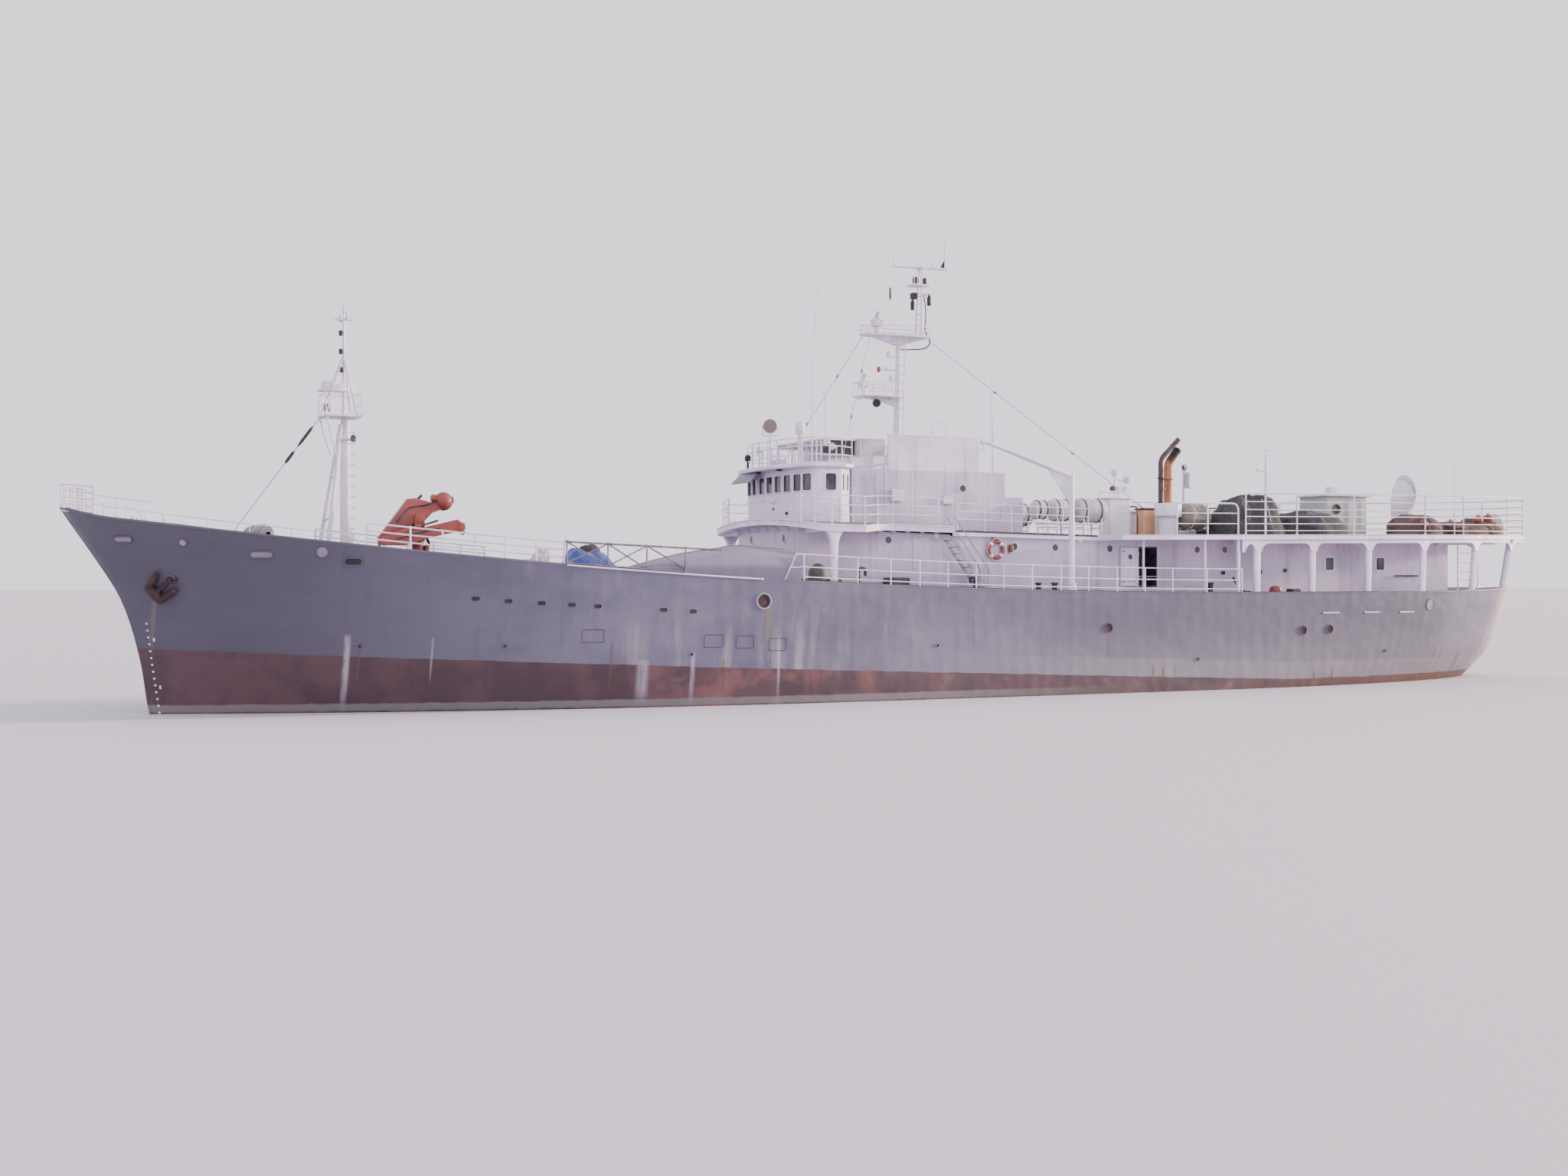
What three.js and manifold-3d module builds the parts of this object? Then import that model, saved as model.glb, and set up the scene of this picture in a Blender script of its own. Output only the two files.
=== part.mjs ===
// Fishing vessel afloat, as a 1:2 model. +X is the bow, +Y is port, +Z is up, and the origin is on the
// centreline, amidships, at the water's surface. Sizes below are metres on the full-size ship.
import * as THREE from 'three';
import { mergeVertices } from 'three/addons/utils/BufferGeometryUtils.js';
import Module from 'manifold-3d';

const wasm = await Module();
wasm.setup();

const MM_PER_METRE = 500; // model millimetres for a full-size metre
const GAP = 0.0006; // 0.3 mm on the model, between pieces that rest on each other
const WELD = 1e-5;
const FAR = 60; // longer than the ship, for cutting blocks

// Hull form
const BOW_X = 30.66;
const HULL_STATIONS = 30;
const END_CLUSTER = 0.86; // how strongly stations gather at the stem and stern, 0 to 1
const KEEL_MID_Z = -2.9;
const KEEL_SLOPE = 0.03; // the ship floats down by the stern
const BULWARK_THICK = 0.09;
const WELL_AFT_X = 8.2;
const FORECASTLE_X = 19.4;
const FORECASTLE_DEPTH = 0.8; // from the bulwark's top to the forecastle deck

// Columns: v (-1 keel, 0 water, 1 sheer), fore end, aft end, half breadth, then for the entry and for the
// run: where the parallel middle body ends, the power of the curve, and its root
const LEVELS = [
  { v: -1.0, fore: 24.2, aft: -24.9, half: 2.5, entry: [4, 1.6, 1.4], run: [-4, 1.6, 1.6] },
  { v: -0.9, fore: 25.3, aft: -24.9, half: 3.65, entry: [4, 1.7, 1.3], run: [-4, 1.7, 1.5] },
  { v: -0.72, fore: 26.2, aft: -24.9, half: 4.3, entry: [4, 1.8, 1.2], run: [-4, 1.8, 1.35] },
  { v: -0.5, fore: 27.0, aft: -24.95, half: 4.53, entry: [3.5, 2.0, 1.1], run: [-5, 2.0, 1.15] },
  { v: -0.25, fore: 27.55, aft: -26.7, half: 4.59, entry: [3, 2.1, 1.05], run: [-6, 2.2, 0.9] },
  { v: 0.0, fore: 28.03, aft: -27.7, half: 4.6, entry: [3, 2.2, 1.0], run: [-8, 2.4, 0.72] },
  { v: 0.3, fore: 28.33, aft: -28.93, half: 4.6, entry: [4, 2.4, 0.85], run: [-11, 2.4, 0.62] },
  { v: 0.6, fore: 28.88, aft: -29.32, half: 4.6, entry: [5, 2.6, 0.72], run: [-14, 2.3, 0.55] },
  { v: 0.82, fore: 29.74, aft: -29.49, half: 4.6, entry: [5.5, 2.8, 0.62], run: [-16, 2.2, 0.51] },
  { v: 1.0, fore: BOW_X, aft: -29.75, half: 4.6, entry: [6, 3.0, 0.55], run: [-17, 2.2, 0.5] },
];
const SHEER_LEVEL = LEVELS[LEVELS.length - 1];

// Decks and houses
const UPPER_DECK_THICK = 0.19;
const UPPER_DECK_LOW_X = -6;
const UPPER_DECK_LOW_Z = 5.9;
const UPPER_DECK_AFT_X = -30.8;
const HOUSE_HALF = 2.9;
const HOUSE_FRONT_X = 6.38;
const HOUSE_FRONT_BULGE = 0.2;
const HOUSE_AFT_X = -24;
const BRIDGE_AFT_X = 0.55;
const BRIDGE_HALF = 4.5; // half span over the two wings
const SIDE_DECK_X = -5.85; // where the upper deck spreads out to the ship's side again
const BRIDGE_CAMBER = 0.28;
const ROOM_WALL = 0.08;
const WHEEL_SIDE_X = 5.04;
const WHEEL_AFT_X = 4.35;
const WHEEL_CORNER_X = 6.08;
const WHEEL_BULGE = 0.23;
const WHEEL_CHAMFER_Y = 2.3;
const WHEEL_TOP_Z = 8.2;
const WINDOW_LOW_Z = 7.38;
const WINDOW_HIGH_Z = 7.99;
const FRONT_WINDOWS = 8;
const WINDOW_STEP = 0.705;
const WINDOW_WIDE = 0.5;
const BROW = 0.34; // how far the wheelhouse roof stands out over its front
const UPPER_HOUSE_HALF = 2.4;
const UPPER_HOUSE_AFT_X = -2.14;
const UPPER_HOUSE_TOP_Z = 8.21;

const colours = {
  hull: 0x6c6c78,
  white: 0xd9d6d2,
  steel: 0x8b8b90,
  rust: 0x4a3028,
  red: 0xb5443a,
  blue: 0x3556a8,
  net: 0x4c4f4a,
  tan: 0xc7b79c,
  yellow: 0xc9a13a,
  bronze: 0x9a7a45,
  orange: 0xc8502c,
};

// Geometry tools
function solidOf(geometry) {
  const bare = geometry.clone();
  bare.deleteAttribute('uv');
  bare.deleteAttribute('normal');
  const merged = mergeVertices(bare, WELD);
  return new wasm.Manifold(new wasm.Mesh({
    numProp: 3,
    vertProperties: new Float32Array(merged.attributes.position.array),
    triVerts: new Uint32Array(merged.index.array),
  }));
}

function join(...solids) {
  return solids.reduce((sum, next) => sum.add(next));
}

function cutFrom(solid, ...cutters) {
  return cutters.reduce((rest, cutter) => rest.subtract(cutter), solid);
}

function block(x0, x1, y0, y1, z0, z1) {
  const geometry = new THREE.BoxGeometry(x1 - x0, y1 - y0, z1 - z0);
  geometry.translate((x0 + x1) / 2, (y0 + y1) / 2, (z0 + z1) / 2);
  return solidOf(geometry);
}

// A round or square bar from one point to another, tapering where two radii are given
function bar(from, to, radius, sides = 6, endRadius = radius) {
  const start = new THREE.Vector3(...from);
  const along = new THREE.Vector3(...to).sub(start);
  const geometry = new THREE.CylinderGeometry(endRadius, radius, along.length(), sides);
  geometry.rotateY(Math.PI / sides);
  geometry.translate(0, along.length() / 2, 0);
  geometry.applyQuaternion(new THREE.Quaternion().setFromUnitVectors(
    new THREE.Vector3(0, 1, 0), along.clone().normalize()));
  geometry.translate(...from);
  return solidOf(geometry);
}

function ball(centre, radius, wide = 10, high = 6) {
  const geometry = new THREE.SphereGeometry(radius, wide, high);
  geometry.translate(...centre);
  return solidOf(geometry);
}

// A plan outline of [x, y] points raised from z0 to z1
function raised(points, z0, z1) {
  const shape = new THREE.Shape(points.map(([x, y]) => new THREE.Vector2(x, y)));
  const geometry = new THREE.ExtrudeGeometry(shape, { depth: z1 - z0, bevelEnabled: false });
  geometry.translate(0, 0, z0);
  return solidOf(geometry);
}

// A side outline of [x, z] points spread from y0 to y1
function spread(points, y0, y1) {
  const shape = new THREE.Shape(points.map(([x, z]) => new THREE.Vector2(x, z)));
  const geometry = new THREE.ExtrudeGeometry(shape, { depth: y1 - y0, bevelEnabled: false });
  geometry.rotateX(Math.PI / 2);
  geometry.translate(0, y1, 0);
  return solidOf(geometry);
}

// A closed skin over rings with equally many points; each cap is made of strips between the ring's halves
function skin(rings) {
  const count = rings[0].length;
  const points = rings.flat();
  const faces = [];
  for (let r = 0; r + 1 < rings.length; r += 1) {
    for (let i = 0; i < count; i += 1) {
      const j = (i + 1) % count;
      const [a, b, c, d] = [r * count + i, r * count + j, (r + 1) * count + j, (r + 1) * count + i];
      faces.push([a, b, c], [a, c, d]);
    }
  }
  for (const [base, flip] of [[0, true], [(rings.length - 1) * count, false]]) {
    const corner = (i) => base + ((i + count) % count);
    const put = (a, b, c) => faces.push(flip ? [c, b, a] : [a, b, c]);
    for (let i = 0; i < count / 2; i += 1) {
      put(corner(i), corner(i + 1), corner(-i - 1));
      put(corner(i), corner(-i - 1), corner(-i));
    }
  }
  const geometry = new THREE.BufferGeometry();
  geometry.setAttribute('position', new THREE.BufferAttribute(new Float32Array(points.flat()), 3));
  geometry.setIndex(faces.flat());
  const merged = mergeVertices(geometry, WELD);
  const kept = [];
  const index = merged.index.array;
  for (let i = 0; i < index.length; i += 3) {
    const [a, b, c] = [index[i], index[i + 1], index[i + 2]];
    if (a !== b && b !== c && c !== a) kept.push(a, b, c);
  }
  const position = merged.attributes.position;
  let volume = 0;
  const [p, q, s] = [new THREE.Vector3(), new THREE.Vector3(), new THREE.Vector3()];
  for (let i = 0; i < kept.length; i += 3) {
    p.fromBufferAttribute(position, kept[i]);
    q.fromBufferAttribute(position, kept[i + 1]);
    s.fromBufferAttribute(position, kept[i + 2]);
    volume += p.dot(q.cross(s));
  }
  if (volume < 0) kept.reverse();
  return new wasm.Manifold(new wasm.Mesh({
    numProp: 3,
    vertProperties: new Float32Array(position.array),
    triVerts: new Uint32Array(kept),
  }));
}

function moved(solid, x, y, z) {
  return solid.translate([x, y, z]);
}

// The piece rests on its supports with the touching gap
function seated(solid, ...supports) {
  return cutFrom(solid, ...supports.map((support) => moved(support, 0, 0, GAP)));
}

function mirrored(solid) {
  return solid.mirror([0, 1, 0]);
}

const model = new THREE.Group();

function add(name, solid, colour, roughness = 0.6, metalness = 0.1) {
  const mesh = solid.getMesh();
  const geometry = new THREE.BufferGeometry();
  geometry.setAttribute('position', new THREE.BufferAttribute(
    mesh.vertProperties.map((value) => value * MM_PER_METRE), 3));
  geometry.setIndex(new THREE.BufferAttribute(mesh.triVerts, 1));
  geometry.computeVertexNormals();
  const material = new THREE.MeshStandardMaterial({ color: colour, roughness, metalness });
  const piece = new THREE.Mesh(geometry, material);
  piece.name = name;
  model.add(piece);
  return solid;
}

// Hull form
function sheerZ(x) {
  const forward = Math.max(0, (x + 14.5) / 45.16);
  const aft = Math.max(0, (-14.5 - x) / 16.16);
  const kick = Math.max(0, (x - 29.2) / 1.46);
  return 3.7 + 2.55 * forward ** 2.35 + 0.2 * aft ** 2 + 0.2 * kick ** 2;
}

function levelZ(v, x) {
  return v < 0 ? -v * (KEEL_MID_Z + KEEL_SLOPE * x) : v * sheerZ(x);
}

function halfBreadth(level, x) {
  const [entryX, entryPower, entryRoot] = level.entry;
  const [runX, runPower, runRoot] = level.run;
  const ahead = Math.min(1, Math.max(0, (x - entryX) / (level.fore - entryX)));
  const astern = Math.min(1, Math.max(0, (runX - x) / (runX - level.aft)));
  return level.half * (1 - ahead ** entryPower) ** entryRoot * (1 - astern ** runPower) ** runRoot;
}

function deckHalf(x) {
  return halfBreadth(SHEER_LEVEL, x);
}

function hullRing(level, v, inset) {
  const fore = level.fore - 2.4 * inset;
  const aft = level.aft + inset;
  const port = [];
  for (let i = 0; i <= HULL_STATIONS; i += 1) {
    const even = i / HULL_STATIONS;
    const share = even - (END_CLUSTER * Math.sin(2 * Math.PI * even)) / (2 * Math.PI);
    const x = aft + (fore - aft) * share;
    const end = i === 0 || i === HULL_STATIONS;
    port.push([x, end ? 0 : Math.max(0.02, halfBreadth(level, x) - inset), levelZ(v, x)]);
  }
  const starboard = port.slice(1, -1).reverse().map(([x, y, z]) => [x, -y, z]);
  return [...port, ...starboard];
}

const fullHull = skin(LEVELS.map((level) => hullRing(level, level.v, 0)));
const innerHull = skin([
  ...LEVELS.slice(5).map((level) => hullRing(level, level.v, BULWARK_THICK)),
  hullRing(SHEER_LEVEL, 1.3, BULWARK_THICK),
]);
const wellDeckZ = (x) => 3.03 + 0.052 * (x - 11.4);
const forecastleZ = (x) => sheerZ(x) - FORECASTLE_DEPTH;

function aboveForeDeck(lift) {
  const stations = [FORECASTLE_X, 22, 24.5, 27, 29, 31];
  return spread([
    [WELL_AFT_X, wellDeckZ(WELL_AFT_X) + lift],
    [FORECASTLE_X - lift, wellDeckZ(FORECASTLE_X) + lift],
    ...stations.map((x) => [x - lift, forecastleZ(x) + lift]),
    [31, 9],
    [WELL_AFT_X, 9],
  ], -6, 6);
}

const skegSole = block(-26.75, -24.6, -0.14, 0.14, -3.72, -3.5);

// Bilge keels stand square to the turn of the bilge
const BILGE_ABOVE = LEVELS[2];
const BILGE_BELOW = LEVELS[1];
const bilgeKeel = skin([-10, -6, -2, 2, 6, 10].map((x) => {
  const y = (halfBreadth(BILGE_ABOVE, x) + halfBreadth(BILGE_BELOW, x)) / 2;
  const z = (levelZ(BILGE_ABOVE.v, x) + levelZ(BILGE_BELOW.v, x)) / 2;
  return [[-0.2, 0.03], [0.42, 0.03], [0.42, -0.03], [-0.2, -0.03]].map(
    ([out, across]) => [x, y + 0.625 * out + 0.78 * across, z - 0.78 * out + 0.625 * across]);
}));

// Stern gear seats on the hull: the shaft's boss and the rudder trunk
const SHAFT_Z = -2.6;
const SHAFT_END_X = -25.0;
const STOCK_X = -26.35;
const TRUNK_END_Z = -1.3;
const shaftBoss = bar([-24.2, 0, SHAFT_Z], [SHAFT_END_X, 0, SHAFT_Z], 0.2, 12);
const rudderTrunk = bar([STOCK_X, 0, TRUNK_END_Z], [STOCK_X, 0, -0.5], 0.15, 12);

// Hatch coaming on the well deck, welded to it
const HATCH = { x0: 11.6, x1: 14.2, half: 1.3, top: 3.85, wall: 0.08 };
const coaming = cutFrom(block(HATCH.x0, HATCH.x1, -HATCH.half, HATCH.half, 2.5, HATCH.top),
  block(HATCH.x0 + HATCH.wall, HATCH.x1 - HATCH.wall, -HATCH.half + HATCH.wall,
    HATCH.half - HATCH.wall, 2, 5));
const hull = add('hull', join(cutFrom(fullHull, aboveForeDeck(0)), skegSole, bilgeKeel, mirrored(bilgeKeel),
  shaftBoss, rudderTrunk, coaming), colours.hull, 0.65);
const bulwarks = cutFrom(fullHull.intersect(aboveForeDeck(GAP)), innerHull,
  block(-FAR, WELL_AFT_X + GAP, -FAR, FAR, -FAR, FAR));
// Bulwarks; on the port side plating rises from them beside the well deck and leans in at its top
const SCREEN_THICK = 0.06;
const SCREEN_STATIONS = [
  { x: 13.9, rise: 0.02 },
  { x: 12.67, rise: 0.36 },
  { x: 11.43, rise: 0.66 },
  { x: 9.91, rise: 0.93 },
  { x: 9.0, rise: 1.05 },
  { x: 7.46, rise: 1.02 },
];
function sideScreen() {
  const rings = SCREEN_STATIONS.map(({ x, rise }) => {
    const outer = [[0.062, 0.0], [0.07, 0.45], [0.19, 0.8], [0.5, 1.0], [1.35, 1.12]];
    const place = ([inboard, share], thick) => [
      x, deckHalf(x) - inboard * (share > 0.5 ? Math.min(1, rise + 0.25) : 1) - thick * 0.7,
      sheerZ(x) - 0.04 + share * rise - (share > 0.9 ? thick : 0)];
    return [...outer.map((spot) => place(spot, 0)), ...[...outer].reverse().map((spot) => place(spot,
      SCREEN_THICK))];
  });
  return skin(rings);
}
const plainBulwark = cutFrom(bulwarks, block(-FAR, FAR, -FAR, GAP, -FAR, FAR));
const bulwarkPort = add('bulwark_port', seated(join(plainBulwark, sideScreen()), hull), colours.hull);
const bulwarkStarboard = add('bulwark_starboard', mirrored(seated(plainBulwark, hull)), colours.hull);
const ground = join(hull, bulwarkPort, bulwarkStarboard);

// Rudder and propeller
const rudderBlade = raised([[-25.98, 0], [-26.15, 0.1], [-26.5, 0.11], [-27.35, 0.02], [-27.35, -0.02],
  [-26.5, -0.11], [-26.15, -0.1]], -3.5 + GAP, -1.5);
const rudderStock = bar([STOCK_X, 0, -1.6], [STOCK_X, 0, TRUNK_END_Z - GAP], 0.09, 12);
add('rudder', join(rudderBlade, rudderStock), colours.hull);

const BLADES = 4;
function propeller() {
  const hub = bar([-25.7, 0, SHAFT_Z], [SHAFT_END_X - GAP, 0, SHAFT_Z], 0.17, 12);
  const blade = new THREE.BoxGeometry(0.06, 0.46, 0.66);
  blade.rotateZ(0.55);
  blade.translate(-25.4, 0, 0.46);
  let wheel = hub;
  for (let i = 0; i < BLADES; i += 1) {
    const turned = blade.clone().rotateX((i * 2 * Math.PI) / BLADES);
    turned.translate(0, 0, SHAFT_Z);
    wheel = join(wheel, solidOf(turned));
  }
  return wheel;
}
add('propeller', propeller(), colours.bronze, 0.4, 0.7);

// Hatch lid, hinged along its aft edge
const LID_Z = HATCH.top + GAP;
add('hatch_lid', block(HATCH.x0 - 0.05, HATCH.x1 + 0.05, -HATCH.half - 0.05, HATCH.half + 0.05,
  LID_Z, LID_Z + 0.1), colours.white);

// Deckhouse on the main deck, under the upper deck
function bowed(cornerX, bulge, half, segments = 6) {
  const points = [];
  for (let i = 0; i <= segments; i += 1) {
    const y = -half + (2 * half * i) / segments;
    points.push([cornerX + bulge * (1 - (y / half) ** 2), y]);
  }
  return points;
}

function upperDeckZ(x) {
  const slope = x > UPPER_DECK_LOW_X ? 0.0185 * (x - UPPER_DECK_LOW_X) : 0.0118 * (UPPER_DECK_LOW_X - x);
  return UPPER_DECK_LOW_Z + slope;
}

// A deck plate over stations of [x, half breadth], with camber across it
function deckPlate(stations, thick, camber, lift = 0) {
  const shares = [1, 0.5, 0, -0.5, -1];
  return skin(stations.map(([x, half]) => {
    const spot = (share, drop) => [x, half * share, upperDeckZ(x) + camber * (1 - share ** 2) - drop + lift];
    return [...shares.map((share) => spot(share, 0)), ...[...shares].reverse().map((share) => spot(share,
      thick))];
  }));
}

const bridgeStations = [[BRIDGE_AFT_X, 3.25], [3.2, 3.3], [3.8, 3.55], [4.4, 4.0], [4.9, BRIDGE_HALF],
  [6.3, BRIDGE_HALF],
  [6.62, 4.4], [6.78, 3.8], [6.9, 2.8], [7.0, 1.5], [7.04, 0.7]];
const sternStations = [[BRIDGE_AFT_X - GAP, 3.05], [SIDE_DECK_X, 3.05]];
const aftStations = [[SIDE_DECK_X, 4.62], [UPPER_DECK_LOW_X, 4.62], [-17, 4.62]];
for (const share of [0.25, 0.5, 0.7, 0.85, 0.95, 1]) {
  const x = -17 + (UPPER_DECK_AFT_X + 17) * share;
  aftStations.push([x, Math.max(0.9, 4.7 * Math.sqrt(1 - share ** 2.2))]);
}

const bridgeDeck = deckPlate(bridgeStations, UPPER_DECK_THICK, BRIDGE_CAMBER);
const upperDeck = join(deckPlate(sternStations, UPPER_DECK_THICK, 0),
  deckPlate(aftStations, UPPER_DECK_THICK, 0));

// The decks with the room under them, for seating what stands on them
const SEAT_DEEP = 1.6;
const bridgeSeat = deckPlate(bridgeStations, SEAT_DEEP, BRIDGE_CAMBER);
const upperSeat = join(deckPlate([[BRIDGE_AFT_X + 0.01, 3.05], [SIDE_DECK_X, 3.05]], SEAT_DEEP, 0),
  deckPlate(aftStations, SEAT_DEEP, 0));

function bridgePillar(side) {
  const y = side * 4.3;
  return join(bar([6.07, y, 3.9], [6.07, y, 5.6], 0.11, 8),
    bar([6.07, y, 5.3], [6.07, y, 6.05], 0.11, 8, 0.3));
}
const deckPillars = [1, -1].map((side) => bridgePillar(side));
const bridgeDeckPiece = seated(join(bridgeDeck, ...deckPillars), hull);
add('bridge_deck', bridgeDeckPiece, colours.white);
add('upper_deck', upperDeck, colours.white);

const DOOR = { x0: -8.78, x1: -7.88, low: 3.93, high: 5.5, deep: 0.9, thick: 0.06 };
function doorRecess(side) {
  const [y0, y1] = side > 0 ? [HOUSE_HALF - DOOR.deep, 3.5] : [-3.5, -HOUSE_HALF + DOOR.deep];
  return block(DOOR.x0, DOOR.x1, y0, y1, DOOR.low, DOOR.high);
}
const deckhouseBlock = raised([...bowed(HOUSE_FRONT_X, HOUSE_FRONT_BULGE, HOUSE_HALF),
  [HOUSE_AFT_X, HOUSE_HALF],
  [HOUSE_AFT_X, -HOUSE_HALF]], 3, 7);
const underUpperDeck = spread([[-40, 9], [-40, upperDeckZ(-40) - UPPER_DECK_THICK - GAP],
  [UPPER_DECK_LOW_X, UPPER_DECK_LOW_Z - UPPER_DECK_THICK - GAP],
  [20, upperDeckZ(20) - UPPER_DECK_THICK - GAP], [20, 9]], -8, 8);
const bridgeShadow = moved(deckPlate(bridgeStations, UPPER_DECK_THICK + 1, BRIDGE_CAMBER), 0, 0, 1 - GAP);
const deckhouseRaw = join(cutFrom(deckhouseBlock, underUpperDeck),
  deckhouseBlock.intersect(block(BRIDGE_AFT_X + GAP, 9, -3, 3, 3.5, 7)));

// Hinged steel doors on pins at the fore side of their recesses. The port one stands open, folded back
// against the house side, and the starboard one is shut.
const LEAF_GAP = 0.03;
const KNUCKLE_R = 0.022;
const KNUCKLES_Z = [4.3, 5.2];
const HINGE_Y = HOUSE_HALF + LEAF_GAP;
function doorLeaf() {
  const wide = DOOR.x1 - DOOR.x0 - 2 * LEAF_GAP;
  const x0 = DOOR.x1 + LEAF_GAP;
  let leaf = block(x0, x0 + wide, HINGE_Y, HINGE_Y + DOOR.thick, DOOR.low + LEAF_GAP, DOOR.high - LEAF_GAP);
  for (const z of KNUCKLES_Z) {
    leaf = join(leaf, bar([DOOR.x1, HINGE_Y, z], [DOOR.x1, HINGE_Y, z + 0.08], KNUCKLE_R, 8),
      block(DOOR.x1, x0 + 0.02, HINGE_Y, HINGE_Y + 0.02, z, z + 0.08));
  }
  return leaf;
}
function shutLeaf() {
  return moved(moved(doorLeaf(), -DOOR.x1, -HINGE_Y, 0).rotate([0, 0, 180]), DOOR.x1, HINGE_Y, 0);
}
function hingeLugs() {
  return join(...KNUCKLES_Z.map((z) => join(
    bar([DOOR.x1, HINGE_Y, z - 0.08], [DOOR.x1, HINGE_Y, z - GAP], KNUCKLE_R, 8),
    block(DOOR.x1, DOOR.x1 + 0.02, HOUSE_HALF - 0.05, HINGE_Y - 0.01, z - 0.08, z - GAP))));
}
const deckhouse = add('deckhouse', join(cutFrom(seated(deckhouseRaw, hull), bridgeShadow, doorRecess(1),
  doorRecess(-1)), hingeLugs(), mirrored(hingeLugs())), colours.white);
add('deck_door_port', doorLeaf(), colours.white);
add('deck_door_starboard', mirrored(shutLeaf()), colours.white);

// Stern arcade: pillars and arched fascia that carry the upper deck's edge
const ARCH_PILLARS = [-12.4, -15.18, -18.1, -21.22, -24.69, -27.7];
const FASCIA_DEEP = 0.22;
function edgeHalf(x, inset) {
  const share = Math.min(1, Math.max(0, (-17 - x) / (-17 - UPPER_DECK_AFT_X)));
  return Math.max(0, 4.7 * Math.sqrt(1 - share ** 2.2) - 0.08 - inset);
}
function sternArcade() {
  const outline = (inset) => {
    const port = [[-6.4, edgeHalf(-6.4, inset)]];
    for (const share of [0, 0.3, 0.55, 0.75, 0.89, 0.975]) {
      const x = -17 + (UPPER_DECK_AFT_X + 0.25 + inset + 17) * share;
      port.push([x, edgeHalf(x, inset)]);
    }
    return port;
  };
  const closed = (port) => [...port, ...port.slice().reverse().map(([x, y]) => [x, -y])];
  const band = cutFrom(raised(closed(outline(0)), 5, 7), raised(closed(outline(0.22)), 4, 8),
    block(-6.5, -6.2, -4.2, 4.2, 4, 8));
  const under = cutFrom(band, underUpperDeck);
  const belowFascia = spread([[-40, 4], [-40, upperDeckZ(-40) - UPPER_DECK_THICK - FASCIA_DEEP],
    [UPPER_DECK_LOW_X, UPPER_DECK_LOW_Z - UPPER_DECK_THICK - FASCIA_DEEP],
    [20, upperDeckZ(20) - UPPER_DECK_THICK - FASCIA_DEEP], [20, 4]], -8, 8);
  let frame = cutFrom(under, belowFascia);
  const thin = [-7.0, -9.9, -11.5].map((at) => [at, 0.045, 4]);
  for (const [x, radius, sides] of [...thin, ...ARCH_PILLARS.map((at) => [at, 0.11, 6])]) {
    const foot = deckHalf(x) - 0.2;
    const head = radius < 0.1 ? foot + 0.02 : edgeHalf(x, 0.08);
    for (const side of [1, -1]) {
      const top = upperDeckZ(x) - UPPER_DECK_THICK - 0.06;
      frame = join(frame, bar([x, side * foot, sheerZ(x) - 0.05], [x, side * head, top], radius, sides));
    }
  }
  return seated(frame, hull);
}
add('stern_arcade', sternArcade(), colours.white);

// Wheelhouse: thin walls with their windows cut, a roof with a brow, and a console inside
function wheelPlan(inset) {
  const front = bowed(WHEEL_CORNER_X - inset, WHEEL_BULGE, HOUSE_HALF - inset, FRONT_WINDOWS);
  return [...front, [WHEEL_SIDE_X, HOUSE_HALF - inset],
    [WHEEL_AFT_X + inset, WHEEL_CHAMFER_Y - inset * 0.6],
    [WHEEL_AFT_X + inset, -WHEEL_CHAMFER_Y + inset * 0.6], [WHEEL_SIDE_X, -HOUSE_HALF + inset]];
}
function wheelhouseWalls() {
  let walls = cutFrom(raised(wheelPlan(0), 6, WHEEL_TOP_Z), raised(wheelPlan(ROOM_WALL), 5.8, 9));
  for (let i = 0; i < FRONT_WINDOWS; i += 1) {
    const y = WINDOW_STEP * (i - (FRONT_WINDOWS - 1) / 2);
    walls = cutFrom(walls, block(5.8, 7.2, y - WINDOW_WIDE / 2, y + WINDOW_WIDE / 2, WINDOW_LOW_Z,
      WINDOW_HIGH_Z));
  }
  for (const side of [1, -1]) {
    const [y0, y1] = side > 0 ? [2.6, 3.2] : [-3.2, -2.6];
    walls = cutFrom(walls, block(5.24, 5.68, y0, y1, WINDOW_LOW_Z, WINDOW_HIGH_Z));
    const slot = new THREE.BoxGeometry(0.22, 0.6, 0.6);
    slot.rotateZ(side * 0.72);
    slot.translate(4.7, side * 2.6, 7.68);
    walls = cutFrom(walls, solidOf(slot));
  }
  return seated(walls, bridgeSeat);
}
const wheelhouse = add('wheelhouse', wheelhouseWalls(), colours.white);
const roofFront = bowed(WHEEL_CORNER_X + BROW, WHEEL_BULGE + 0.1, HOUSE_HALF + 0.12, 8);
const roofPlate = raised([...roofFront, [WHEEL_SIDE_X - 0.15, HOUSE_HALF + 0.12],
  [WHEEL_AFT_X + GAP, WHEEL_CHAMFER_Y + 0.25], [WHEEL_AFT_X + GAP, -WHEEL_CHAMFER_Y - 0.25],
  [WHEEL_SIDE_X - 0.15, -HOUSE_HALF - 0.12]], WHEEL_TOP_Z + GAP, WHEEL_TOP_Z + 0.16);
// A sun visor slopes forward from the roof over the starboard windows
const visor = spread([[6.38, 8.28], [6.46, 8.28], [6.88, 7.83], [6.84, 7.79], [6.38, 8.22]], -2.5, -0.9);
const wheelRoof = add('wheelhouse_roof', roofPlate.add(visor), colours.white);
add('wheelhouse_console', seated(join(block(5.5, 5.9, -1.9, 1.9, 6, 7.2),
  block(5.05, 5.25, -0.15, 0.15, 6, 7.1)
  .add(block(5.05, 5.6, -0.15, 0.15, 6.6, 6.9))), bridgeSeat), colours.steel);

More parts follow.
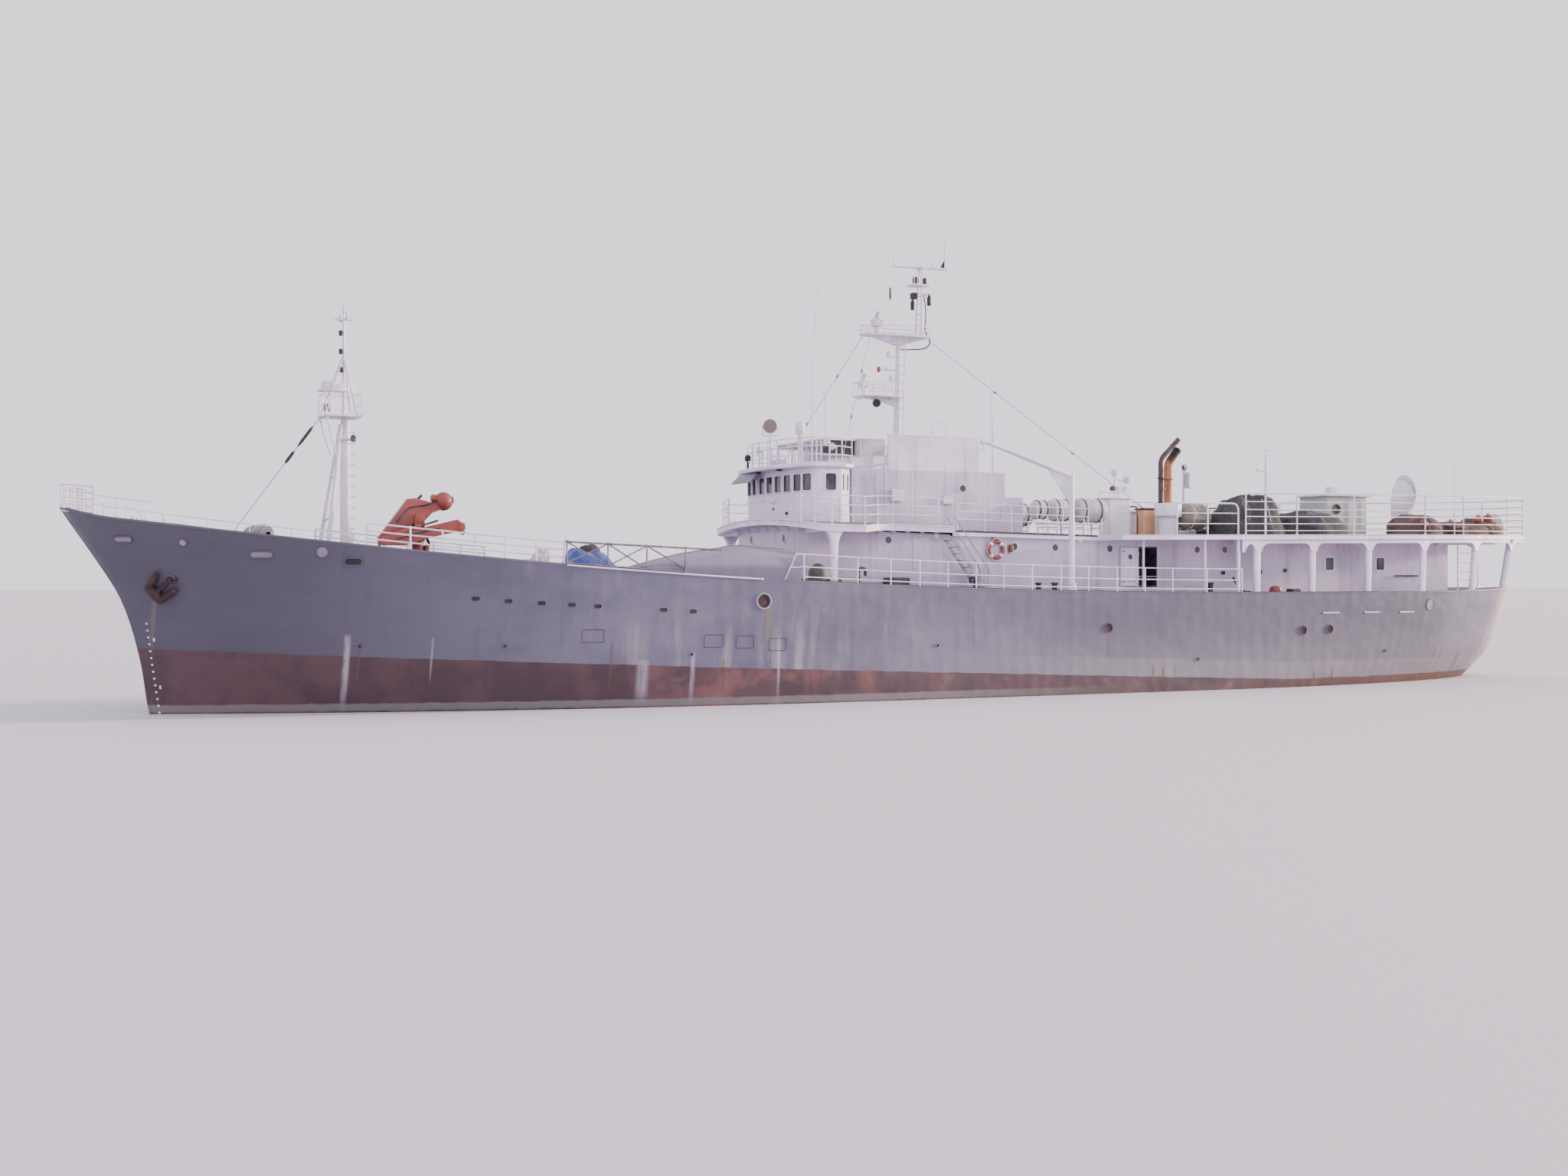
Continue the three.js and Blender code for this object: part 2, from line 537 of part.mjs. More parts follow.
// Accommodation behind the wheelhouse, with a lower step at its aft end
const upperHouse = add('upper_house', seated(join(
  block(UPPER_HOUSE_AFT_X, WHEEL_AFT_X - GAP, -UPPER_HOUSE_HALF, UPPER_HOUSE_HALF, 5.9, UPPER_HOUSE_TOP_Z),
  block(-2.93, UPPER_HOUSE_AFT_X + 0.1, -UPPER_HOUSE_HALF, UPPER_HOUSE_HALF, 5.9, 7.3)),
bridgeSeat, upperSeat), colours.white);

// Top of the wheelhouse: open steering shelter, canvas dodger, board, rails and dome
const ROOF_Z = WHEEL_TOP_Z + 0.16;
function topShelter() {
  const walls = cutFrom(block(3.98, 5.3, -1.8, 1.8, ROOF_Z, 9.32), block(4.04, 5.24, -1.72, 1.72, 8, 9.24));
  let opened = cutFrom(walls, block(3.9, 4.2, -1.5, 1.5, 8, 9.1));
  for (const side of [1, -1]) {
    const [y0, y1] = side > 0 ? [1.6, 2] : [-2, -1.6];
    opened = cutFrom(opened, block(4.1, 5.2, y0, y1, 8.5, 8.75));
  }
  return seated(opened, wheelRoof, upperHouse);
}
add('top_shelter', topShelter(), colours.white);
add('canvas_dodger', seated(join(block(2.9, 3.93, 2.2, 2.26, 8.7, 9.3),
  block(2.9, 3.93, -2.26, -2.2, 8.7, 9.3),
  block(3.87, 3.93, -2.26, 2.26, 8.7, 9.3), block(2.9, 2.96, 2.2, 2.26, 8, 8.8),
    block(3.87, 3.93, 2.2, 2.26, 8, 8.8),
  block(2.9, 2.96, -2.26, -2.2, 8, 8.8), block(3.87, 3.93, -2.26, -2.2, 8, 8.8)), upperHouse), colours.tan);
const BOARD_Y = 2.32;
const boards = [1, -1].map((side) => block(-1.05, 2.84, side > 0 ? BOARD_Y : -BOARD_Y - 0.06,
  side > 0 ? BOARD_Y + 0.06 : -BOARD_Y, 8.2, 9.5));
const boardBeams = [-0.9, 2.7].map((x) => bar([x, -BOARD_Y - 0.03, 8.45], [x, BOARD_Y + 0.03, 8.45], 0.04,
  4));
add('sign_boards', seated(join(...boards, ...boardBeams), upperHouse), colours.white);
const DOME = [5.75, 1.05];
add('antenna_dome', seated(join(bar([...DOME, 8.3], [...DOME, 9.5], 0.1, 8),
  bar([...DOME, 9.4], [...DOME, 9.97], 0.17, 10)), wheelRoof), colours.white);

// A rail along a path of deck points, as one lattice: a post at each point and bars between the posts.
// Columns run post, gap, post along the path, and rows run gap, bar, gap, bar up the posts.
function rail(path, heights, radius) {
  const points = path.map((point) => new THREE.Vector3(...point));
  const steps = points.slice(1).map((point, i) => point.clone().sub(points[i]).normalize());
  const columns = [];
  points.forEach((point, i) => {
    const before = steps[Math.max(0, i - 1)];
    const after = steps[Math.min(steps.length - 1, i)];
    const mean = before.clone().add(after).setZ(0).normalize();
    const side = new THREE.Vector3(-mean.y, mean.x, 0).multiplyScalar(radius);
    columns.push({ at: point.clone().addScaledVector(before, -radius), side, postNext: true });
    columns.push({ at: point.clone().addScaledVector(after, radius), side, postNext: false });
  });
  const rows = [-RAIL_FOOT];
  for (const height of heights) rows.push(height - radius, height + radius);
  const inside = (column, row) => column >= 0 && column < columns.length - 1 && row >= 0 && row < rows.length - 1;
  const solid = (column, row) => inside(column, row)
    && (columns[column].postNext || row % 2 === 1);
  const vertices = [];
  const spot = (column, row, face) => {
    const { at, side } = columns[column];
    const place = at.clone().addScaledVector(side, face ? 1 : -1);
    vertices.push(place.x, place.y, place.z + rows[row]);
    return vertices.length / 3 - 1;
  };
  const faces = [];
  const quad = (a, b, c, d) => faces.push(a, b, c, a, c, d);
  for (let i = 0; i < columns.length - 1; i += 1) {
    for (let j = 0; j < rows.length - 1; j += 1) {
      if (!solid(i, j)) continue;
      quad(spot(i, j, 0), spot(i + 1, j, 0), spot(i + 1, j + 1, 0), spot(i, j + 1, 0));
      quad(spot(i, j, 1), spot(i, j + 1, 1), spot(i + 1, j + 1, 1), spot(i + 1, j, 1));
      if (!solid(i - 1, j)) quad(spot(i, j, 0), spot(i, j + 1, 0), spot(i, j + 1, 1), spot(i, j, 1));
      if (!solid(i + 1, j)) quad(spot(i + 1, j, 0), spot(i + 1, j, 1), spot(i + 1, j + 1, 1),
        spot(i + 1, j + 1, 0));
      if (!solid(i, j - 1)) quad(spot(i, j, 0), spot(i, j, 1), spot(i + 1, j, 1), spot(i + 1, j, 0));
      if (!solid(i, j + 1)) quad(spot(i, j + 1, 0), spot(i + 1, j + 1, 0), spot(i + 1, j + 1, 1),
        spot(i, j + 1, 1));
    }
  }
  const geometry = new THREE.BufferGeometry();
  geometry.setAttribute('position', new THREE.BufferAttribute(new Float32Array(vertices), 3));
  geometry.setIndex(faces);
  return solidOf(geometry);
}

const RAIL_FOOT = 0.02; // how far posts reach below the deck line before the deck cuts them
const RAIL_R = 0.025;
const foreRailPort = [15.6, 17.8, 20.0, 22.2, 24.8, 27.2, 29.0, 30.0].map(
  (x) => [x, deckHalf(x) - 0.075, sheerZ(x)]);
const foreRailPath = [...foreRailPort, [30.5, 0, sheerZ(30.5)],
  ...foreRailPort.slice().reverse().map(([x, y, z]) => [x, -y, z])];
add('fore_rail', seated(rail(foreRailPath, [0.33, 0.66], RAIL_R), fullHull), colours.white);

function mainRail() {
  const stations = [7.3, 4.6, 1.9, -0.8, -3.2, -5.9, -8.6, -11.6];
  return seated(rail(stations.map((x) => [x, deckHalf(x) - 0.08, sheerZ(x)]), [0.48, 0.93], RAIL_R),
    fullHull);
}
add('main_rail_port', mainRail(), colours.white);
add('main_rail_starboard', mirrored(mainRail()), colours.white);

function bridgeDeckTop(x, y, half) {
  return upperDeckZ(x) + BRIDGE_CAMBER * (1 - (y / half) ** 2);
}
// The bridge deck's rail on one side: along the house, out round the wing, and in to the wheelhouse front
const bridgeRailPort = [
  ...[-5.5, -3.2, -0.9].map((x) => [x, 2.97, upperDeckZ(x)]),
  ...[[1.2, 3.15, 3.25], [3.1, 3.2, 3.3], [3.9, 3.5, 3.6], [4.9, 4.4, BRIDGE_HALF], [6.2, 4.4, BRIDGE_HALF],
    [6.55, 3.9, 4.4], [6.72, 3.05, 4.2]].map(([x, y, half]) => [x, y, bridgeDeckTop(x, y, half)]),
];
const bridgeRail = seated(rail(bridgeRailPort, [0.5, 1.0], RAIL_R), bridgeSeat, upperSeat);
add('bridge_rail_port', bridgeRail, colours.white);
add('bridge_rail_starboard', seated(mirrored(bridgeRail), bridgeSeat, upperSeat), colours.white);

const sternRailPort = [-8.2, -10.9, -13.6, -16.3].map((x) => [x, 4.5, upperDeckZ(x)]);
for (const share of [0.18, 0.4, 0.6, 0.78, 0.91]) {
  const x = -17 + (UPPER_DECK_AFT_X + 17) * share;
  sternRailPort.push([x, edgeHalf(x, 0.06), upperDeckZ(x)]);
}
const sternRailPath = [...sternRailPort, ...sternRailPort.slice().reverse().map(([x, y, z]) => [x, -y, z])];
add('stern_rail', seated(rail(sternRailPath, [0.4, 0.95, 1.6], 0.03), upperSeat), colours.white);

const topRailPath = [[2.4, 2.25], [4.3, 2.3], [5.0, 2.85], [6.0, 2.85], [6.45, 1.5], [6.55, 0],
  [6.45, -1.5],
  [6.0, -2.85], [5.0, -2.85], [4.3, -2.3], [2.4, -2.25]].map(([x, y]) => [x, y,
    x > 4.35 ? ROOF_Z : UPPER_HOUSE_TOP_Z]);
const dodgerRoom = join(block(2.85, 3.98, 2.15, 2.31, 8, 9.4), block(2.85, 3.98, -2.31, -2.15, 8, 9.4));
add('top_rail', seated(rail(topRailPath.slice(1, -1), [0.45, 0.9], RAIL_R), wheelRoof,
  upperHouse).subtract(dodgerRoom),
  colours.white);

// Fore mast
const FORE_MAST_X = 21.9;
function foreMast() {
  const parts = [bar([FORE_MAST_X, 0, 4.2], [FORE_MAST_X, 0, 9.6], 0.19, 10, 0.15)];
  for (const side of [1, -1]) {
    parts.push(bar([22.75, side * 0.75, 4.3], [22.05, side * 0.08, 9.3], 0.07, 6));
    parts.push(bar([FORE_MAST_X - 0.3, side * 0.45, 9.55], [21.95, side * 0.04, 11.5], 0.05, 4));
  }
  parts.push(bar([22.5, 0, 9.55], [21.97, 0, 11.5], 0.05, 4));
  parts.push(block(21.43, 22.7, -0.6, 0.6, 9.5, 9.6));
  parts.push(block(21.85, 22.78, -0.35, 0.35, 10.36, 10.44));
  parts.push(bar([21.95, 0, 9.5], [21.96, 0, 13.22], 0.06, 6, 0.04));
  parts.push(bar([21.95, -0.6, 12.74], [21.95, 0.6, 12.74], 0.035, 4));
  parts.push(bar([21.6, 0, 12.74], [22.3, 0, 12.74], 0.035, 4));
  return seated(join(...parts), hull);
}
const foreMastSolid = add('fore_mast', foreMast(), colours.white);
add('fore_mast_stay', cutFrom(seated(join(bar([22.68, 0, 9.58], [26.1, 0, 4.6], 0.025, 4),
  bar([22.95, 0, 9.187], [23.85, 0, 7.876], 0.05, 6)), hull), block(20, 22.7 + GAP, -1, 1, 9, 10)),
    colours.steel);

// Main mast with its platforms; the scanners rest turned RADAR_TURN degrees from athwart
const RADAR_LOWER_Z = 11.68;
const RADAR_UPPER_Z = 14.03;
const RADAR_TURN = -26;
function mainMast() {
  const parts = [bar([1.19, 0, 8.0], [1.06, 0, 13.5], 0.14, 10, 0.1)];
  parts.push(block(1.0, 2.85, -0.45, 0.45, 11.05, 11.13));
  parts.push(spread([[1.05, 10.72], [1.35, 10.78], [1.85, 10.93], [2.75, 11.08], [1.05, 11.08]], -0.1,
    0.1));
  parts.push(block(2.45, 2.65, -0.1, 0.1, 11.1, 11.5), block(2.37, 2.73, -0.18, 0.18, 11.42,
    RADAR_LOWER_Z));
  parts.push(raised([[2.6, -0.3], [2.6, 0.3], [0.9, 0.55], [-0.1, 0.45], [-0.1, -0.45], [0.9, -0.55]],
    13.36, 13.46));
  parts.push(spread([[0.95, 13.08], [1.2, 13.08], [2.3, 13.38], [-0.05, 13.38]], -0.2, 0.2));
  parts.push(block(1.86, 2.1, -0.12, 0.12, 13.4, 13.8), block(1.78, 2.18, -0.2, 0.2, 13.72, RADAR_UPPER_Z));
  parts.push(bar([0.2, 0.22, 13.4], [0.1, 0.1, 16.15], 0.06, 6, 0.045));
  parts.push(bar([0.2, -0.22, 13.4], [0.1, -0.1, 16.15], 0.06, 6, 0.045));
  parts.push(block(-0.2, 0.6, -0.35, 0.35, 15.35, 15.42));
  parts.push(bar([1.3, 0, 16.05], [-1.05, 0, 16.1], 0.07, 4), block(0, 0.2, -0.2, 0.2, 16.0, 16.12));
  parts.push(bar([-0.96, 0, 16.1], [-0.96, 0, 17.28], 0.03, 4));
  return seated(join(...parts), upperHouse);
}
const mainMastSolid = add('main_mast', mainMast(), colours.white);

function radar(x, z, length) {
  const scanner = join(bar([0, 0, 0], [0, 0, 0.12], 0.11, 8),
    block(-0.07, 0.07, -length / 2, length / 2, 0.1, 0.22));
  return scanner.rotate([0, 0, RADAR_TURN]).translate([x, 0, z]);
}
add('radar_lower', radar(2.55, RADAR_LOWER_Z + GAP, 1.4), colours.white);
add('radar_upper', radar(1.98, RADAR_UPPER_Z + GAP, 1.6), colours.white);

// Windlass on the forecastle
const WINDLASS_X = 24.7;
const WINDLASS_Z = 5.65;
const AXLE_R = 0.1;
function windlassBase() {
  const parts = [block(24.1, 25.3, -1.1, 1.1, 4.3, 5.15)];
  for (const y of [-1.15, -0.4, 0.4, 1.15]) parts.push(block(24.45, 24.95, y - 0.07, y + 0.07, 4.4, 5.92));
  const bores = bar([WINDLASS_X, -1.5, WINDLASS_Z], [WINDLASS_X, 1.5, WINDLASS_Z], AXLE_R + 3 * GAP, 20);
  return seated(cutFrom(join(...parts), bores), hull);
}
add('windlass_base', windlassBase(), colours.steel);
function windlassDrums() {
  const axle = bar([WINDLASS_X, -1.75, WINDLASS_Z], [WINDLASS_X, 1.75, WINDLASS_Z], AXLE_R, 20);
  const drum = (y0, y1, radius) => bar([WINDLASS_X, y0, WINDLASS_Z], [WINDLASS_X, y1, WINDLASS_Z], radius,
    12);
  return join(axle, drum(-0.95, -0.6, 0.34), drum(0.6, 0.95, 0.34), drum(-0.25, 0.25, 0.26),
    drum(-1.75, -1.3, 0.2),
    drum(1.3, 1.75, 0.2));
}
add('windlass_drums', windlassDrums(), colours.steel);

// Stockless anchors, hauled up against the bow plating
function sideHalf(x, z) {
  const v = z / sheerZ(x);
  const above = LEVELS.findIndex((level) => level.v >= v);
  const [low, high] = [LEVELS[above - 1], LEVELS[above]];
  const share = (v - low.v) / (high.v - low.v);
  return halfBreadth(low, x) * (1 - share) + halfBreadth(high, x) * share;
}
// Places on the bow plating as [x, z]; the flukes lie up and aft of the crown
const ANCHOR = {
  crown: [[28.24, 4.02], [27.78, 3.52]],
  shank: [[28.0, 3.78], [27.55, 4.26]],
  flukes: [[[28.18, 3.96], [27.98, 4.44]], [[27.84, 3.58], [27.4, 3.94]]],
  out: 0.1,
};
function anchor(side) {
  const spot = ([x, z], out = ANCHOR.out) => [x, sideHalf(x, z) + out, z];
  const [head, hawse] = ANCHOR.shank;
  const parts = [bar(...ANCHOR.crown.map((end) => spot(end)), 0.14, 8),
    bar(spot(head), spot(hawse, -0.05), 0.08, 6)];
  for (const [root, tip] of ANCHOR.flukes) parts.push(bar(spot(root), spot(tip, 0.14), 0.12, 6, 0.04));
  const whole = side > 0 ? join(...parts) : mirrored(join(...parts));
  return cutFrom(whole, fullHull, moved(fullHull, 0, side * GAP, 0));
}
add('anchor_port', anchor(1), colours.rust, 0.9);
add('anchor_starboard', anchor(-1), colours.rust, 0.9);

// Knuckle crane on the forecastle, folded
const CRANE = { x: 19.75, y: 1.0, pivotZ: 6.2, knuckleX: 20.95, knuckleZ: 5.45 };
function craneBase() {
  return seated(bar([CRANE.x, CRANE.y, 3.9], [CRANE.x, CRANE.y, 4.7], 0.32, 12), hull);
}
add('crane_base', craneBase(), colours.red);
function craneColumn() {
  const post = bar([CRANE.x, CRANE.y, 4.7 + GAP], [CRANE.x, CRANE.y, 5.78], 0.2, 10);
  const cheek = (y) => block(CRANE.x - 0.16, CRANE.x + 0.16, y - 0.03, y + 0.03, 5.6, CRANE.pivotZ + 0.16);
  return join(post, cheek(CRANE.y - 0.19), cheek(CRANE.y + 0.19), block(CRANE.x - 0.16, CRANE.x + 0.16,
    CRANE.y - 0.22, CRANE.y + 0.22, 5.5, 5.78));
}
add('crane_column', craneColumn(), colours.red);
const BOOM_HALF = 0.14;
const JIB_OUT = 0.34; // the jib folds beside the boom
function craneBoom() {
  const { x, y, pivotZ, knuckleX, knuckleZ } = CRANE;
  const arm = spread([[knuckleX + 0.1, knuckleZ - 0.14], [knuckleX + 0.12, knuckleZ + 0.14],
    [20.12, 6.86], [19.88, 6.9],
    [19.3, 6.76], [18.95, 6.8], [18.9, 6.56], [19.3, 6.42], [x - 0.12, pivotZ - 0.12],
      [x + 0.15, pivotZ - 0.14]],
  y - BOOM_HALF, y + BOOM_HALF);
  const head = ball([18.9, y, 6.81], 0.31, 12, 8);
  const cap = bar([19.16, y, 6.9], [19.32, y, 6.9], 0.13, 10);
  const boss = bar([knuckleX, y, knuckleZ], [knuckleX, y + JIB_OUT - GAP, knuckleZ], 0.1, 12);
  const pivot = bar([x, y - 0.16 + GAP, pivotZ], [x, y + 0.16 - GAP, pivotZ], 0.1, 12);
  return join(arm, head, cap, boss, pivot);
}
add('crane_boom', craneBoom(), colours.red);
function craneJib() {
  const { y, knuckleX, knuckleZ } = CRANE;
  const arm = spread([[knuckleX + 0.12, knuckleZ - 0.12], [knuckleX + 0.08, knuckleZ + 0.16],
    [19.3, 6.02], [18.56, 6.2],
    [18.36, 6.05], [18.46, 5.82], [19.3, 5.64], [20.3, 5.34]], y + JIB_OUT, y + JIB_OUT + 0.22);
  return arm;
}
add('crane_jib', craneJib(), colours.red);

// Lattice side of the gangway along the port bulwark, and the covered bundle inboard of it
function gangwayTruss() {
  const stops = [15.4, 14.1, 12.7, 11.35];
  const inboard = 0.03;
  const path = stops.map((x) => [x, deckHalf(x) - inboard, sheerZ(x) + 0.01]);
  const rises = stops.map((x) => 5.47 - (15.8 - x) * 0.042 - sheerZ(x));
  let truss = rail(path, [0.06, 0.75], 0.022);
  for (let i = 0; i + 1 < stops.length; i += 1) {
    const [near, far] = [path[i], path[i + 1]];
    const spot = ([x, y, z], offset, rise) => [x, y + offset, z + rise];
    truss = join(truss, bar(spot(near, 0.009, 0.06), spot(far, 0.009, rises[i + 1] - 0.03), 0.012, 4),
      bar(spot(near, -0.011, rises[i] - 0.03), spot(far, -0.011, 0.06), 0.008, 4));
  }
  return cutFrom(seated(truss, fullHull), bulwarkPort, moved(bulwarkPort, 0, GAP, 0));
}
add('gangway_truss', gangwayTruss(), colours.steel);

// Soft bundles under their covers
function bundle(x0, x1, y0, y1, z0, z1, sides = 10) {
  const geometry = new THREE.SphereGeometry(0.5, sides, 6);
  geometry.rotateX(Math.PI / 2);
  geometry.scale(x1 - x0, y1 - y0, 2 * (z1 - z0));
  geometry.translate((x0 + x1) / 2, (y0 + y1) / 2, z0);
  return solidOf(geometry).subtract(block(-FAR, FAR, -FAR, FAR, -FAR, z0));
}
add('bundle_blue', seated(join(bundle(14.35, 15.75, 2.1, 3.7, 3.1, 5.3),
  block(14.4, 15.6, 2.2, 3.6, 3.0, 4.2)), hull),
  colours.blue);
add('bundle_net', seated(join(bundle(-15.0, -12.3, 1.2, 3.9, 5.7, 7.72),
  bundle(-18.6, -14.6, 1.4, 3.7, 5.7, 7.05)),
  upperSeat), colours.net);

// Davit on the port side: a post that turns, with a long arm
const DAVIT = { x: -3.85, y: 4.25, seatZ: 4.1, reach: 3.9 };
function davit() {
  const { x, y } = DAVIT;
  return join(bar([x, y, DAVIT.seatZ + GAP], [x, y, 8.1], 0.11, 12),
    bar([x + 0.02, y, 8.03], [x + DAVIT.reach, y, 9.24], 0.1, 6, 0.06),
    spread([[x, 7.1], [x + 0.1, 7.05], [x + 1.05, 8.2], [x + 0.95, 8.35], [x, 8.02]], y - 0.03, y + 0.03));
}
add('davit_socket', seated(bar([DAVIT.x, DAVIT.y, 3.6], [DAVIT.x, DAVIT.y, DAVIT.seatZ], 0.17, 12), hull),
  colours.white);
add('davit', davit(), colours.white);

// Liferaft canisters in their cradle on the upper deck, one pair each side
const RAFT_Y = 2.5;
const RAFT_Z = 6.86;
const RAFTS = [[-6.5, -5.15, 0.46], [-4.95, -4.05, 0.42], [-3.9, -3.3, 0.36]]; // aft end, fore end, radius
function rafts(side) {
  const parts = [];
  for (const [x0, x1, radius] of RAFTS) {
    parts.push(bar([x0, side * RAFT_Y, RAFT_Z], [x1, side * RAFT_Y, RAFT_Z], radius, 12));
  }
  parts.push(block(-6.3, -3.7, Math.min(side * 2.25, side * 2.75), Math.max(side * 2.25, side * 2.75),
    5.7, 6.62));
  return seated(join(...parts), upperSeat);
}
add('liferafts_port', rafts(1), colours.white);
add('liferafts_starboard', rafts(-1), colours.white);

// Machinery casing, exhausts, vents
const casing = add('engine_casing', seated(join(block(-12.4, -9.3, -1.3, 0.7, 5.7, 7.0),
  bar([-11.95, 0.5, 6.9], [-11.95, 0.5, 8.8], 0.05, 6), block(-12.3, -11.98, 0.35, 0.65, 7.95, 8.6),
    block(-9.5, -8.95, 1.3, 1.85, 5.7, 7.05)
  .add(block(-9.6, -9.2, 0.3, 1.4, 5.7, 6.1))), upperSeat), colours.yellow);
function exhaust(x, y, radius, bendZ, tipX, tipZ) {
  return join(bar([x, y, 6.5], [x, y, bendZ], radius, 8),
    bar([x, y, bendZ - radius * 0.5], [tipX, y, tipZ], radius, 8));
}
const exhaustBrace = bar([-10.92, 0.35, 7.9], [-11.54, 0, 7.9], 0.05, 4);
add('exhausts', seated(join(exhaust(-10.92, 0.35, 0.1, 9.1, -11.81, 9.93),
  exhaust(-11.54, 0, 0.16, 8.95, -12.04, 9.55),
  exhaustBrace), casing), colours.rust);
const STAYS = [
  { name: 'main_stay_fore_port', top: [2.3, 0.3, 13.36], foot: [4.9, 2.6, 8.3], on: wheelRoof },
  { name: 'main_stay_fore_starboard', top: [2.3, -0.3, 13.36], foot: [4.9, -2.6, 8.3], on: wheelRoof },
  { name: 'main_stay_aft', top: [-0.05, 0, 13.36], foot: [-10.5, 0, 6.95], on: casing },
];
const mastClearance = moved(mainMastSolid, 0, 0, -GAP);
for (const { name, top, foot, on } of STAYS) {
  const topX = top[0] + (top[0] - foot[0]) * 0.012;
  const raisedTop = [topX, top[1], top[2] + 0.06];
  add(name, cutFrom(seated(bar(raisedTop, foot, 0.022, 4), on), mastClearance, mainMastSolid),
    colours.steel);
}
add('vent_house', seated(join(block(-8.47, -7.45, 0.9, 1.65, 5.7, 7.45),
  bar([-8.1, 1.3, 7.4], [-8.1, 1.3, 7.8], 0.12, 8),
  block(-8.45, -7.75, 1.15, 1.45, 7.68, 7.92)), upperSeat), colours.white);
add('vent_drum', seated(join(bar([-9.55, 2.6, 5.7], [-9.55, 2.6, 6.75], 0.38, 12), bar([-9.55, 2.6, 6.63],
  [-9.55, 2.6, 7.22], 0.53, 12)), upperSeat), colours.white);
add('cowl_vent', seated(join(bar([-24.2, 0, 5.9], [-24.2, 0, 7.4], 0.4, 10),
  bar([-24.2, 0, 7.35], [-24.2, 0, 8.0], 0.62, 10),
  ball([-24.2, 0, 8.1], 0.6, 10, 6)), upperSeat), colours.white);

// Store hut on the stern deck, with a small box on its flat roof
const HUT = { x0: -21.2, x1: -19.0, y0: -0.6, y1: 1.1, roof: 7.78 };
add('stern_hut', seated(join(block(HUT.x0, HUT.x1, HUT.y0, HUT.y1, 5.7, HUT.roof),
  block(HUT.x0 - 0.12, HUT.x1 + 0.12, HUT.y0 - 0.1, HUT.y1 + 0.1, HUT.roof - 0.06, HUT.roof + 0.04),
  block(-20.25, -19.85, 0, 0.4, HUT.roof, HUT.roof + 0.42)), upperSeat), colours.white);
add('bundle_stern', seated(join(bundle(-24.0, -21.6, 1.0, 3.4, 5.7, 7.05),
  bundle(-27.6, -23.2, 1.0, 2.7, 5.7, 6.75),
  bundle(-28.4, -26.2, 0.4, 2.4, 5.7, 7.0)), upperSeat), colours.net);

// Lifebuoy on the port house side and the ladder to the upper deck
const buoy = new THREE.TorusGeometry(0.3, 0.075, 5, 12);
buoy.rotateX(Math.PI / 2);
const ring = solidOf(buoy);
add('lifebuoy', moved(ring, -1.36, HOUSE_HALF + GAP - ring.boundingBox().min[1], 5.33), colours.orange);
function sideLadder() {
  const stile = (y) => bar([1.0, y, 5.72], [-0.45, y, 3.8], 0.045, 4);
  const rungs = [0.15, 0.35, 0.55, 0.75, 0.92].map((share) => bar([1.0 - 1.45 * share, 3.2,
    5.72 - 1.92 * share],
    [1.0 - 1.45 * share, 3.8, 5.72 - 1.92 * share], 0.035, 4));
  return seated(join(stile(3.2), stile(3.8), ...rungs), hull);
}
add('side_ladder', sideLadder(), colours.white);

export default model;
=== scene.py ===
"""Looks of a steel fishing vessel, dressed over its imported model. Points below are full-size metres."""
import math

import bmesh
import bpy
from mathutils import Matrix, Vector, noise


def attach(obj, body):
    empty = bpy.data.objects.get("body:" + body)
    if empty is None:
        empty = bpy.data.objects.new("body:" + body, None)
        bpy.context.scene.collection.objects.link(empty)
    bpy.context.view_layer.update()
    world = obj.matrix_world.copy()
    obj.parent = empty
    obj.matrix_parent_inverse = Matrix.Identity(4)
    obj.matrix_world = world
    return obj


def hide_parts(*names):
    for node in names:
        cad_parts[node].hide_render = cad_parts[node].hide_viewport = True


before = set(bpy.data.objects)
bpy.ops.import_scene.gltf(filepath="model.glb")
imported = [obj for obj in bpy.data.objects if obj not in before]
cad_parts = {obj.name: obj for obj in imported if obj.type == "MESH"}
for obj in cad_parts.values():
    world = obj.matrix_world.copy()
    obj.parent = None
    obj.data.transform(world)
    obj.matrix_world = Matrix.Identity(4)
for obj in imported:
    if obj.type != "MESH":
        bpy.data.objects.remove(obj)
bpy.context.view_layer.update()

K = 0.5  # model metres for a full-size metre


def make_camera():
    data = bpy.data.cameras.new("camera")
    data.sensor_width = 36
    data.lens = 42.19
    data.clip_start = 0.5
    data.clip_end = 600
    camera = bpy.data.objects.new("camera", data)
    bpy.context.scene.collection.objects.link(camera)
    heading = math.radians(26.05)
    dip = math.radians(0.239)
    look = Vector((-math.sin(heading), -math.cos(heading), -math.tan(dip)))
    camera.location = Vector((35.458, 60.501, 4.2)) * K
    camera.rotation_euler = look.to_track_quat("-Z", "Y").to_euler()
    bpy.context.scene.camera = camera


make_camera()


# Colour and node helpers
def srgb(red, green, blue):
    def linear(value):
        share = value / 255
        return share / 12.92 if share <= 0.04045 else ((share + 0.055) / 1.055) ** 2.4
    return (linear(red), linear(green), linear(blue), 1.0)


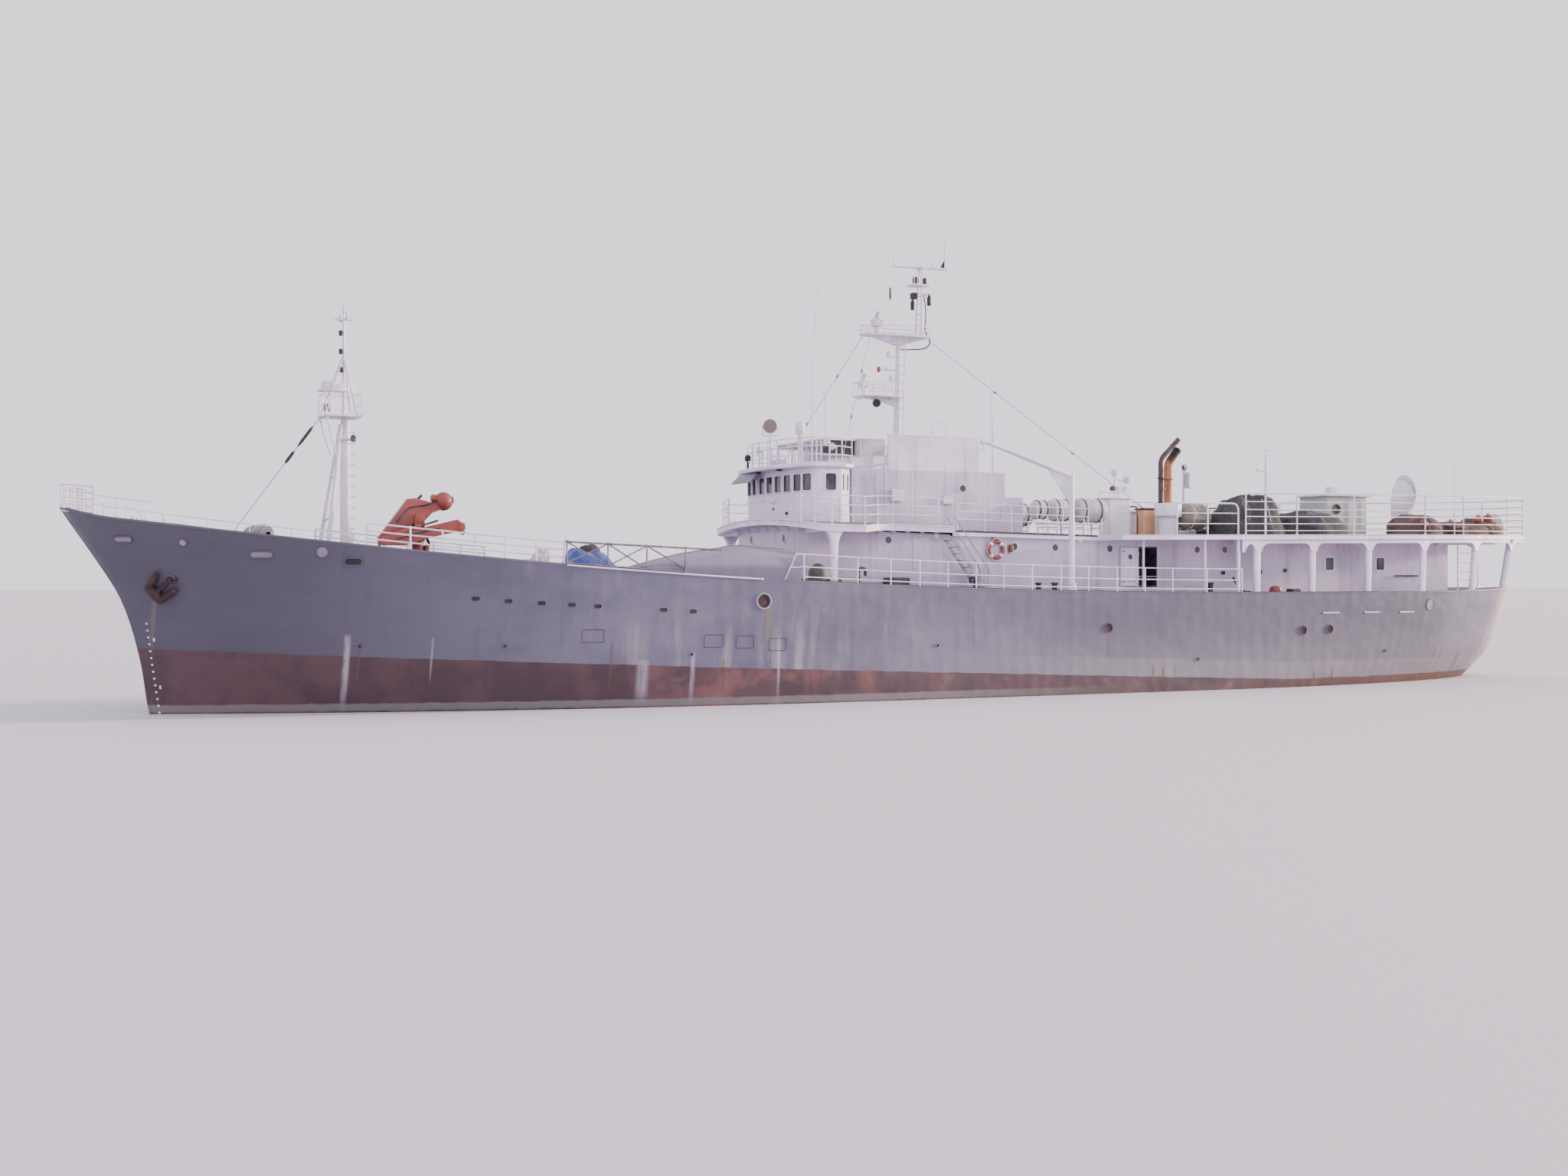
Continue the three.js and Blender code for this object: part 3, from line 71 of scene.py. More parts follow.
class Paint:
    """A material's nodes. Its positions are full-size metres."""

    def __init__(self, name, roughness=0.6, metallic=0.0, **fixed):
        self.material = bpy.data.materials.new(name)
        self.material.use_nodes = True
        self.tree = self.material.node_tree
        self.tree.nodes.clear()
        self.shader = self.tree.nodes.new("ShaderNodeBsdfPrincipled")
        self.shader.inputs["Roughness"].default_value = roughness
        self.shader.inputs["Metallic"].default_value = metallic
        for socket, value in fixed.items():
            self.shader.inputs[socket.replace("_", " ")].default_value = value
        output = self.tree.nodes.new("ShaderNodeOutputMaterial")
        self.tree.links.new(self.shader.outputs[0], output.inputs[0])
        place = self.tree.nodes.new("ShaderNodeTexCoord").outputs["Object"]
        self.place = self.vector("MULTIPLY", place, (1 / K, 1 / K, 1 / K))
        parts = self.tree.nodes.new("ShaderNodeSeparateXYZ")
        self.tree.links.new(self.place, parts.inputs[0])
        self.x, self.y, self.z = parts.outputs

    def feed(self, socket, value):
        if isinstance(value, bpy.types.NodeSocket):
            self.tree.links.new(value, socket)
        else:
            socket.default_value = value

    def vector(self, operation, first, second):
        node = self.tree.nodes.new("ShaderNodeVectorMath")
        node.operation = operation
        self.feed(node.inputs[0], first)
        self.feed(node.inputs[1], second)
        return node.outputs[0]

    def math(self, operation, first, second=0.0):
        node = self.tree.nodes.new("ShaderNodeMath")
        node.operation = operation
        self.feed(node.inputs[0], first)
        self.feed(node.inputs[1], second)
        return node.outputs[0]

    def ease(self, value, low, high, to_low=0.0, to_high=1.0):
        node = self.tree.nodes.new("ShaderNodeMapRange")
        node.interpolation_type = "SMOOTHSTEP"
        for socket, number in zip(node.inputs, (value, low, high, to_low, to_high)):
            self.feed(socket, number)
        return node.outputs[0]

    def mix(self, share, first, second):
        node = self.tree.nodes.new("ShaderNodeMix")
        node.data_type = "RGBA"
        self.feed(node.inputs[0], share)
        self.feed(node.inputs[6], first)
        self.feed(node.inputs[7], second)
        return node.outputs[2]

    def noise(self, scale, stretch=(1, 1, 1), detail=3.0, rough=0.55):
        node = self.tree.nodes.new("ShaderNodeTexNoise")
        self.feed(node.inputs["Vector"], self.vector("MULTIPLY", self.place, stretch))
        node.inputs["Scale"].default_value = scale
        node.inputs["Detail"].default_value = detail
        node.inputs["Roughness"].default_value = rough
        return node.outputs[0]

    def times(self, first, second):
        return self.math("MULTIPLY", first, second)

    def away(self, value, number):
        """How far a value is from a number."""
        return self.math("ABSOLUTE", self.math("SUBTRACT", value, number))

    def coats(self, skin, *layers):
        """Lays (share, colour) layers over a skin, one after the other."""
        for share, colour in layers:
            skin = self.mix(share, skin, colour)
        return skin

    def patches(self, scale, low, high, stretch=(1, 1, 1), detail=3.0):
        return self.ease(self.noise(scale, stretch, detail), low, high)

    def strands(self, scale, low, high):
        """1 on the edges between cells, as on a net's cords."""
        node = self.tree.nodes.new("ShaderNodeTexVoronoi")
        node.feature = "DISTANCE_TO_EDGE"
        node.inputs["Scale"].default_value = scale
        self.feed(node.inputs["Vector"], self.place)
        return self.ease(node.outputs["Distance"], low, high)

    def colour(self, value):
        self.feed(self.shader.inputs["Base Color"], value)
        return self

    def rough(self, value):
        self.feed(self.shader.inputs["Roughness"], value)
        return self

    def bump(self, height, distance, strength=1.0):
        node = self.tree.nodes.new("ShaderNodeBump")
        node.inputs["Distance"].default_value = distance * K
        node.inputs["Strength"].default_value = strength
        self.feed(node.inputs["Height"], height)
        self.feed(self.shader.inputs["Normal"], node.outputs[0])
        return self

    def sum(self, *terms):
        """Adds (socket, weight) pairs."""
        total = 0.0
        for socket, weight in terms:
            total = self.math("ADD", total, self.times(socket, weight))
        return total


RUST = srgb(112, 66, 44)
DARK_RUST = srgb(66, 42, 36)
GRIME = srgb(96, 88, 86)

# Marks that run down the hull plating: x, top, foot, half width, strength, and colour
STREAKS = [
    (28.0, 3.6, 1.9, 0.1, 0.5, "yellow"),
    (22.45, 2.5, 0.0, 0.14, 0.9, "white"), (22.08, 2.1, 0.7, 0.05, 0.7, "rust"),
    (19.9, 2.4, 0.9, 0.05, 0.5, "white"), (14.2, 2.2, 0.6, 0.07, 0.6, "rust"),
    (13.1, 1.6, 0.1, 0.3, 0.7, "white"), (11.4, 1.8, 0.0, 0.12, 0.7, "white"),
    (10.3, 1.6, 0.2, 0.1, 0.65, "rust"), (8.72, 3.3, 2.0, 0.13, 0.9, "yellow"),
    (8.3, 2.3, 0.0, 0.07, 0.85, "white"), (6.9, 1.3, 0.3, 0.2, 0.6, "red"),
    (4.9, 1.2, 0.2, 0.5, 0.5, "red"), (0.6, 3.2, 1.4, 0.06, 0.4, "rust"),
    (-5.26, 2.3, 1.2, 0.09, 0.5, "rust"), (-14.57, 2.1, 1.3, 0.08, 0.5, "rust"),
    (-7.3, 1.0, 0.3, 0.06, 0.9, "rust"), (-7.75, 0.95, 0.3, 0.07, 0.9, "rust"),
    (-8.3, 1.0, 0.35, 0.05, 0.8, "rust"),
    (-15.3, 0.6, 0.05, 0.12, 0.8, "rust"), (-16.3, 0.65, 0.05, 0.1, 0.8, "rust"),
    (-18.6, 0.7, 0.05, 0.08, 0.8, "rust"), (-20.2, 2.8, 1.7, 0.09, 0.4, "rust"),
    (-22.6, 1.5, 0.2, 0.07, 0.7, "rust"), (-24.6, 1.2, 0.2, 0.2, 0.6, "rust"),
]
STREAK_COLOURS = {
    "rust": srgb(96, 66, 54), "white": srgb(168, 162, 174), "yellow": srgb(122, 112, 76),
    "red": srgb(132, 82, 76),
}


FRAME_STEP = 0.61  # between the hull's frames, that show as a ripple in the plating


def hull_paint():
    paint = Paint("hull_paint", 0.55)
    ease, times, patches, x, z = paint.ease, paint.times, paint.patches, paint.x, paint.z
    fine = paint.noise(1.7, (1.3, 1, 0.5), 5, 0.65)
    chalk_and_painted_light = times(patches(1.0, 0.5, 0.74, (1.9, 1, 0.22), 4), ease(z, 4.6, 1.4))
    chalk_and_painted_light = times(chalk_and_painted_light, ease(paint.away(x, 9.0), 9.0, 3.0))
    aft_share = ease(x, 4.0, -8.0)
    topside = paint.coats(
        paint.mix(ease(paint.noise(0.16, (1, 1, 2.2), 4), 0.36, 0.64), srgb(94, 91, 112),
                  srgb(113, 109, 128)),
        (times(ease(fine, 0.5, 0.72), 0.3), srgb(132, 126, 142)),
        (times(patches(1.0, 0.55, 0.78, (2.6, 1, 0.14)), 0.4), srgb(82, 78, 92)),
        (times(chalk_and_painted_light, 0.8), srgb(158, 146, 150)),
        # Darker towards the bow: painted shade, where the flare faces down
        (ease(x, 12.0, 26.0, 0.0, 0.8), srgb(62, 60, 71)),
        # Darker aft of the house front up to the quarter: painted shade
        (times(ease(x, 1.0, -9.0, 0.0, 0.7), ease(x, -24.5, -21.5)), srgb(76, 74, 92)),
        # Warm pale wash on the stern quarter: painted highlight of the low sun
        (ease(x, -26.0, -29.2, 0.0, 0.85), srgb(222, 202, 188)),
        # Paler along the top of the side screen: painted highlight where it turns up to the sky
        (times(times(ease(z, 4.55, 4.85), ease(x, 13.9, 12.4)), 0.6), srgb(144, 130, 150)),
        (times(ease(z, 3.0, 0.6, 0.0, 0.38), aft_share), srgb(140, 136, 142)),
        (times(patches(9.0, 0.7, 0.76, (1, 1, 0.7)), 0.35), srgb(84, 68, 66)))
    boot = paint.coats(
        paint.mix(ease(paint.noise(0.7, (1, 1, 0.8), 5), 0.38, 0.62), srgb(66, 47, 54), srgb(82, 58, 64)),
        (times(patches(0.9, 0.56, 0.7, (0.9, 1, 1.6), 5), ease(x, 17.0, 10.0, 0.05, 0.4)), srgb(120, 92, 98)),
        (times(ease(paint.away(x, 9.5), 5.5, 1.0, 0.0, 0.55), patches(0.8, 0.42, 0.66)), srgb(136, 88, 88)),
        (ease(x, -9.0, -26.0, 0.0, 0.8), srgb(100, 68, 52)))
    curve = paint.sum((x, 0.0395), (times(x, x), 0.0001))
    line = paint.math("MAXIMUM", paint.math("ADD", curve, 0.87), 0.33)
    wobble = times(paint.math("SUBTRACT", paint.noise(1.3), 0.5), 0.09)
    height = paint.math("SUBTRACT", paint.math("ADD", z, wobble), line)
    repaint = times(times(ease(height, 0.75, 0.6), aft_share), 0.3)
    topside = paint.mix(repaint, topside, srgb(146, 142, 142))
    weed = paint.math("ADD", z, times(paint.noise(2.4, (1, 1, 0.3), 4), 0.1))
    scum = times(times(ease(weed, 0.36, 0.3), ease(weed, 0.06, 0.13)), ease(x, -7.0, 3.0, 0.0, 0.85))
    below = ease(z, -0.02, -0.25)
    slime = times(times(patches(0.8, 0.45, 0.7, (1, 1, 0.6), 5), below), 0.5)
    skin = paint.coats(
        paint.mix(ease(height, -0.015, 0.02), boot, topside),
        (scum, srgb(116, 110, 110)), (times(below, 0.85), srgb(94, 52, 50)), (slime, srgb(92, 88, 70)))
    ragged = paint.noise(3.2, (2.0, 1, 0.25), 4)
    for middle, top, foot, half, strength, name in STREAKS:
        across = ease(paint.away(x, middle), half, half * 0.15)
        down = times(ease(z, top + 0.05, top - 0.1), ease(z, foot - 0.15, foot + (top - foot) * 0.5))
        share = times(times(across, down), ease(ragged, 0.3, 0.6, 0.25, strength))
        skin = paint.mix(share, skin, STREAK_COLOURS[name])
    frames = paint.math("COSINE", times(x, 2 * math.pi / FRAME_STEP))
    dents = paint.noise(0.55, (1, 1, 1.4), 2)
    ripple = times(frames, ease(dents, 0.35, 0.7, 0.15, 1.0))
    paint.colour(skin)
    paint.rough(ease(fine, 0.3, 0.7, 0.42, 0.66))
    paint.bump(paint.sum((ripple, 0.05), (dents, 1.1), (fine, 0.12)), 0.05)
    return paint.material


def worn_paint(name, light, dark, rust, roughness, edge=RUST):
    """House and fitting paint: grime, runs of rust, and small chips."""
    paint = Paint(name, roughness)
    chips = paint.times(paint.patches(6.5, 0.7, 0.77, detail=5), min(1.0, rust * 1.1))
    paint.colour(paint.coats(
        paint.mix(paint.ease(paint.noise(0.55, detail=5), 0.35, 0.66), dark, light),
        (paint.times(paint.patches(1.1, 0.52, 0.8, (3.0, 3.0, 0.16), 4), 0.35), GRIME),
        (paint.times(paint.patches(1.5, 0.63, 0.76, (5.5, 5.5, 0.35), 4), rust), edge),
        (chips, DARK_RUST)))
    paint.rough(paint.ease(paint.noise(2.2), 0.3, 0.7, roughness - 0.1, roughness + 0.15))
    fine = paint.noise(14, detail=4)
    paint.bump(paint.sum((fine, 0.12), (paint.noise(1.6, detail=2), 0.7), (chips, -0.25)), 0.02)
    return paint.material


def steel_paint(name, light, dark, rust=0.4, metallic=0.4):
    paint = Paint(name, 0.5, metallic)
    skin = paint.mix(paint.patches(3.5, 0.35, 0.65, detail=5), dark, light)
    spots = paint.times(paint.patches(5.0, 0.55, 0.68, (1, 1, 0.6), 5), rust)
    paint.colour(paint.mix(spots, skin, RUST))
    paint.rough(paint.ease(paint.noise(6), 0.3, 0.7, 0.42, 0.72))
    paint.bump(paint.noise(30, detail=4), 0.008)
    return paint.material


def rusty_steel():
    paint = Paint("rusty_steel", 0.85, 0.15)
    skin = paint.mix(paint.patches(3.0, 0.35, 0.65, detail=6), srgb(50, 36, 40), srgb(74, 50, 52))
    paint.colour(paint.mix(paint.patches(8, 0.6, 0.7), skin, srgb(98, 66, 54)))
    paint.bump(paint.sum((paint.noise(22, detail=5), 1.0), (paint.noise(5), 1.0)), 0.012)
    return paint.material


def deck_paint():
    paint = Paint("deck_paint", 0.75)
    skin = paint.mix(paint.patches(0.5, 0.36, 0.62, detail=5), srgb(96, 98, 96), srgb(128, 126, 124))
    skin = paint.mix(paint.times(paint.patches(0.9, 0.55, 0.7, detail=5), 0.6), skin, srgb(110, 78, 62))
    paint.colour(skin)
    paint.bump(paint.sum((paint.noise(40, detail=3), 0.4), (paint.noise(1.2), 1.0)), 0.015)
    return paint.material


def cloth_paint(name, light, dark, weave=70.0, wear=0.3, roughness=0.8, sheen=0.2):
    paint = Paint(name, roughness, Sheen_Weight=sheen)
    skin = paint.mix(paint.patches(1.4, 0.34, 0.66, detail=5), dark, light)
    dust = paint.times(paint.patches(3.2, 0.55, 0.7, detail=5), wear)
    paint.colour(paint.mix(dust, skin, srgb(150, 144, 150)))
    threads = paint.times(paint.math("SINE", paint.times(paint.x, weave)),
                         paint.math("SINE", paint.times(paint.math("ADD", paint.y, paint.z), weave)))
    paint.bump(paint.sum((threads, 0.05), (paint.noise(4, detail=4), 1.0)), 0.03)
    return paint.material


def net_paint(name, light, dark, cord):
    paint = Paint(name, 0.9)
    strands = paint.strands(26.0, 0.16, 0.04)
    skin = paint.mix(paint.patches(1.3, 0.35, 0.65, detail=5), dark, light)
    skin = paint.mix(paint.times(strands, 0.5), skin, cord)
    paint.colour(skin)
    paint.bump(paint.sum((strands, 1.0), (paint.noise(7, detail=5), 1.4)), 0.05)
    return paint.material


def glass_paint():
    paint = Paint("dark_glass", 0.06, 0.0, IOR=1.5)
    paint.colour(paint.mix(paint.patches(1.5, 0.4, 0.6), srgb(44, 44, 50), srgb(74, 72, 78)))
    paint.rough(paint.ease(paint.noise(5), 0.3, 0.7, 0.04, 0.16))
    return paint.material


def exhaust_paint():
    paint = Paint("exhaust_paint", 0.8, 0.2)
    rusty = paint.mix(paint.patches(2.5, 0.35, 0.65, (2, 2, 0.5), 5), srgb(148, 96, 66), srgb(186, 132, 92))
    soot = paint.ease(paint.math("ADD", paint.z, paint.noise(2.5, detail=4)), 9.2, 9.85)
    paint.colour(paint.mix(soot, rusty, srgb(34, 30, 32)))
    paint.bump(paint.noise(18, detail=5), 0.01)
    return paint.material


def bronze_paint():
    paint = Paint("bronze", 0.35, 0.9)
    skin = paint.mix(paint.patches(4, 0.4, 0.6), srgb(134, 102, 58), srgb(176, 142, 88))
    paint.colour(paint.mix(paint.patches(7, 0.55, 0.65), skin, srgb(92, 112, 92)))
    paint.bump(paint.noise(25), 0.006)
    return paint.material


def plain_paint(name, colour, roughness=0.9):
    """Floor paint: a plain pale tone, with only a faint change of roughness."""
    paint = Paint(name, roughness)
    paint.colour(colour)
    paint.rough(paint.ease(paint.noise(0.4), 0.3, 0.7, roughness - 0.05, roughness))
    return paint.material


HULL = hull_paint()
WHITE = worn_paint("white_paint", srgb(230, 219, 240), srgb(208, 197, 221), 0.36, 0.5)
# Greyer white for the deckhouse: partly greyer paint, partly painted shade from the upper deck above
HOUSE_GREY_AND_SHADE = worn_paint("house_grey_and_painted_shade", srgb(203, 191, 211), srgb(180, 169, 190), 0.4, 0.5)
PLAIN_WHITE = worn_paint("fitting_paint", srgb(226, 220, 232), srgb(206, 199, 214), 0.16, 0.45)
CREAM = worn_paint("canister_paint", srgb(206, 200, 202), srgb(176, 170, 178), 0.25, 0.4)
RED = worn_paint("crane_paint", srgb(158, 70, 58), srgb(126, 56, 54), 0.3, 0.45, edge=srgb(80, 42, 40))
YELLOW = worn_paint("yellow_paint", srgb(208, 166, 122), srgb(182, 140, 102), 0.4, 0.5)
GREEN = worn_paint("drum_green", srgb(74, 84, 74), srgb(54, 62, 58), 0.3, 0.6)
HUT = worn_paint("hut_paint", srgb(190, 188, 190), srgb(158, 166, 158), 0.3, 0.55)
LAMP_FACE = worn_paint("lamp_face", srgb(136, 124, 112), srgb(112, 100, 92), 0.05, 0.35)
# Chalky grey; the fairleads' and eyes' pale panes take it as painted light seen through, and the wheelhouse
# visor as painted shade
CHALK_LIGHT_AND_SHADE = worn_paint("chalky_paint_light_and_shade", srgb(150, 144, 156), srgb(118, 114, 128), 0.2, 0.7)
# Galvanised grey; the side stair takes it as painted shade
GALVANISED_AND_SHADE = steel_paint("galvanised_and_painted_shade", srgb(168, 164, 176), srgb(130, 127, 140))
WORN_STEEL = steel_paint("worn_steel", srgb(136, 126, 140), srgb(102, 94, 108), 0.4)
# Dark steel; the doorway lining and the dark bars along the deck edges take it as painted shade
DARK_STEEL_AND_SHADE = steel_paint("dark_steel_and_painted_shade", srgb(78, 74, 82), srgb(48, 46, 54), 0.5)
RUSTY = rusty_steel()
DECK = deck_paint()
BLUE_COVER = cloth_paint("blue_cover", srgb(46, 74, 158), srgb(30, 50, 118), 60, 0.12, 0.55)
CANVAS = cloth_paint("canvas", srgb(206, 196, 198), srgb(172, 162, 170), 90)
GREEN_COVER = cloth_paint("green_cover", srgb(128, 124, 108), srgb(98, 98, 88), 80)
NET = net_paint("net_dark", srgb(88, 84, 92), srgb(52, 52, 56), srgb(112, 112, 108))
BROWN_NET = net_paint("net_brown", srgb(132, 98, 96), srgb(76, 58, 64), srgb(146, 118, 110))
GLASS = glass_paint()
# Black fittings; the panes in the hull's openings and the hawse pipe take it as painted shade
BLACK_AND_HOLE_SHADE = steel_paint("black_fittings_and_painted_shade", srgb(44, 42, 46), srgb(28, 27, 31), 0.15, 0.1)
ORANGE = worn_paint("buoy_orange", srgb(150, 74, 66), srgb(116, 58, 58), 0.1, 0.5, edge=srgb(84, 46, 44))
EXHAUST = exhaust_paint()
SOOTY = steel_paint("sooty_pipe", srgb(82, 62, 68), srgb(48, 40, 48), 0.4, 0.2)
BRONZE = bronze_paint()


# Geometry helpers
UP = (0, 0, 1)


def vec(*values):
    return Vector(values)


def turns(count, offset=0):
    """Angles of count equal steps round a circle."""
    return [2 * math.pi * (k + offset) / count for k in range(count)]


def spread(start, end, count):
    """Numbers from start to end in count equal steps."""
    return [start + (end - start) * i / count for i in range(count + 1)]


def other_side(points):
    """The points on the other side of the ship, the last one first."""
    return [vec(p.x, -p.y, p.z) for p in reversed(points)]


def square_to(axis):
    """An axis of length 1 and two more that are square to it."""
    axis = Vector(axis).normalized()
    side = axis.orthogonal().normalized()
    return axis, side, axis.cross(side)


def fillet(path, radius, steps=4):
    """The path with its corners rounded."""
    path = [Vector(p) for p in path]
    made = [path[0]]
    for before, corner, after in zip(path, path[1:], path[2:]):
        into = before - corner
        out = after - corner
        reach = min(radius, into.length * 0.45, out.length * 0.45)
        start = corner + into.normalized() * reach
        end = corner + out.normalized() * reach
        for i in range(steps + 1):
            t = i / steps
            made.append(start * (1 - t) ** 2 + corner * (2 * t * (1 - t)) + end * t * t)
    made.append(path[-1])
    return made


def contour(wide, high, corner, steps=4):
    """A rectangle with round corners, as (a, b) points about its middle."""
    corner = min(corner, wide / 2, high / 2)
    points = []
    for quarter, (sa, sb) in enumerate([(1, 1), (-1, 1), (-1, -1), (1, -1)]):
        ca = sa * (wide / 2 - corner)
        cb = sb * (high / 2 - corner)
        for i in range(steps + 1):
            angle = math.pi / 2 * (quarter + i / steps)
            points.append((ca + corner * math.cos(angle), cb + corner * math.sin(angle)))
    return points


class Shape:
    """Faces gathered in full-size metres; skin is the number of the material that the next ones take."""

    def __init__(self):
        self.points = []
        self.faces = []
        self.skins = []
        self.skin = 0

    def put(self, points, faces):
        base = len(self.points)
        self.points += [Vector(p) for p in points]
        self.faces += [[base + i for i in face] for face in faces]
        self.skins += [self.skin] * len(faces)

    def grid(self, rows, wrap=False):
        wide = len(rows[0])
        faces = []
        for r in range(len(rows) - 1):
            for c in range(wide if wrap else wide - 1):
                d = (c + 1) % wide
                faces.append((r * wide + c, r * wide + d, (r + 1) * wide + d, (r + 1) * wide + c))
        self.put([p for row in rows for p in row], faces)

    def loft(self, rings, loop=False):
        """A closed body over rings; loop joins the last ring to the first."""
        if loop:
            self.grid([*rings, rings[0]], wrap=True)
            return
        self.grid(rings, wrap=True)
        self.put(rings[0], [range(len(rings[0]))])
        self.put(rings[-1], [range(len(rings[-1]))])

    def tube(self, path, radius, sides=8, loop=False):
        path = [Vector(p) for p in path]
        count = len(path)
        radii = radius if isinstance(radius, (list, tuple)) else [radius] * count
        rings = []
        side = None
        for i, point in enumerate(path):
            before = point - path[i - 1] if i or loop else path[1] - point
            after = path[(i + 1) % count] - point if i < count - 1 or loop else before
            ahead = (before.normalized() + after.normalized()).normalized()
            side = ahead.orthogonal() if side is None else side - ahead * side.dot(ahead)
            side.normalize()
            up = ahead.cross(side)
            rings.append([point + (side * math.cos(a) + up * math.sin(a)) * radii[i]
                          for a in turns(sides, 0.5)])
        self.loft(rings, loop)

    def lathe(self, origin, axis, profile, sides=20):
        """Turns (radius, height) pairs about an axis."""
        origin = Vector(origin)
        axis, side, up = square_to(axis)
        self.loft([[origin + axis * high + (side * math.cos(a) + up * math.sin(a)) * r for a in turns(sides)]
                   for r, high in profile])

    def cylinder(self, start, end, radius, sides=18, edge=0.012):
        start = Vector(start)
        axis = Vector(end) - start
        long = axis.length
        edge = min(edge, long / 3, radius / 2)
        inner = radius - edge
        self.lathe(start, axis, [(inner, 0), (radius, edge), (radius, long - edge), (inner, long)], sides)

    def ball(self, centre, radius, scale=(1, 1, 1), sides=16, rows=9):
        rings = []
        for share in spread(0.02, 0.98, rows):
            flat = radius * math.sin(math.pi * share)
            high = radius * scale[2] * math.cos(math.pi * share)
            wide, deep = flat * scale[0], flat * scale[1]
            rings.append([Vector(centre) + vec(wide * math.cos(a), deep * math.sin(a), high)
                          for a in turns(sides)])
        self.loft(rings)

    def ring(self, centre, axis, radius, thick, sides=24, around=8):
        _, side, up = square_to(axis)
        path = [Vector(centre) + (side * math.cos(a) + up * math.sin(a)) * radius for a in turns(sides)]
        self.tube(path, thick, around, loop=True)

    def box(self, x0, x1, y0, y1, z0, z1, edge=0.02):
        low = (x0, y0, z0)
        high = (x1, y1, z1)
        edge = min(edge, *((b - a) / 3 for a, b in zip(low, high)))
        index = {}
        points = []
        signs = [(a, b, c) for a in (0, 1) for b in (0, 1) for c in (0, 1)]
        for corner in signs:
            for axis in range(3):
                index[corner, axis] = len(points)
                points.append([(high if s else low)[i] - (0 if i == axis else edge * (1 if s else -1))
                               for i, s in enumerate(corner)])
        faces = [[index[corner, axis] for axis in range(3)] for corner in signs]
        for axis in range(3):
            first, second = [i for i in range(3) if i != axis]
            for s in (0, 1):
                loop = []
                for a, b in ((0, 0), (1, 0), (1, 1), (0, 1)):
                    corner = [0, 0, 0]
                    corner[axis], corner[first], corner[second] = s, a, b
                    loop.append(index[tuple(corner), axis])
                faces.append(loop)
            for a in (0, 1):
                for b in (0, 1):
                    ends = []
                    for s in (0, 1):
                        corner = [0, 0, 0]
                        corner[axis], corner[first], corner[second] = s, a, b
                        ends.append(tuple(corner))
                    faces.append([index[ends[0], first], index[ends[1], first],
                                  index[ends[1], second], index[ends[0], second]])
        self.put(points, faces)

    def prism(self, outline, lift):
        """A flat outline of points, pushed along lift."""
        outline = [Vector(p) for p in outline]
        self.loft([outline, [p + Vector(lift) for p in outline]])

    def band(self, place, wide, high, corner, width, proud, deep=0.03, steps=4):
        """A raised frame round an opening, on the plane of a matrix."""
        rings = []
        for out, level in ((0, -deep), (0, proud * 0.75), (width * 0.2, proud), (width * 0.8, proud),
                           (width, proud * 0.7), (width, -deep)):
            rings.append([place @ vec(a, b, level)
                          for a, b in contour(wide + 2 * out, high + 2 * out, corner + out, steps)])
        self.loft(rings, loop=True)

    def pane(self, place, wide, high, corner, level, steps=4):
        flat = contour(wide, high, corner, steps)
        self.loft([[place @ vec(a, b, c) for a, b in flat] for c in (level - 0.01, level)])

    def mark(self):
        return len(self.points), len(self.faces)

    def mirror(self, since=(0, 0)):
        """Repeats what was made since a mark on the other side of the ship."""
        first_point, first_face = since
        shift = len(self.points) - first_point
        self.points += [vec(p.x, -p.y, p.z) for p in self.points[first_point:]]
        self.skins += self.skins[first_face:]
        self.faces += [[i + shift for i in reversed(face)] for face in self.faces[first_face:]]

    def make(self, name, materials, body="ship", replaces=(), sharp=38, smooth=0):
        mesh = bpy.data.meshes.new(name)
        mesh.from_pydata([p * K for p in self.points], [], self.faces)
        mesh.polygons.foreach_set("material_index", self.skins)
        work = bmesh.new()
        work.from_mesh(mesh)
        bmesh.ops.remove_doubles(work, verts=work.verts, dist=2e-5)
        bmesh.ops.recalc_face_normals(work, faces=work.faces)
        work.to_mesh(mesh)
        work.free()
        for material in materials:
            mesh.materials.append(material)
        mesh.shade_smooth()
        mesh.set_sharp_from_angle(angle=math.radians(sharp))
        piece = bpy.data.objects.new(name, mesh)
        bpy.context.scene.collection.objects.link(piece)
        if smooth:
            soften = piece.modifiers.new("smooth", "SUBSURF")
            soften.levels = smooth
            soften.render_levels = smooth
        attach(piece, body)
        if replaces:
            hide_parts(*replaces)
        return piece

    def make_pair(self, name, ending, materials):
        """Makes the port piece, and its mirror image for the starboard side."""
        for side in ("port", "starboard"):
            node = f"{name}_{side}"
            self.make(node + ending, materials, replaces=(node,))
            self.points = [vec(p.x, -p.y, p.z) for p in self.points]


# Hull form, the same table as the solid model's. Columns: level (-1 keel, 0 water, 1 sheer), fore end,
# aft end, half breadth, and for the entry and the run: start, power, root
LEVELS = [
    (-1.0, 24.2, -24.9, 2.5, (4, 1.6, 1.4), (-4, 1.6, 1.6)),
    (-0.9, 25.3, -24.9, 3.65, (4, 1.7, 1.3), (-4, 1.7, 1.5)),
    (-0.72, 26.2, -24.9, 4.3, (4, 1.8, 1.2), (-4, 1.8, 1.35)),
    (-0.5, 27.0, -24.95, 4.53, (3.5, 2.0, 1.1), (-5, 2.0, 1.15)),
    (-0.25, 27.55, -26.7, 4.59, (3, 2.1, 1.05), (-6, 2.2, 0.9)),
    (0.0, 28.03, -27.7, 4.6, (3, 2.2, 1.0), (-8, 2.4, 0.72)),
    (0.3, 28.33, -28.93, 4.6, (4, 2.4, 0.85), (-11, 2.4, 0.62)),
    (0.6, 28.88, -29.32, 4.6, (5, 2.6, 0.72), (-14, 2.3, 0.55)),
    (0.82, 29.74, -29.49, 4.6, (5.5, 2.8, 0.62), (-16, 2.2, 0.51)),
    (1.0, 30.66, -29.75, 4.6, (6, 3.0, 0.55), (-17, 2.2, 0.5)),
]
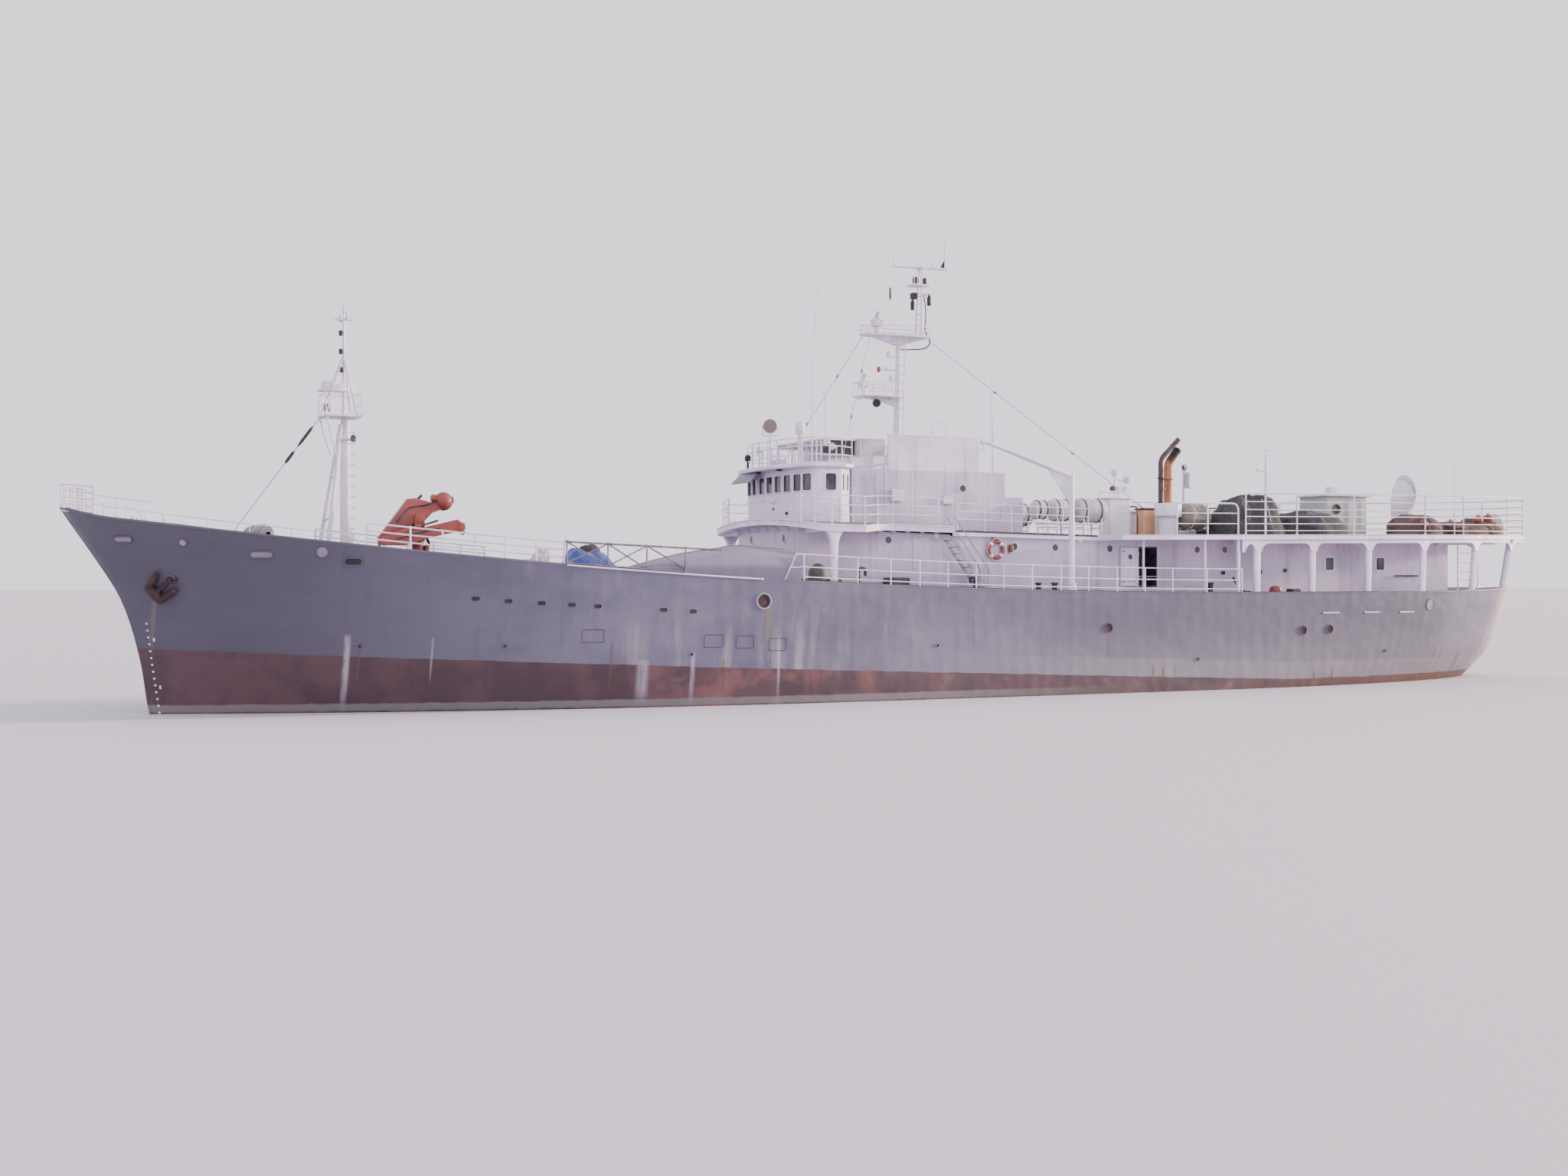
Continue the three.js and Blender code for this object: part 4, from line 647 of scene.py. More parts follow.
WELL_AFT_X = 8.2
FORECASTLE_X = 19.4
PLATE = 0.08

def sheer(x):
    forward = max(0, (x + 14.5) / 45.16)
    aft = max(0, (-14.5 - x) / 16.16)
    kick = max(0, (x - 29.2) / 1.46)
    return 3.7 + 2.55 * forward ** 2.35 + 0.2 * aft ** 2 + 0.2 * kick ** 2


def keel_z(x):
    return -2.9 + 0.03 * x


def level_z(v, x):
    return -v * keel_z(x) if v < 0 else v * sheer(x)


def half_at(level, x):
    _, fore, aft, half, (entry_x, entry_power, entry_root), (run_x, run_power, run_root) = level
    ahead = min(1, max(0, (x - entry_x) / (fore - entry_x)))
    astern = min(1, max(0, (run_x - x) / (run_x - aft)))
    return half * (1 - ahead ** entry_power) ** entry_root * (1 - astern ** run_power) ** run_root


def between_levels(v, pick):
    """A smooth curve over the levels through the values that pick reads from each."""
    last = len(LEVELS) - 2
    low = max(i for i in range(last + 1) if LEVELS[i][0] <= v or i == 0)

    def slope(i):
        before = max(0, i - 1)
        after = min(last + 1, i + 1)
        return (pick(LEVELS[after]) - pick(LEVELS[before])) / (LEVELS[after][0] - LEVELS[before][0])
    span = LEVELS[low + 1][0] - LEVELS[low][0]
    t = min(1, (v - LEVELS[low][0]) / span)
    return ((2 * t ** 3 - 3 * t ** 2 + 1) * pick(LEVELS[low]) + (t ** 3 - 2 * t ** 2 + t) * span * slope(low)
            + (3 * t ** 2 - 2 * t ** 3) * pick(LEVELS[low + 1]) + (t ** 3 - t ** 2) * span * slope(low + 1))


def hull_ends(v):
    """The aft and fore ends of a level."""
    return [between_levels(v, lambda level: level[column]) for column in (2, 1)]


def hull_point(share, v):
    aft, fore = hull_ends(v)
    x = aft + (fore - aft) * share
    if share in (0, 1):
        return vec(x, 0, level_z(v, x))
    half = between_levels(v, lambda level: half_at(level, level[2] + (level[1] - level[2]) * share))
    return vec(x, max(0.02, half), level_z(v, x))


def side_point(x, z):
    """The plating's place on the port side at x and z."""
    v = z / sheer(x) if z >= 0 else -z / keel_z(x)
    v = min(1.0, max(-1.0, v))
    aft, fore = hull_ends(v)
    share = min(0.9999, max(0.0001, (x - aft) / (fore - aft)))
    return vec(x, hull_point(share, v).y, z)


def deck_half(x):
    return half_at(LEVELS[-1], x)


def plating(x, z):
    """A matrix on the port plating: first axis forward, second up the plate, third out of it."""
    step = 0.06
    along = (side_point(x + step, z) - side_point(x - step, z)).normalized()
    up = (side_point(x, z + step) - side_point(x, z - step)).normalized()
    outward = up.cross(along).normalized()
    up = along.cross(outward)
    turn = Matrix((along, up, outward)).transposed().to_4x4()
    return Matrix.Translation(side_point(x, z)) @ turn


def house_side(x, z, y, side=1):
    """A matrix on a flat wall that faces port, or starboard for side -1."""
    turn = Matrix(((1, 0, 0), (0, 0, side), (0, 1, 0))).to_4x4()
    return Matrix.Translation(vec(x, side * y, z)) @ turn


def upper_deck_z(x):
    return 5.9 + (0.0185 * (x + 6) if x > -6 else 0.0118 * (-6 - x))


# Hull: plating, decks, bulwarks
STATIONS = 120
ROWS_PER_LEVEL = 5


def cluster(count, strength=0.86):
    return [i / count - strength * math.sin(2 * math.pi * i / count) / (2 * math.pi) for i in range(count + 1)]


def well_deck_z(x):
    return 3.03 + 0.052 * (x - 11.4)


def forecastle_z(x):
    return sheer(x) - 0.8


BILGE_LEVEL = -0.81
BILGE_REACH = 0.42


def build_hull():
    shape = Shape()
    shares = cluster(STATIONS)
    shares[-1] = 1
    heights = [v for low, high in zip(LEVELS, LEVELS[1:])
               for v in spread(low[0], high[0], ROWS_PER_LEVEL)[:-1]]
    heights.append(1.0)
    rows = [[hull_point(share, v) for share in shares] for v in heights]
    shape.grid(rows)
    shape.grid([rows[0], [vec(p.x, 0, p.z) for p in rows[0]]])
    shape.mirror()
    shape.tube([hull_point(1, v) - vec(0.03, 0, 0) for v in heights], 0.038, 8)
    shape.box(-26.75, -24.6, -0.14, 0.14, -3.72, -3.46, 0.03)
    shape.cylinder((-24.1, 0, -2.6), (-25, 0, -2.6), 0.22, 20, 0.03)
    shape.cylinder((-26.35, 0, -1.3), (-26.35, 0, -0.4), 0.15, 16)
    since = shape.mark()
    keel = []
    for i, x in enumerate(spread(-10, 10, 24)):
        y = between_levels(BILGE_LEVEL, lambda row: half_at(row, x))
        z = level_z(BILGE_LEVEL, x)
        deep = BILGE_REACH * min(1, 1.4 * math.sin(math.pi * (i + 0.3) / 24.6)) + 0.02
        keel.append([vec(x, y + 0.625 * out + 0.78 * wide, z - 0.78 * out + 0.625 * wide)
                     for out, wide in ((-0.2, 0.03), (deep, 0.012), (deep, -0.012), (-0.2, -0.03))])
    shape.loft(keel)
    shape.mirror(since)
    shape.make("hull_plating", [HULL],
               replaces=("hull", "bulwark_port", "bulwark_starboard"))


def deck_row(x, half, z):
    """Points across a deck with a little camber."""
    return [vec(x, max(0.03, half) * s, z + 0.05 * (1 - s * s)) for s in (-1, -0.5, 0, 0.5, 1)]


FRAMES_X = (9.6, 11.2, 12.8, 14.4, 16.0, 17.6, 20.6, 22.2, 23.8, 25.4, 27.0)
HATCH_AFT, HATCH_FORE, HATCH_HALF = 11.6, 14.2, 1.3
COAMING = (2.9, 3.85, 0.01)


def build_decks():
    shape = Shape()
    after = [WELL_AFT_X - 37.9 * share for share in cluster(60, 0.6)]
    shape.grid([deck_row(x, deck_half(x) - 0.06, sheer(x) - 0.01) for x in after])
    for start, end, deck in ((WELL_AFT_X, FORECASTLE_X, well_deck_z), (FORECASTLE_X, 29.75, forecastle_z)):
        xs = spread(start, end, 30)
        shape.skin = 0
        shape.grid([deck_row(x, side_point(x, deck(x)).y - PLATE, deck(x)) for x in xs])
        shape.skin = 1
        for side in (1, -1):
            shape.grid([[vec(x, side * max(0.02, side_point(x, z).y - PLATE), z)
                         for z in spread(deck(x), sheer(x), 6)]
                        for x in xs])
    levels = (3.3, 3.7, 4.1, forecastle_z(FORECASTLE_X) + 0.04)
    port = [side_point(FORECASTLE_X, z) - vec(0, PLATE, 0) for z in levels]
    shape.prism([*port, *other_side(port)], (0.05, 0, 0))
    shape.box(WELL_AFT_X - 0.03, WELL_AFT_X + 0.02, -4.5, 4.5, 2.75, sheer(WELL_AFT_X))
    for x in FRAMES_X:
        deck = well_deck_z(x) if x < FORECASTLE_X else forecastle_z(x)
        foot = side_point(x, deck + 0.03).y - PLATE
        head = side_point(x, sheer(x)).y - PLATE
        for side in (1, -1):
            corners = ((foot - 0.35, deck), (foot, deck), (head, sheer(x) - 0.06))
            shape.prism([(x - 0.02, side * y, z) for y, z in corners], (0.04, 0, 0))
    for y in (-HATCH_HALF, HATCH_HALF - PLATE):
        shape.box(HATCH_AFT, HATCH_FORE, y, y + PLATE, *COAMING)
    for x in (HATCH_AFT, HATCH_FORE - PLATE):
        shape.box(x, x + PLATE, -HATCH_HALF, HATCH_HALF, *COAMING)
    for x in (11.9, 12.5, 13.1, 13.7):
        for side in (1, -1):
            shape.prism([(x, side * y, z) for y, z in ((1.3, 3.05), (1.5, 3.05), (1.3, 3.75))], (0.03, 0, 0))
    shape.make("deck_plating", [DECK, HULL], sharp=30)

    caps = Shape()
    for end, count, strength, least, inset, drop, radius in ((30.5, 70, 0.3, 0.03, 0.05, 0.005, 0.055),
                                                             (-29.66, 80, 0.7, 0.02, 0.035, 0.01, 0.045)):
        xs = [WELL_AFT_X + (end - WELL_AFT_X) * share for share in cluster(count, strength)]
        caps.tube([vec(x, max(least, deck_half(x) - inset), sheer(x) - drop) for x in xs], radius, 8)
    # A dark bar just inboard of the gunwale: partly a pipe, partly painted shade in the deck's waterway
    caps.skin = 1
    caps.tube([vec(x, deck_half(x) - 0.1, sheer(x) + 0.03) for x in spread(7.3, -18.6, 60)], 0.03, 8)
    caps.mirror()
    caps.make("gunwale_bars", [HULL, DARK_STEEL_AND_SHADE])


SCREEN = [(13.9, 0.02), (12.67, 0.36), (11.43, 0.66), (9.91, 0.93), (9.0, 1.05), (7.46, 1.02)]
SCREEN_PROFILE = [(0.062, 0.0), (0.066, 0.25), (0.08, 0.5), (0.14, 0.72), (0.27, 0.88), (0.5, 0.99),
                  (0.9, 1.06),
                  (1.35, 1.12)]


def screen_rise(x):
    for (x0, r0), (x1, r1) in zip(SCREEN, SCREEN[1:]):
        if x >= x1:
            t = (x0 - x) / (x0 - x1)
            return r0 + (r1 - r0) * t * (2 - t if r1 > 1 else 1)
    return SCREEN[-1][1]


def build_screens():
    """Plating on the port side that rises beside the well deck and leans in at its top."""
    shape = Shape()
    rows = []
    for x in spread(SCREEN[0][0], SCREEN[-1][0], 40):
        rise = screen_rise(x)
        tuck = min(1, rise + 0.25)
        rows.append([vec(x, deck_half(x) - inboard * (tuck if share > 0.4 else 1),
                         sheer(x) - 0.04 + share * rise)
                     for inboard, share in SCREEN_PROFILE])
    inner = [[p - vec(0, 0.045, 0.02) for p in row] for row in rows]
    shape.loft([[*row, *reversed(below)] for row, below in zip(rows, inner)])
    shape.tube([row[-1] for row in rows], 0.03, 6)
    for row in (rows[14], rows[22], rows[30], rows[38]):
        shape.tube([p - vec(0, 0.03, 0.02) for p in row], 0.03, 6)
    shape.make("side_screen", [HULL], sharp=50)
    strip = Shape()
    path = [vec(x, deck_half(x) + 0.015, sheer(x) - 0.005) for x in spread(15.8, 8.95, 24)]
    strip.tube(path, 0.03, 8)
    strip.ball(path[-1], 0.05, (1, 1, 1), 12, 6)
    strip.make("edge_strip", [PLAIN_WHITE])


OVALS = [(18.68, 3.62), (17.65, 3.54), (16.58, 3.47), (15.59, 3.41), (14.73, 3.36), (12.48, 3.23),
         (11.44, 3.17)]
PATCHES = [(14.84, 2.39, 0.72), (10.68, 2.18, 0.66), (9.56, 2.13, 0.62), (8.36, 2.03, 0.62)]
HULL_LIGHTS = [(-5.26, 2.44), (-14.57, 2.24), (-15.94, 2.27)]
OUTLETS = [(22.08, 2.13), (17.67, 2.10), (11.45, 1.74), (2.1, 1.9), (-9.4, 1.2), (-19.2, 1.35)]
# Fairleads: x, z, width, height, and whether one is dark inside; a dark one's pane is black, painted shade, and
# the others' panes are pale, painted light seen through. Round ones: x, z, radius, with pale panes, painted
# light too
FAIRLEADS = [(28.97, 5.45, 0.56, 0.16, False), (25.13, 4.99, 0.66, 0.18, False), (22.47, 4.78, 0.5, 0.2, True)]
EYES = [(23.40, 5.07, 0.16), (-21.6, 3.22, 0.2), (27.35, 5.35, 0.1)]


def opening(shape, place, frame_size, rim, pane_size, level, skins, steps=6):
    """A raised frame and a pane in it. Sizes are width, height and corner, and the rim is width and height."""
    shape.skin = skins[0]
    shape.band(place, *frame_size, *rim, steps=steps)
    shape.skin = skins[1]
    shape.pane(place, *pane_size, level, steps=steps)


def porthole(shape, place, radius=0.13, rim=0.032, proud=0.03):
    size = radius * 2
    pane_size = (size + 0.01, size + 0.01, radius)
    opening(shape, place, (size, size, radius), (rim, proud), pane_size, 0.012, (0, 1), 5)
    shape.skin = 0


def build_plating_fittings():
    """Openings, patches and marks on the plating of both sides."""
    shape = Shape()
    edge, dark, light, deadlight, chalk_and_painted_light, cream = range(6)
    # Black panes in the oval ports: painted shade inside the openings
    for x, z in OVALS:
        opening(shape, plating(x, z), (0.26, 0.13, 0.06), (0.016, 0.012), (0.27, 0.14, 0.06), 0.01,
                (edge, dark), 4)
    shape.skin = deadlight
    for x, z, wide in PATCHES:
        shape.band(plating(x, z), wide, 0.4, 0.04, 0.014, 0.008)
    for x, z in HULL_LIGHTS:
        opening(shape, plating(x, z), (0.32, 0.32, 0.16), (0.03, 0.03), (0.33, 0.33, 0.165), 0.015,
                (edge, deadlight))
    for x, z in OUTLETS:
        # Black panes in the outlets: painted shade inside the pipes
        size = (0.1, 0.1, 0.05)
        opening(shape, plating(x, z), size, (0.03, 0.03), size, 0.01, (edge, dark), 4)
    # Fairlead panes: black for painted shade inside, pale for painted light seen through
    for x, z, wide, high, inside in FAIRLEADS:
        size = (wide, high, high / 2)
        opening(shape, plating(x, z), size, (0.05, 0.035), size, 0.008, (edge, dark if inside else chalk_and_painted_light))
    # The eyes' pale panes: painted light seen through them
    for x, z, radius in EYES:
        size = (radius * 2, radius * 2, radius)
        opening(shape, plating(x, z), size, (0.05, 0.02), size, 0.012, (edge, chalk_and_painted_light))
    opening(shape, plating(8.88, 3.5), (0.46, 0.46, 0.23), (0.06, 0.03), (0.47, 0.47, 0.23), 0.01,
            (chalk_and_painted_light, deadlight))
    shape.skin = cream
    for x in (-16.0, -18.2, -20.2):
        shape.pane(plating(x, 2.92), 0.86, 0.07, 0.03, 0.02)
    shape.skin = light
    for i in range(14):
        share = i / 13
        shape.pane(plating(28.17 - 0.42 * share, 2.85 - 2.8 * share), 0.07, 0.06, 0.02, 0.006)
    for x, z in ((27.95, 2.35), (27.74, 0.85)):
        shape.pane(plating(x, z), 0.06, 0.12, 0.02, 0.006)
    for i in range(7):
        spot = plating(-26.8 - 0.02 * i, 1.9 - 0.27 * i)
        shape.pane(spot, 0.13, 0.045, 0.01, 0.006)
    shape.mirror()
    materials = [HULL, BLACK_AND_HOLE_SHADE, PLAIN_WHITE, RUSTY, CHALK_LIGHT_AND_SHADE, CREAM]
    shape.make("plating_fittings", materials, sharp=30)


def build_stern_gear():
    rudder = Shape()
    rows = []
    for i in range(15):
        z = -3.46 + 1.96 * i / 14
        aft = -27.35 + 0.1 * max(0, (z + 3.2) / 1.7) ** 2
        chord = -25.98 - aft
        section = []
        for side in (1, -1):
            for k in range(9):
                t = (k if side > 0 else 8 - k) / 8
                thick = 0.26 * chord * (1.2 * math.sqrt(t) - 0.6 * t - 0.6 * t * t) if 0 < t < 1 else 0.0
                section.append(vec(-25.98 - chord * t, side * (thick * 0.55 + (0.01 if t == 1 else 0)), z))
        rows.append(section)
    rudder.loft(rows)
    rudder.cylinder((-26.35, 0, -1.6), (-26.35, 0, -1.3012), 0.09, 16)
    rudder.make("rudder_blade", [HULL], "rudder", ("rudder",))

    wheel = Shape()
    wheel.lathe((-25.7, 0, -2.6), (1, 0, 0),
                [(0.01, 0), (0.09, 0.03), (0.14, 0.14), (0.17, 0.3), (0.165, 0.68),
                                            (0.15, 0.699)], 24)
    for blade in range(4):
        turn = Matrix.Rotation(blade * math.pi / 2, 4, "X")
        rows = []
        for i in range(9):
            share = i / 8
            radius = 0.12 + 0.68 * share
            pitch = math.atan(1.0 / (2 * math.pi * max(radius, 0.2) / 1.35))
            chord = 0.52 * math.sin(math.pi * (0.28 + 0.66 * share)) * (1.05 - 0.35 * share ** 3)
            thick = 0.035 * (1 - 0.75 * share)
            section = []
            for k in range(12):
                a = 2 * math.pi * k / 12
                along = 0.5 * chord * math.cos(a) + 0.05 * share
                across = thick * math.sin(a)
                ahead = along * math.sin(pitch) + across * math.cos(pitch)
                sweep = (along * math.cos(pitch) - across * math.sin(pitch)) / radius
                section.append(turn @ vec(ahead, radius * math.sin(sweep), radius * math.cos(sweep)))
            rows.append([p + vec(-25.4, 0, -2.6) for p in section])
        wheel.loft(rows)
    wheel.make("propeller_blades", [BRONZE], "propeller", ("propeller",))


# Anchors, windlass and bow fittings
ANCHOR_CROWN = ((28.24, 4.02), (27.78, 3.52))
ANCHOR_SHANK = ((28.0, 3.78), (27.55, 4.26))
ANCHOR_FLUKES = (((28.18, 3.96), (27.98, 4.44)), ((27.84, 3.58), (27.4, 3.94)))


def build_anchors():
    def spot(place, out):
        return side_point(*place) + vec(0, out, 0)
    shape = Shape()
    head, tail = (spot(end, 0.11) for end in ANCHOR_CROWN)
    middle = (head + tail) / 2
    shape.tube([head, head.lerp(middle, 0.5) + vec(0, 0.05, 0), middle + vec(0, 0.06, 0),
                tail.lerp(middle, 0.5) + vec(0, 0.05, 0), tail], [0.1, 0.14, 0.15, 0.14, 0.1], 12)
    shank = [spot(ANCHOR_SHANK[0], 0.12), spot(ANCHOR_SHANK[1], 0.02)]
    shape.tube([shank[0], shank[0].lerp(shank[1], 0.9), shank[1]], [0.085, 0.07, 0.07], 10)
    shape.ring(shank[1], (0.4, 0.9, 0.3), 0.13, 0.035, 16)
    for root, tip in ANCHOR_FLUKES:
        start, end = spot(root, 0.12), spot(tip, 0.16)
        bend = start.lerp(end, 0.5) + vec(0, 0.04, 0)
        shape.tube([start, bend, start.lerp(end, 0.85), end], [0.1, 0.12, 0.08, 0.02], 10)
    shape.make_pair("anchor", "_forged", [RUSTY])
    hawse = Shape()
    # The black pane in the hawse pipe: painted shade
    opening(hawse, plating(27.6, 4.22), (0.24, 0.24, 0.12), (0.07, 0.05, 0.05), (0.25, 0.25, 0.12), 0.02,
            (0, 1))
    hawse.mirror()
    hawse.make("hawse_lips", [HULL, BLACK_AND_HOLE_SHADE])


WINDLASS = (24.7, 5.65)


def build_windlass():
    x, z = WINDLASS
    base = Shape()
    base.box(24.1, 25.3, -1.1, 1.1, 4.45, 5.15, 0.05)
    for y in (-1.15, -0.4, 0.4, 1.15):
        outline = [(24.42, 5.1), (24.98, 5.1), (24.9, 5.8), (24.8, 5.92), (24.6, 5.92), (24.5, 5.8)]
        base.prism([(a, y - 0.07, b) for a, b in outline], (0, 0.14, 0))
        base.cylinder((x, y - 0.09, z), (x, y + 0.09, z), 0.17, 20)
    base.box(25.1, 25.62, -0.42, 0.42, 4.6, 5.6, 0.08)
    base.cylinder((25.35, -0.25, 5.6), (25.35, -0.25, 5.8), 0.07, 12)
    base.make("windlass_frame", [GALVANISED_AND_SHADE], replaces=("windlass_base",))
    drums = Shape()
    drums.cylinder((x, -1.75, z), (x, 1.75, z), 0.085, 16)
    for side in (1, -1):
        drums.lathe((x, side * 0.6, z), (0, side, 0),
                    [(0.12, 0), (0.33, 0.01), (0.34, 0.05), (0.24, 0.09), (0.22, 0.17), (0.24, 0.25),
                     (0.34, 0.3),
                     (0.33, 0.34), (0.12, 0.35)], 24)
        for a in turns(6):
            pin_x, pin_z = x + 0.25 * math.cos(a), z + 0.25 * math.sin(a)
            drums.cylinder((pin_x, side * 0.68, pin_z), (pin_x, side * 0.87, pin_z), 0.035, 6)
        drums.lathe((x, side * 1.3, z), (0, side, 0),
                    [(0.1, 0), (0.2, 0.02), (0.13, 0.14), (0.13, 0.3), (0.19, 0.43), (0.1, 0.45)], 22)
    drums.lathe((x, -0.25, z), (0, 1, 0),
                [(0.1, 0), (0.26, 0.01), (0.26, 0.07), (0.15, 0.1), (0.15, 0.4), (0.26, 0.43), (0.26, 0.49),
                 (0.1, 0.5)], 24)
    drums.make("windlass_barrels", [GALVANISED_AND_SHADE], "windlass_drums", ("windlass_drums",))
    chains = Shape()
    for side in (1, -1):
        start, end = vec(25.09, side * 0.78, 5.57), vec(26.9, side * 1.35, 5.02)
        ahead = (end - start).normalized()
        for i, share in enumerate(spread(0, 1, 25)):
            tilt = vec(0, 0, 1) if i % 2 else vec(0, 1, 0)
            normal = (tilt - ahead * tilt.dot(ahead)).normalized()
            across = ahead.cross(normal)
            link = [start.lerp(end, share) + ahead * a + across * b for a, b in contour(0.15, 0.08, 0.04, 2)]
            chains.tube(link, 0.014, 5, loop=True)
        chains.cylinder((26.95, side * 1.37, 4.6), (26.95, side * 1.37, 5.08), 0.16, 18, 0.03)
    for x, y, high in ((28.5, 0.75, 0.45), (28.0, 0.75, 0.45), (23.2, 2.6, 0.5), (22.6, 2.6, 0.5),
                       (20.4, 3.3, 0.5),
                       (19.9, 3.3, 0.5)):
        deck = forecastle_z(x)
        for side in (1, -1):
            for low, top, radius in ((-0.03, high, 0.11), (high, high + 0.05, 0.14)):
                chains.cylinder((x, side * y, deck + low), (x, side * y, deck + top), radius, 16)
    chains.make("bow_fittings", [DARK_STEEL_AND_SHADE])


# Rails: posts, bars, and the little flanges at their feet
def rail(shape, feet, heights, bar=0.02, post=0.024, line=None, low_bar=None, foot_drop=0.06):
    feet = [Vector(p) for p in feet]
    top = heights[-1]
    for point in feet:
        shape.tube([point - vec(0, 0, foot_drop), point + vec(0, 0, top)], post, 7)
        shape.cylinder(point - vec(0, 0, 0.01), point + vec(0, 0, 0.025), 0.055, 8)
    path = [Vector(p) for p in (line or feet)]
    for height in heights if low_bar is None else [low_bar, *heights]:
        shape.tube(fillet([p + vec(0, 0, height) for p in path], 0.12, 3), bar, 7)


def on_edge(x, inset=0.06, rise=0.0):
    return vec(x, max(0.0, deck_half(x) - inset), sheer(x) + rise)


PULPIT_TOP = [(29.78, 7.05), (30.3, 7.1), (30.6, 7.14)]
FORE_POSTS = [22.1, 20.77, 19.78, 18.76, 17.8, 16.79, 15.88]


def build_fore_rail():
    shape = Shape()
    mid_y = [max(0.03, deck_half(x) - 0.09) for x, _ in PULPIT_TOP]
    for drop in (0.0, 0.2, 0.4, 0.6, 0.8):
        port = [vec(x, y, z - drop) for (x, z), y in zip(PULPIT_TOP, mid_y)]
        loop = [*port, vec(30.62, 0, 7.14 - drop), *other_side(port)]
        shape.tube(fillet(loop, 0.15, 4), 0.034 if drop == 0 else 0.026, 8)
    for x, y in ((29.8, mid_y[0]), (30.05, (mid_y[0] + mid_y[1]) / 2), (30.3, mid_y[1]),
                 (30.48, mid_y[1] * 0.6)):
        for side in (1, -1):
            shape.tube([vec(x, side * y, sheer(x) - 0.05), vec(x, side * y, 7.06)], 0.034, 8)
    shape.tube([vec(30.6, 0, 6.3), vec(30.62, 0, 7.14)], 0.024, 8)
    since = shape.mark()
    for height, end_height in ((0.63, 0.02), (0.34, 0.3)):
        path = [on_edge(x, 0.08, height) for x in (29.78, 29.2, 28.6, 28.19)]
        path.append(on_edge(27.79, 0.08, end_height))
        shape.tube(fillet(path, 0.15, 4), 0.016, 6)
    for x in (29.2, 28.5):
        shape.tube([on_edge(x, 0.08, -0.05), on_edge(x, 0.08, 0.63)], 0.018, 6)
    low = [27.9 - 0.6 * i for i in range(10)]
    path = [on_edge(27.95, 0.08, 0.0), *[on_edge(x, 0.08, 0.3) for x in low], on_edge(22.3, 0.08, 0.02)]
    shape.tube(path, 0.016, 6)
    for x in low[::2]:
        shape.tube([on_edge(x, 0.08, -0.05), on_edge(x, 0.08, 0.3)], 0.016, 6)
    feet = [on_edge(x, 0.07) for x in FORE_POSTS]
    line = [on_edge(x, 0.07) for x in spread(FORE_POSTS[0], FORE_POSTS[-1], 24)]
    rail(shape, feet, (0.24, 0.48, 0.72), 0.026, 0.032, line)
    for x, z in ((28.75, 6.2), (28.6, 6.18), (28.35, 6.12)):
        shape.cylinder(on_edge(x, 0.12, -0.02), on_edge(x, 0.12, 0.14), 0.05, 10)
    shape.mirror(since)
    shape.make("fore_rail_tubes", [PLAIN_WHITE], replaces=("fore_rail",))


MAIN_POSTS = [7.33, 5.25, 3.94, 2.77, 1.62, 0.45, -0.72, -1.94, -3.2, -4.41, -5.70, -6.99, -8.27, -9.9, -11.6]


def build_main_rails():
    shape = Shape()
    feet = [on_edge(x, 0.08) for x in MAIN_POSTS]
    line = [on_edge(x, 0.08) for x in spread(MAIN_POSTS[0], MAIN_POSTS[-1], 60)]
    rail(shape, feet, (0.5, 0.93), 0.022, 0.026, line, low_bar=0.16)
    shape.tube([on_edge(8.1, 0.08, -0.05), on_edge(7.62, 0.08, 0.93), on_edge(7.33, 0.08, 0.93)], 0.026, 7)
    shape.tube([on_edge(7.86, 0.08, 0.44), on_edge(7.33, 0.08, 0.5)], 0.02, 7)
    shape.make_pair("main_rail", "_tubes", [PLAIN_WHITE])


def build_gangway():
    shape = Shape()
    stops = [15.8, 14.42, 13.08, 11.72]
    end = 10.4

    def low(x):
        return on_edge(x, 0.03, 0.07)

    def high(x):
        return vec(x, deck_half(x) - 0.03, 5.44 - (15.8 - x) * 0.043)
    shape.tube([low(x) for x in stops], 0.028, 8)
    shape.tube([high(x) for x in [*stops, end]], 0.034, 8)
    for x in stops:
        shape.tube([low(x), high(x)], 0.026, 7)
    for near, far in zip(stops[:2], stops[1:3]):
        shape.tube([low(near), high(far)], 0.022, 6)
        shape.tube([high(near), low(far)], 0.022, 6)
    shape.tube([high(stops[2]), low(stops[3]) + vec(0, 0, 0.1)], 0.022, 6)
    for x in stops:
        shape.box(x - 0.05, x + 0.05, high(x).y - 0.05, high(x).y + 0.03, high(x).z - 0.02, high(x).z + 0.05,
                  0.01)
    shape.make("gangway_lattice", [WORN_STEEL], replaces=("gangway_truss",))


# Crane, folded on the forecastle
CRANE_X = 19.75
CRANE_Y = 1.0
PIVOT_Z = 6.2
KNUCKLE = (20.95, 5.45)


def beam(shape, outline, y0, y1, edge=0.025):
    """A box-section arm: its side outline of (x, z) points with softened long edges."""
    middle = Vector((sum(p[0] for p in outline) / len(outline), sum(p[1] for p in outline) / len(outline)))
    inner = [Vector(p) + (middle - Vector(p)).normalized() * edge for p in outline]

    def at(points, y):
        return [vec(p[0], y, p[1]) for p in points]
    shape.loft([at(inner, y0), at(outline, y0 + edge * 0.7), at(outline, y1 - edge * 0.7), at(inner, y1)])


def cylinder_rod(shape, start, end, barrel, rod, share):
    start, end = Vector(start), Vector(end)
    joint = start.lerp(end, share)
    shape.skin = 0
    shape.cylinder(start, joint, barrel, 14)
    shape.cylinder(start.lerp(end, share - 0.04), joint + (end - start).normalized() * 0.04, barrel * 1.2, 14)
    shape.skin = 1
    shape.cylinder(joint, end, rod, 12)
    shape.skin = 0


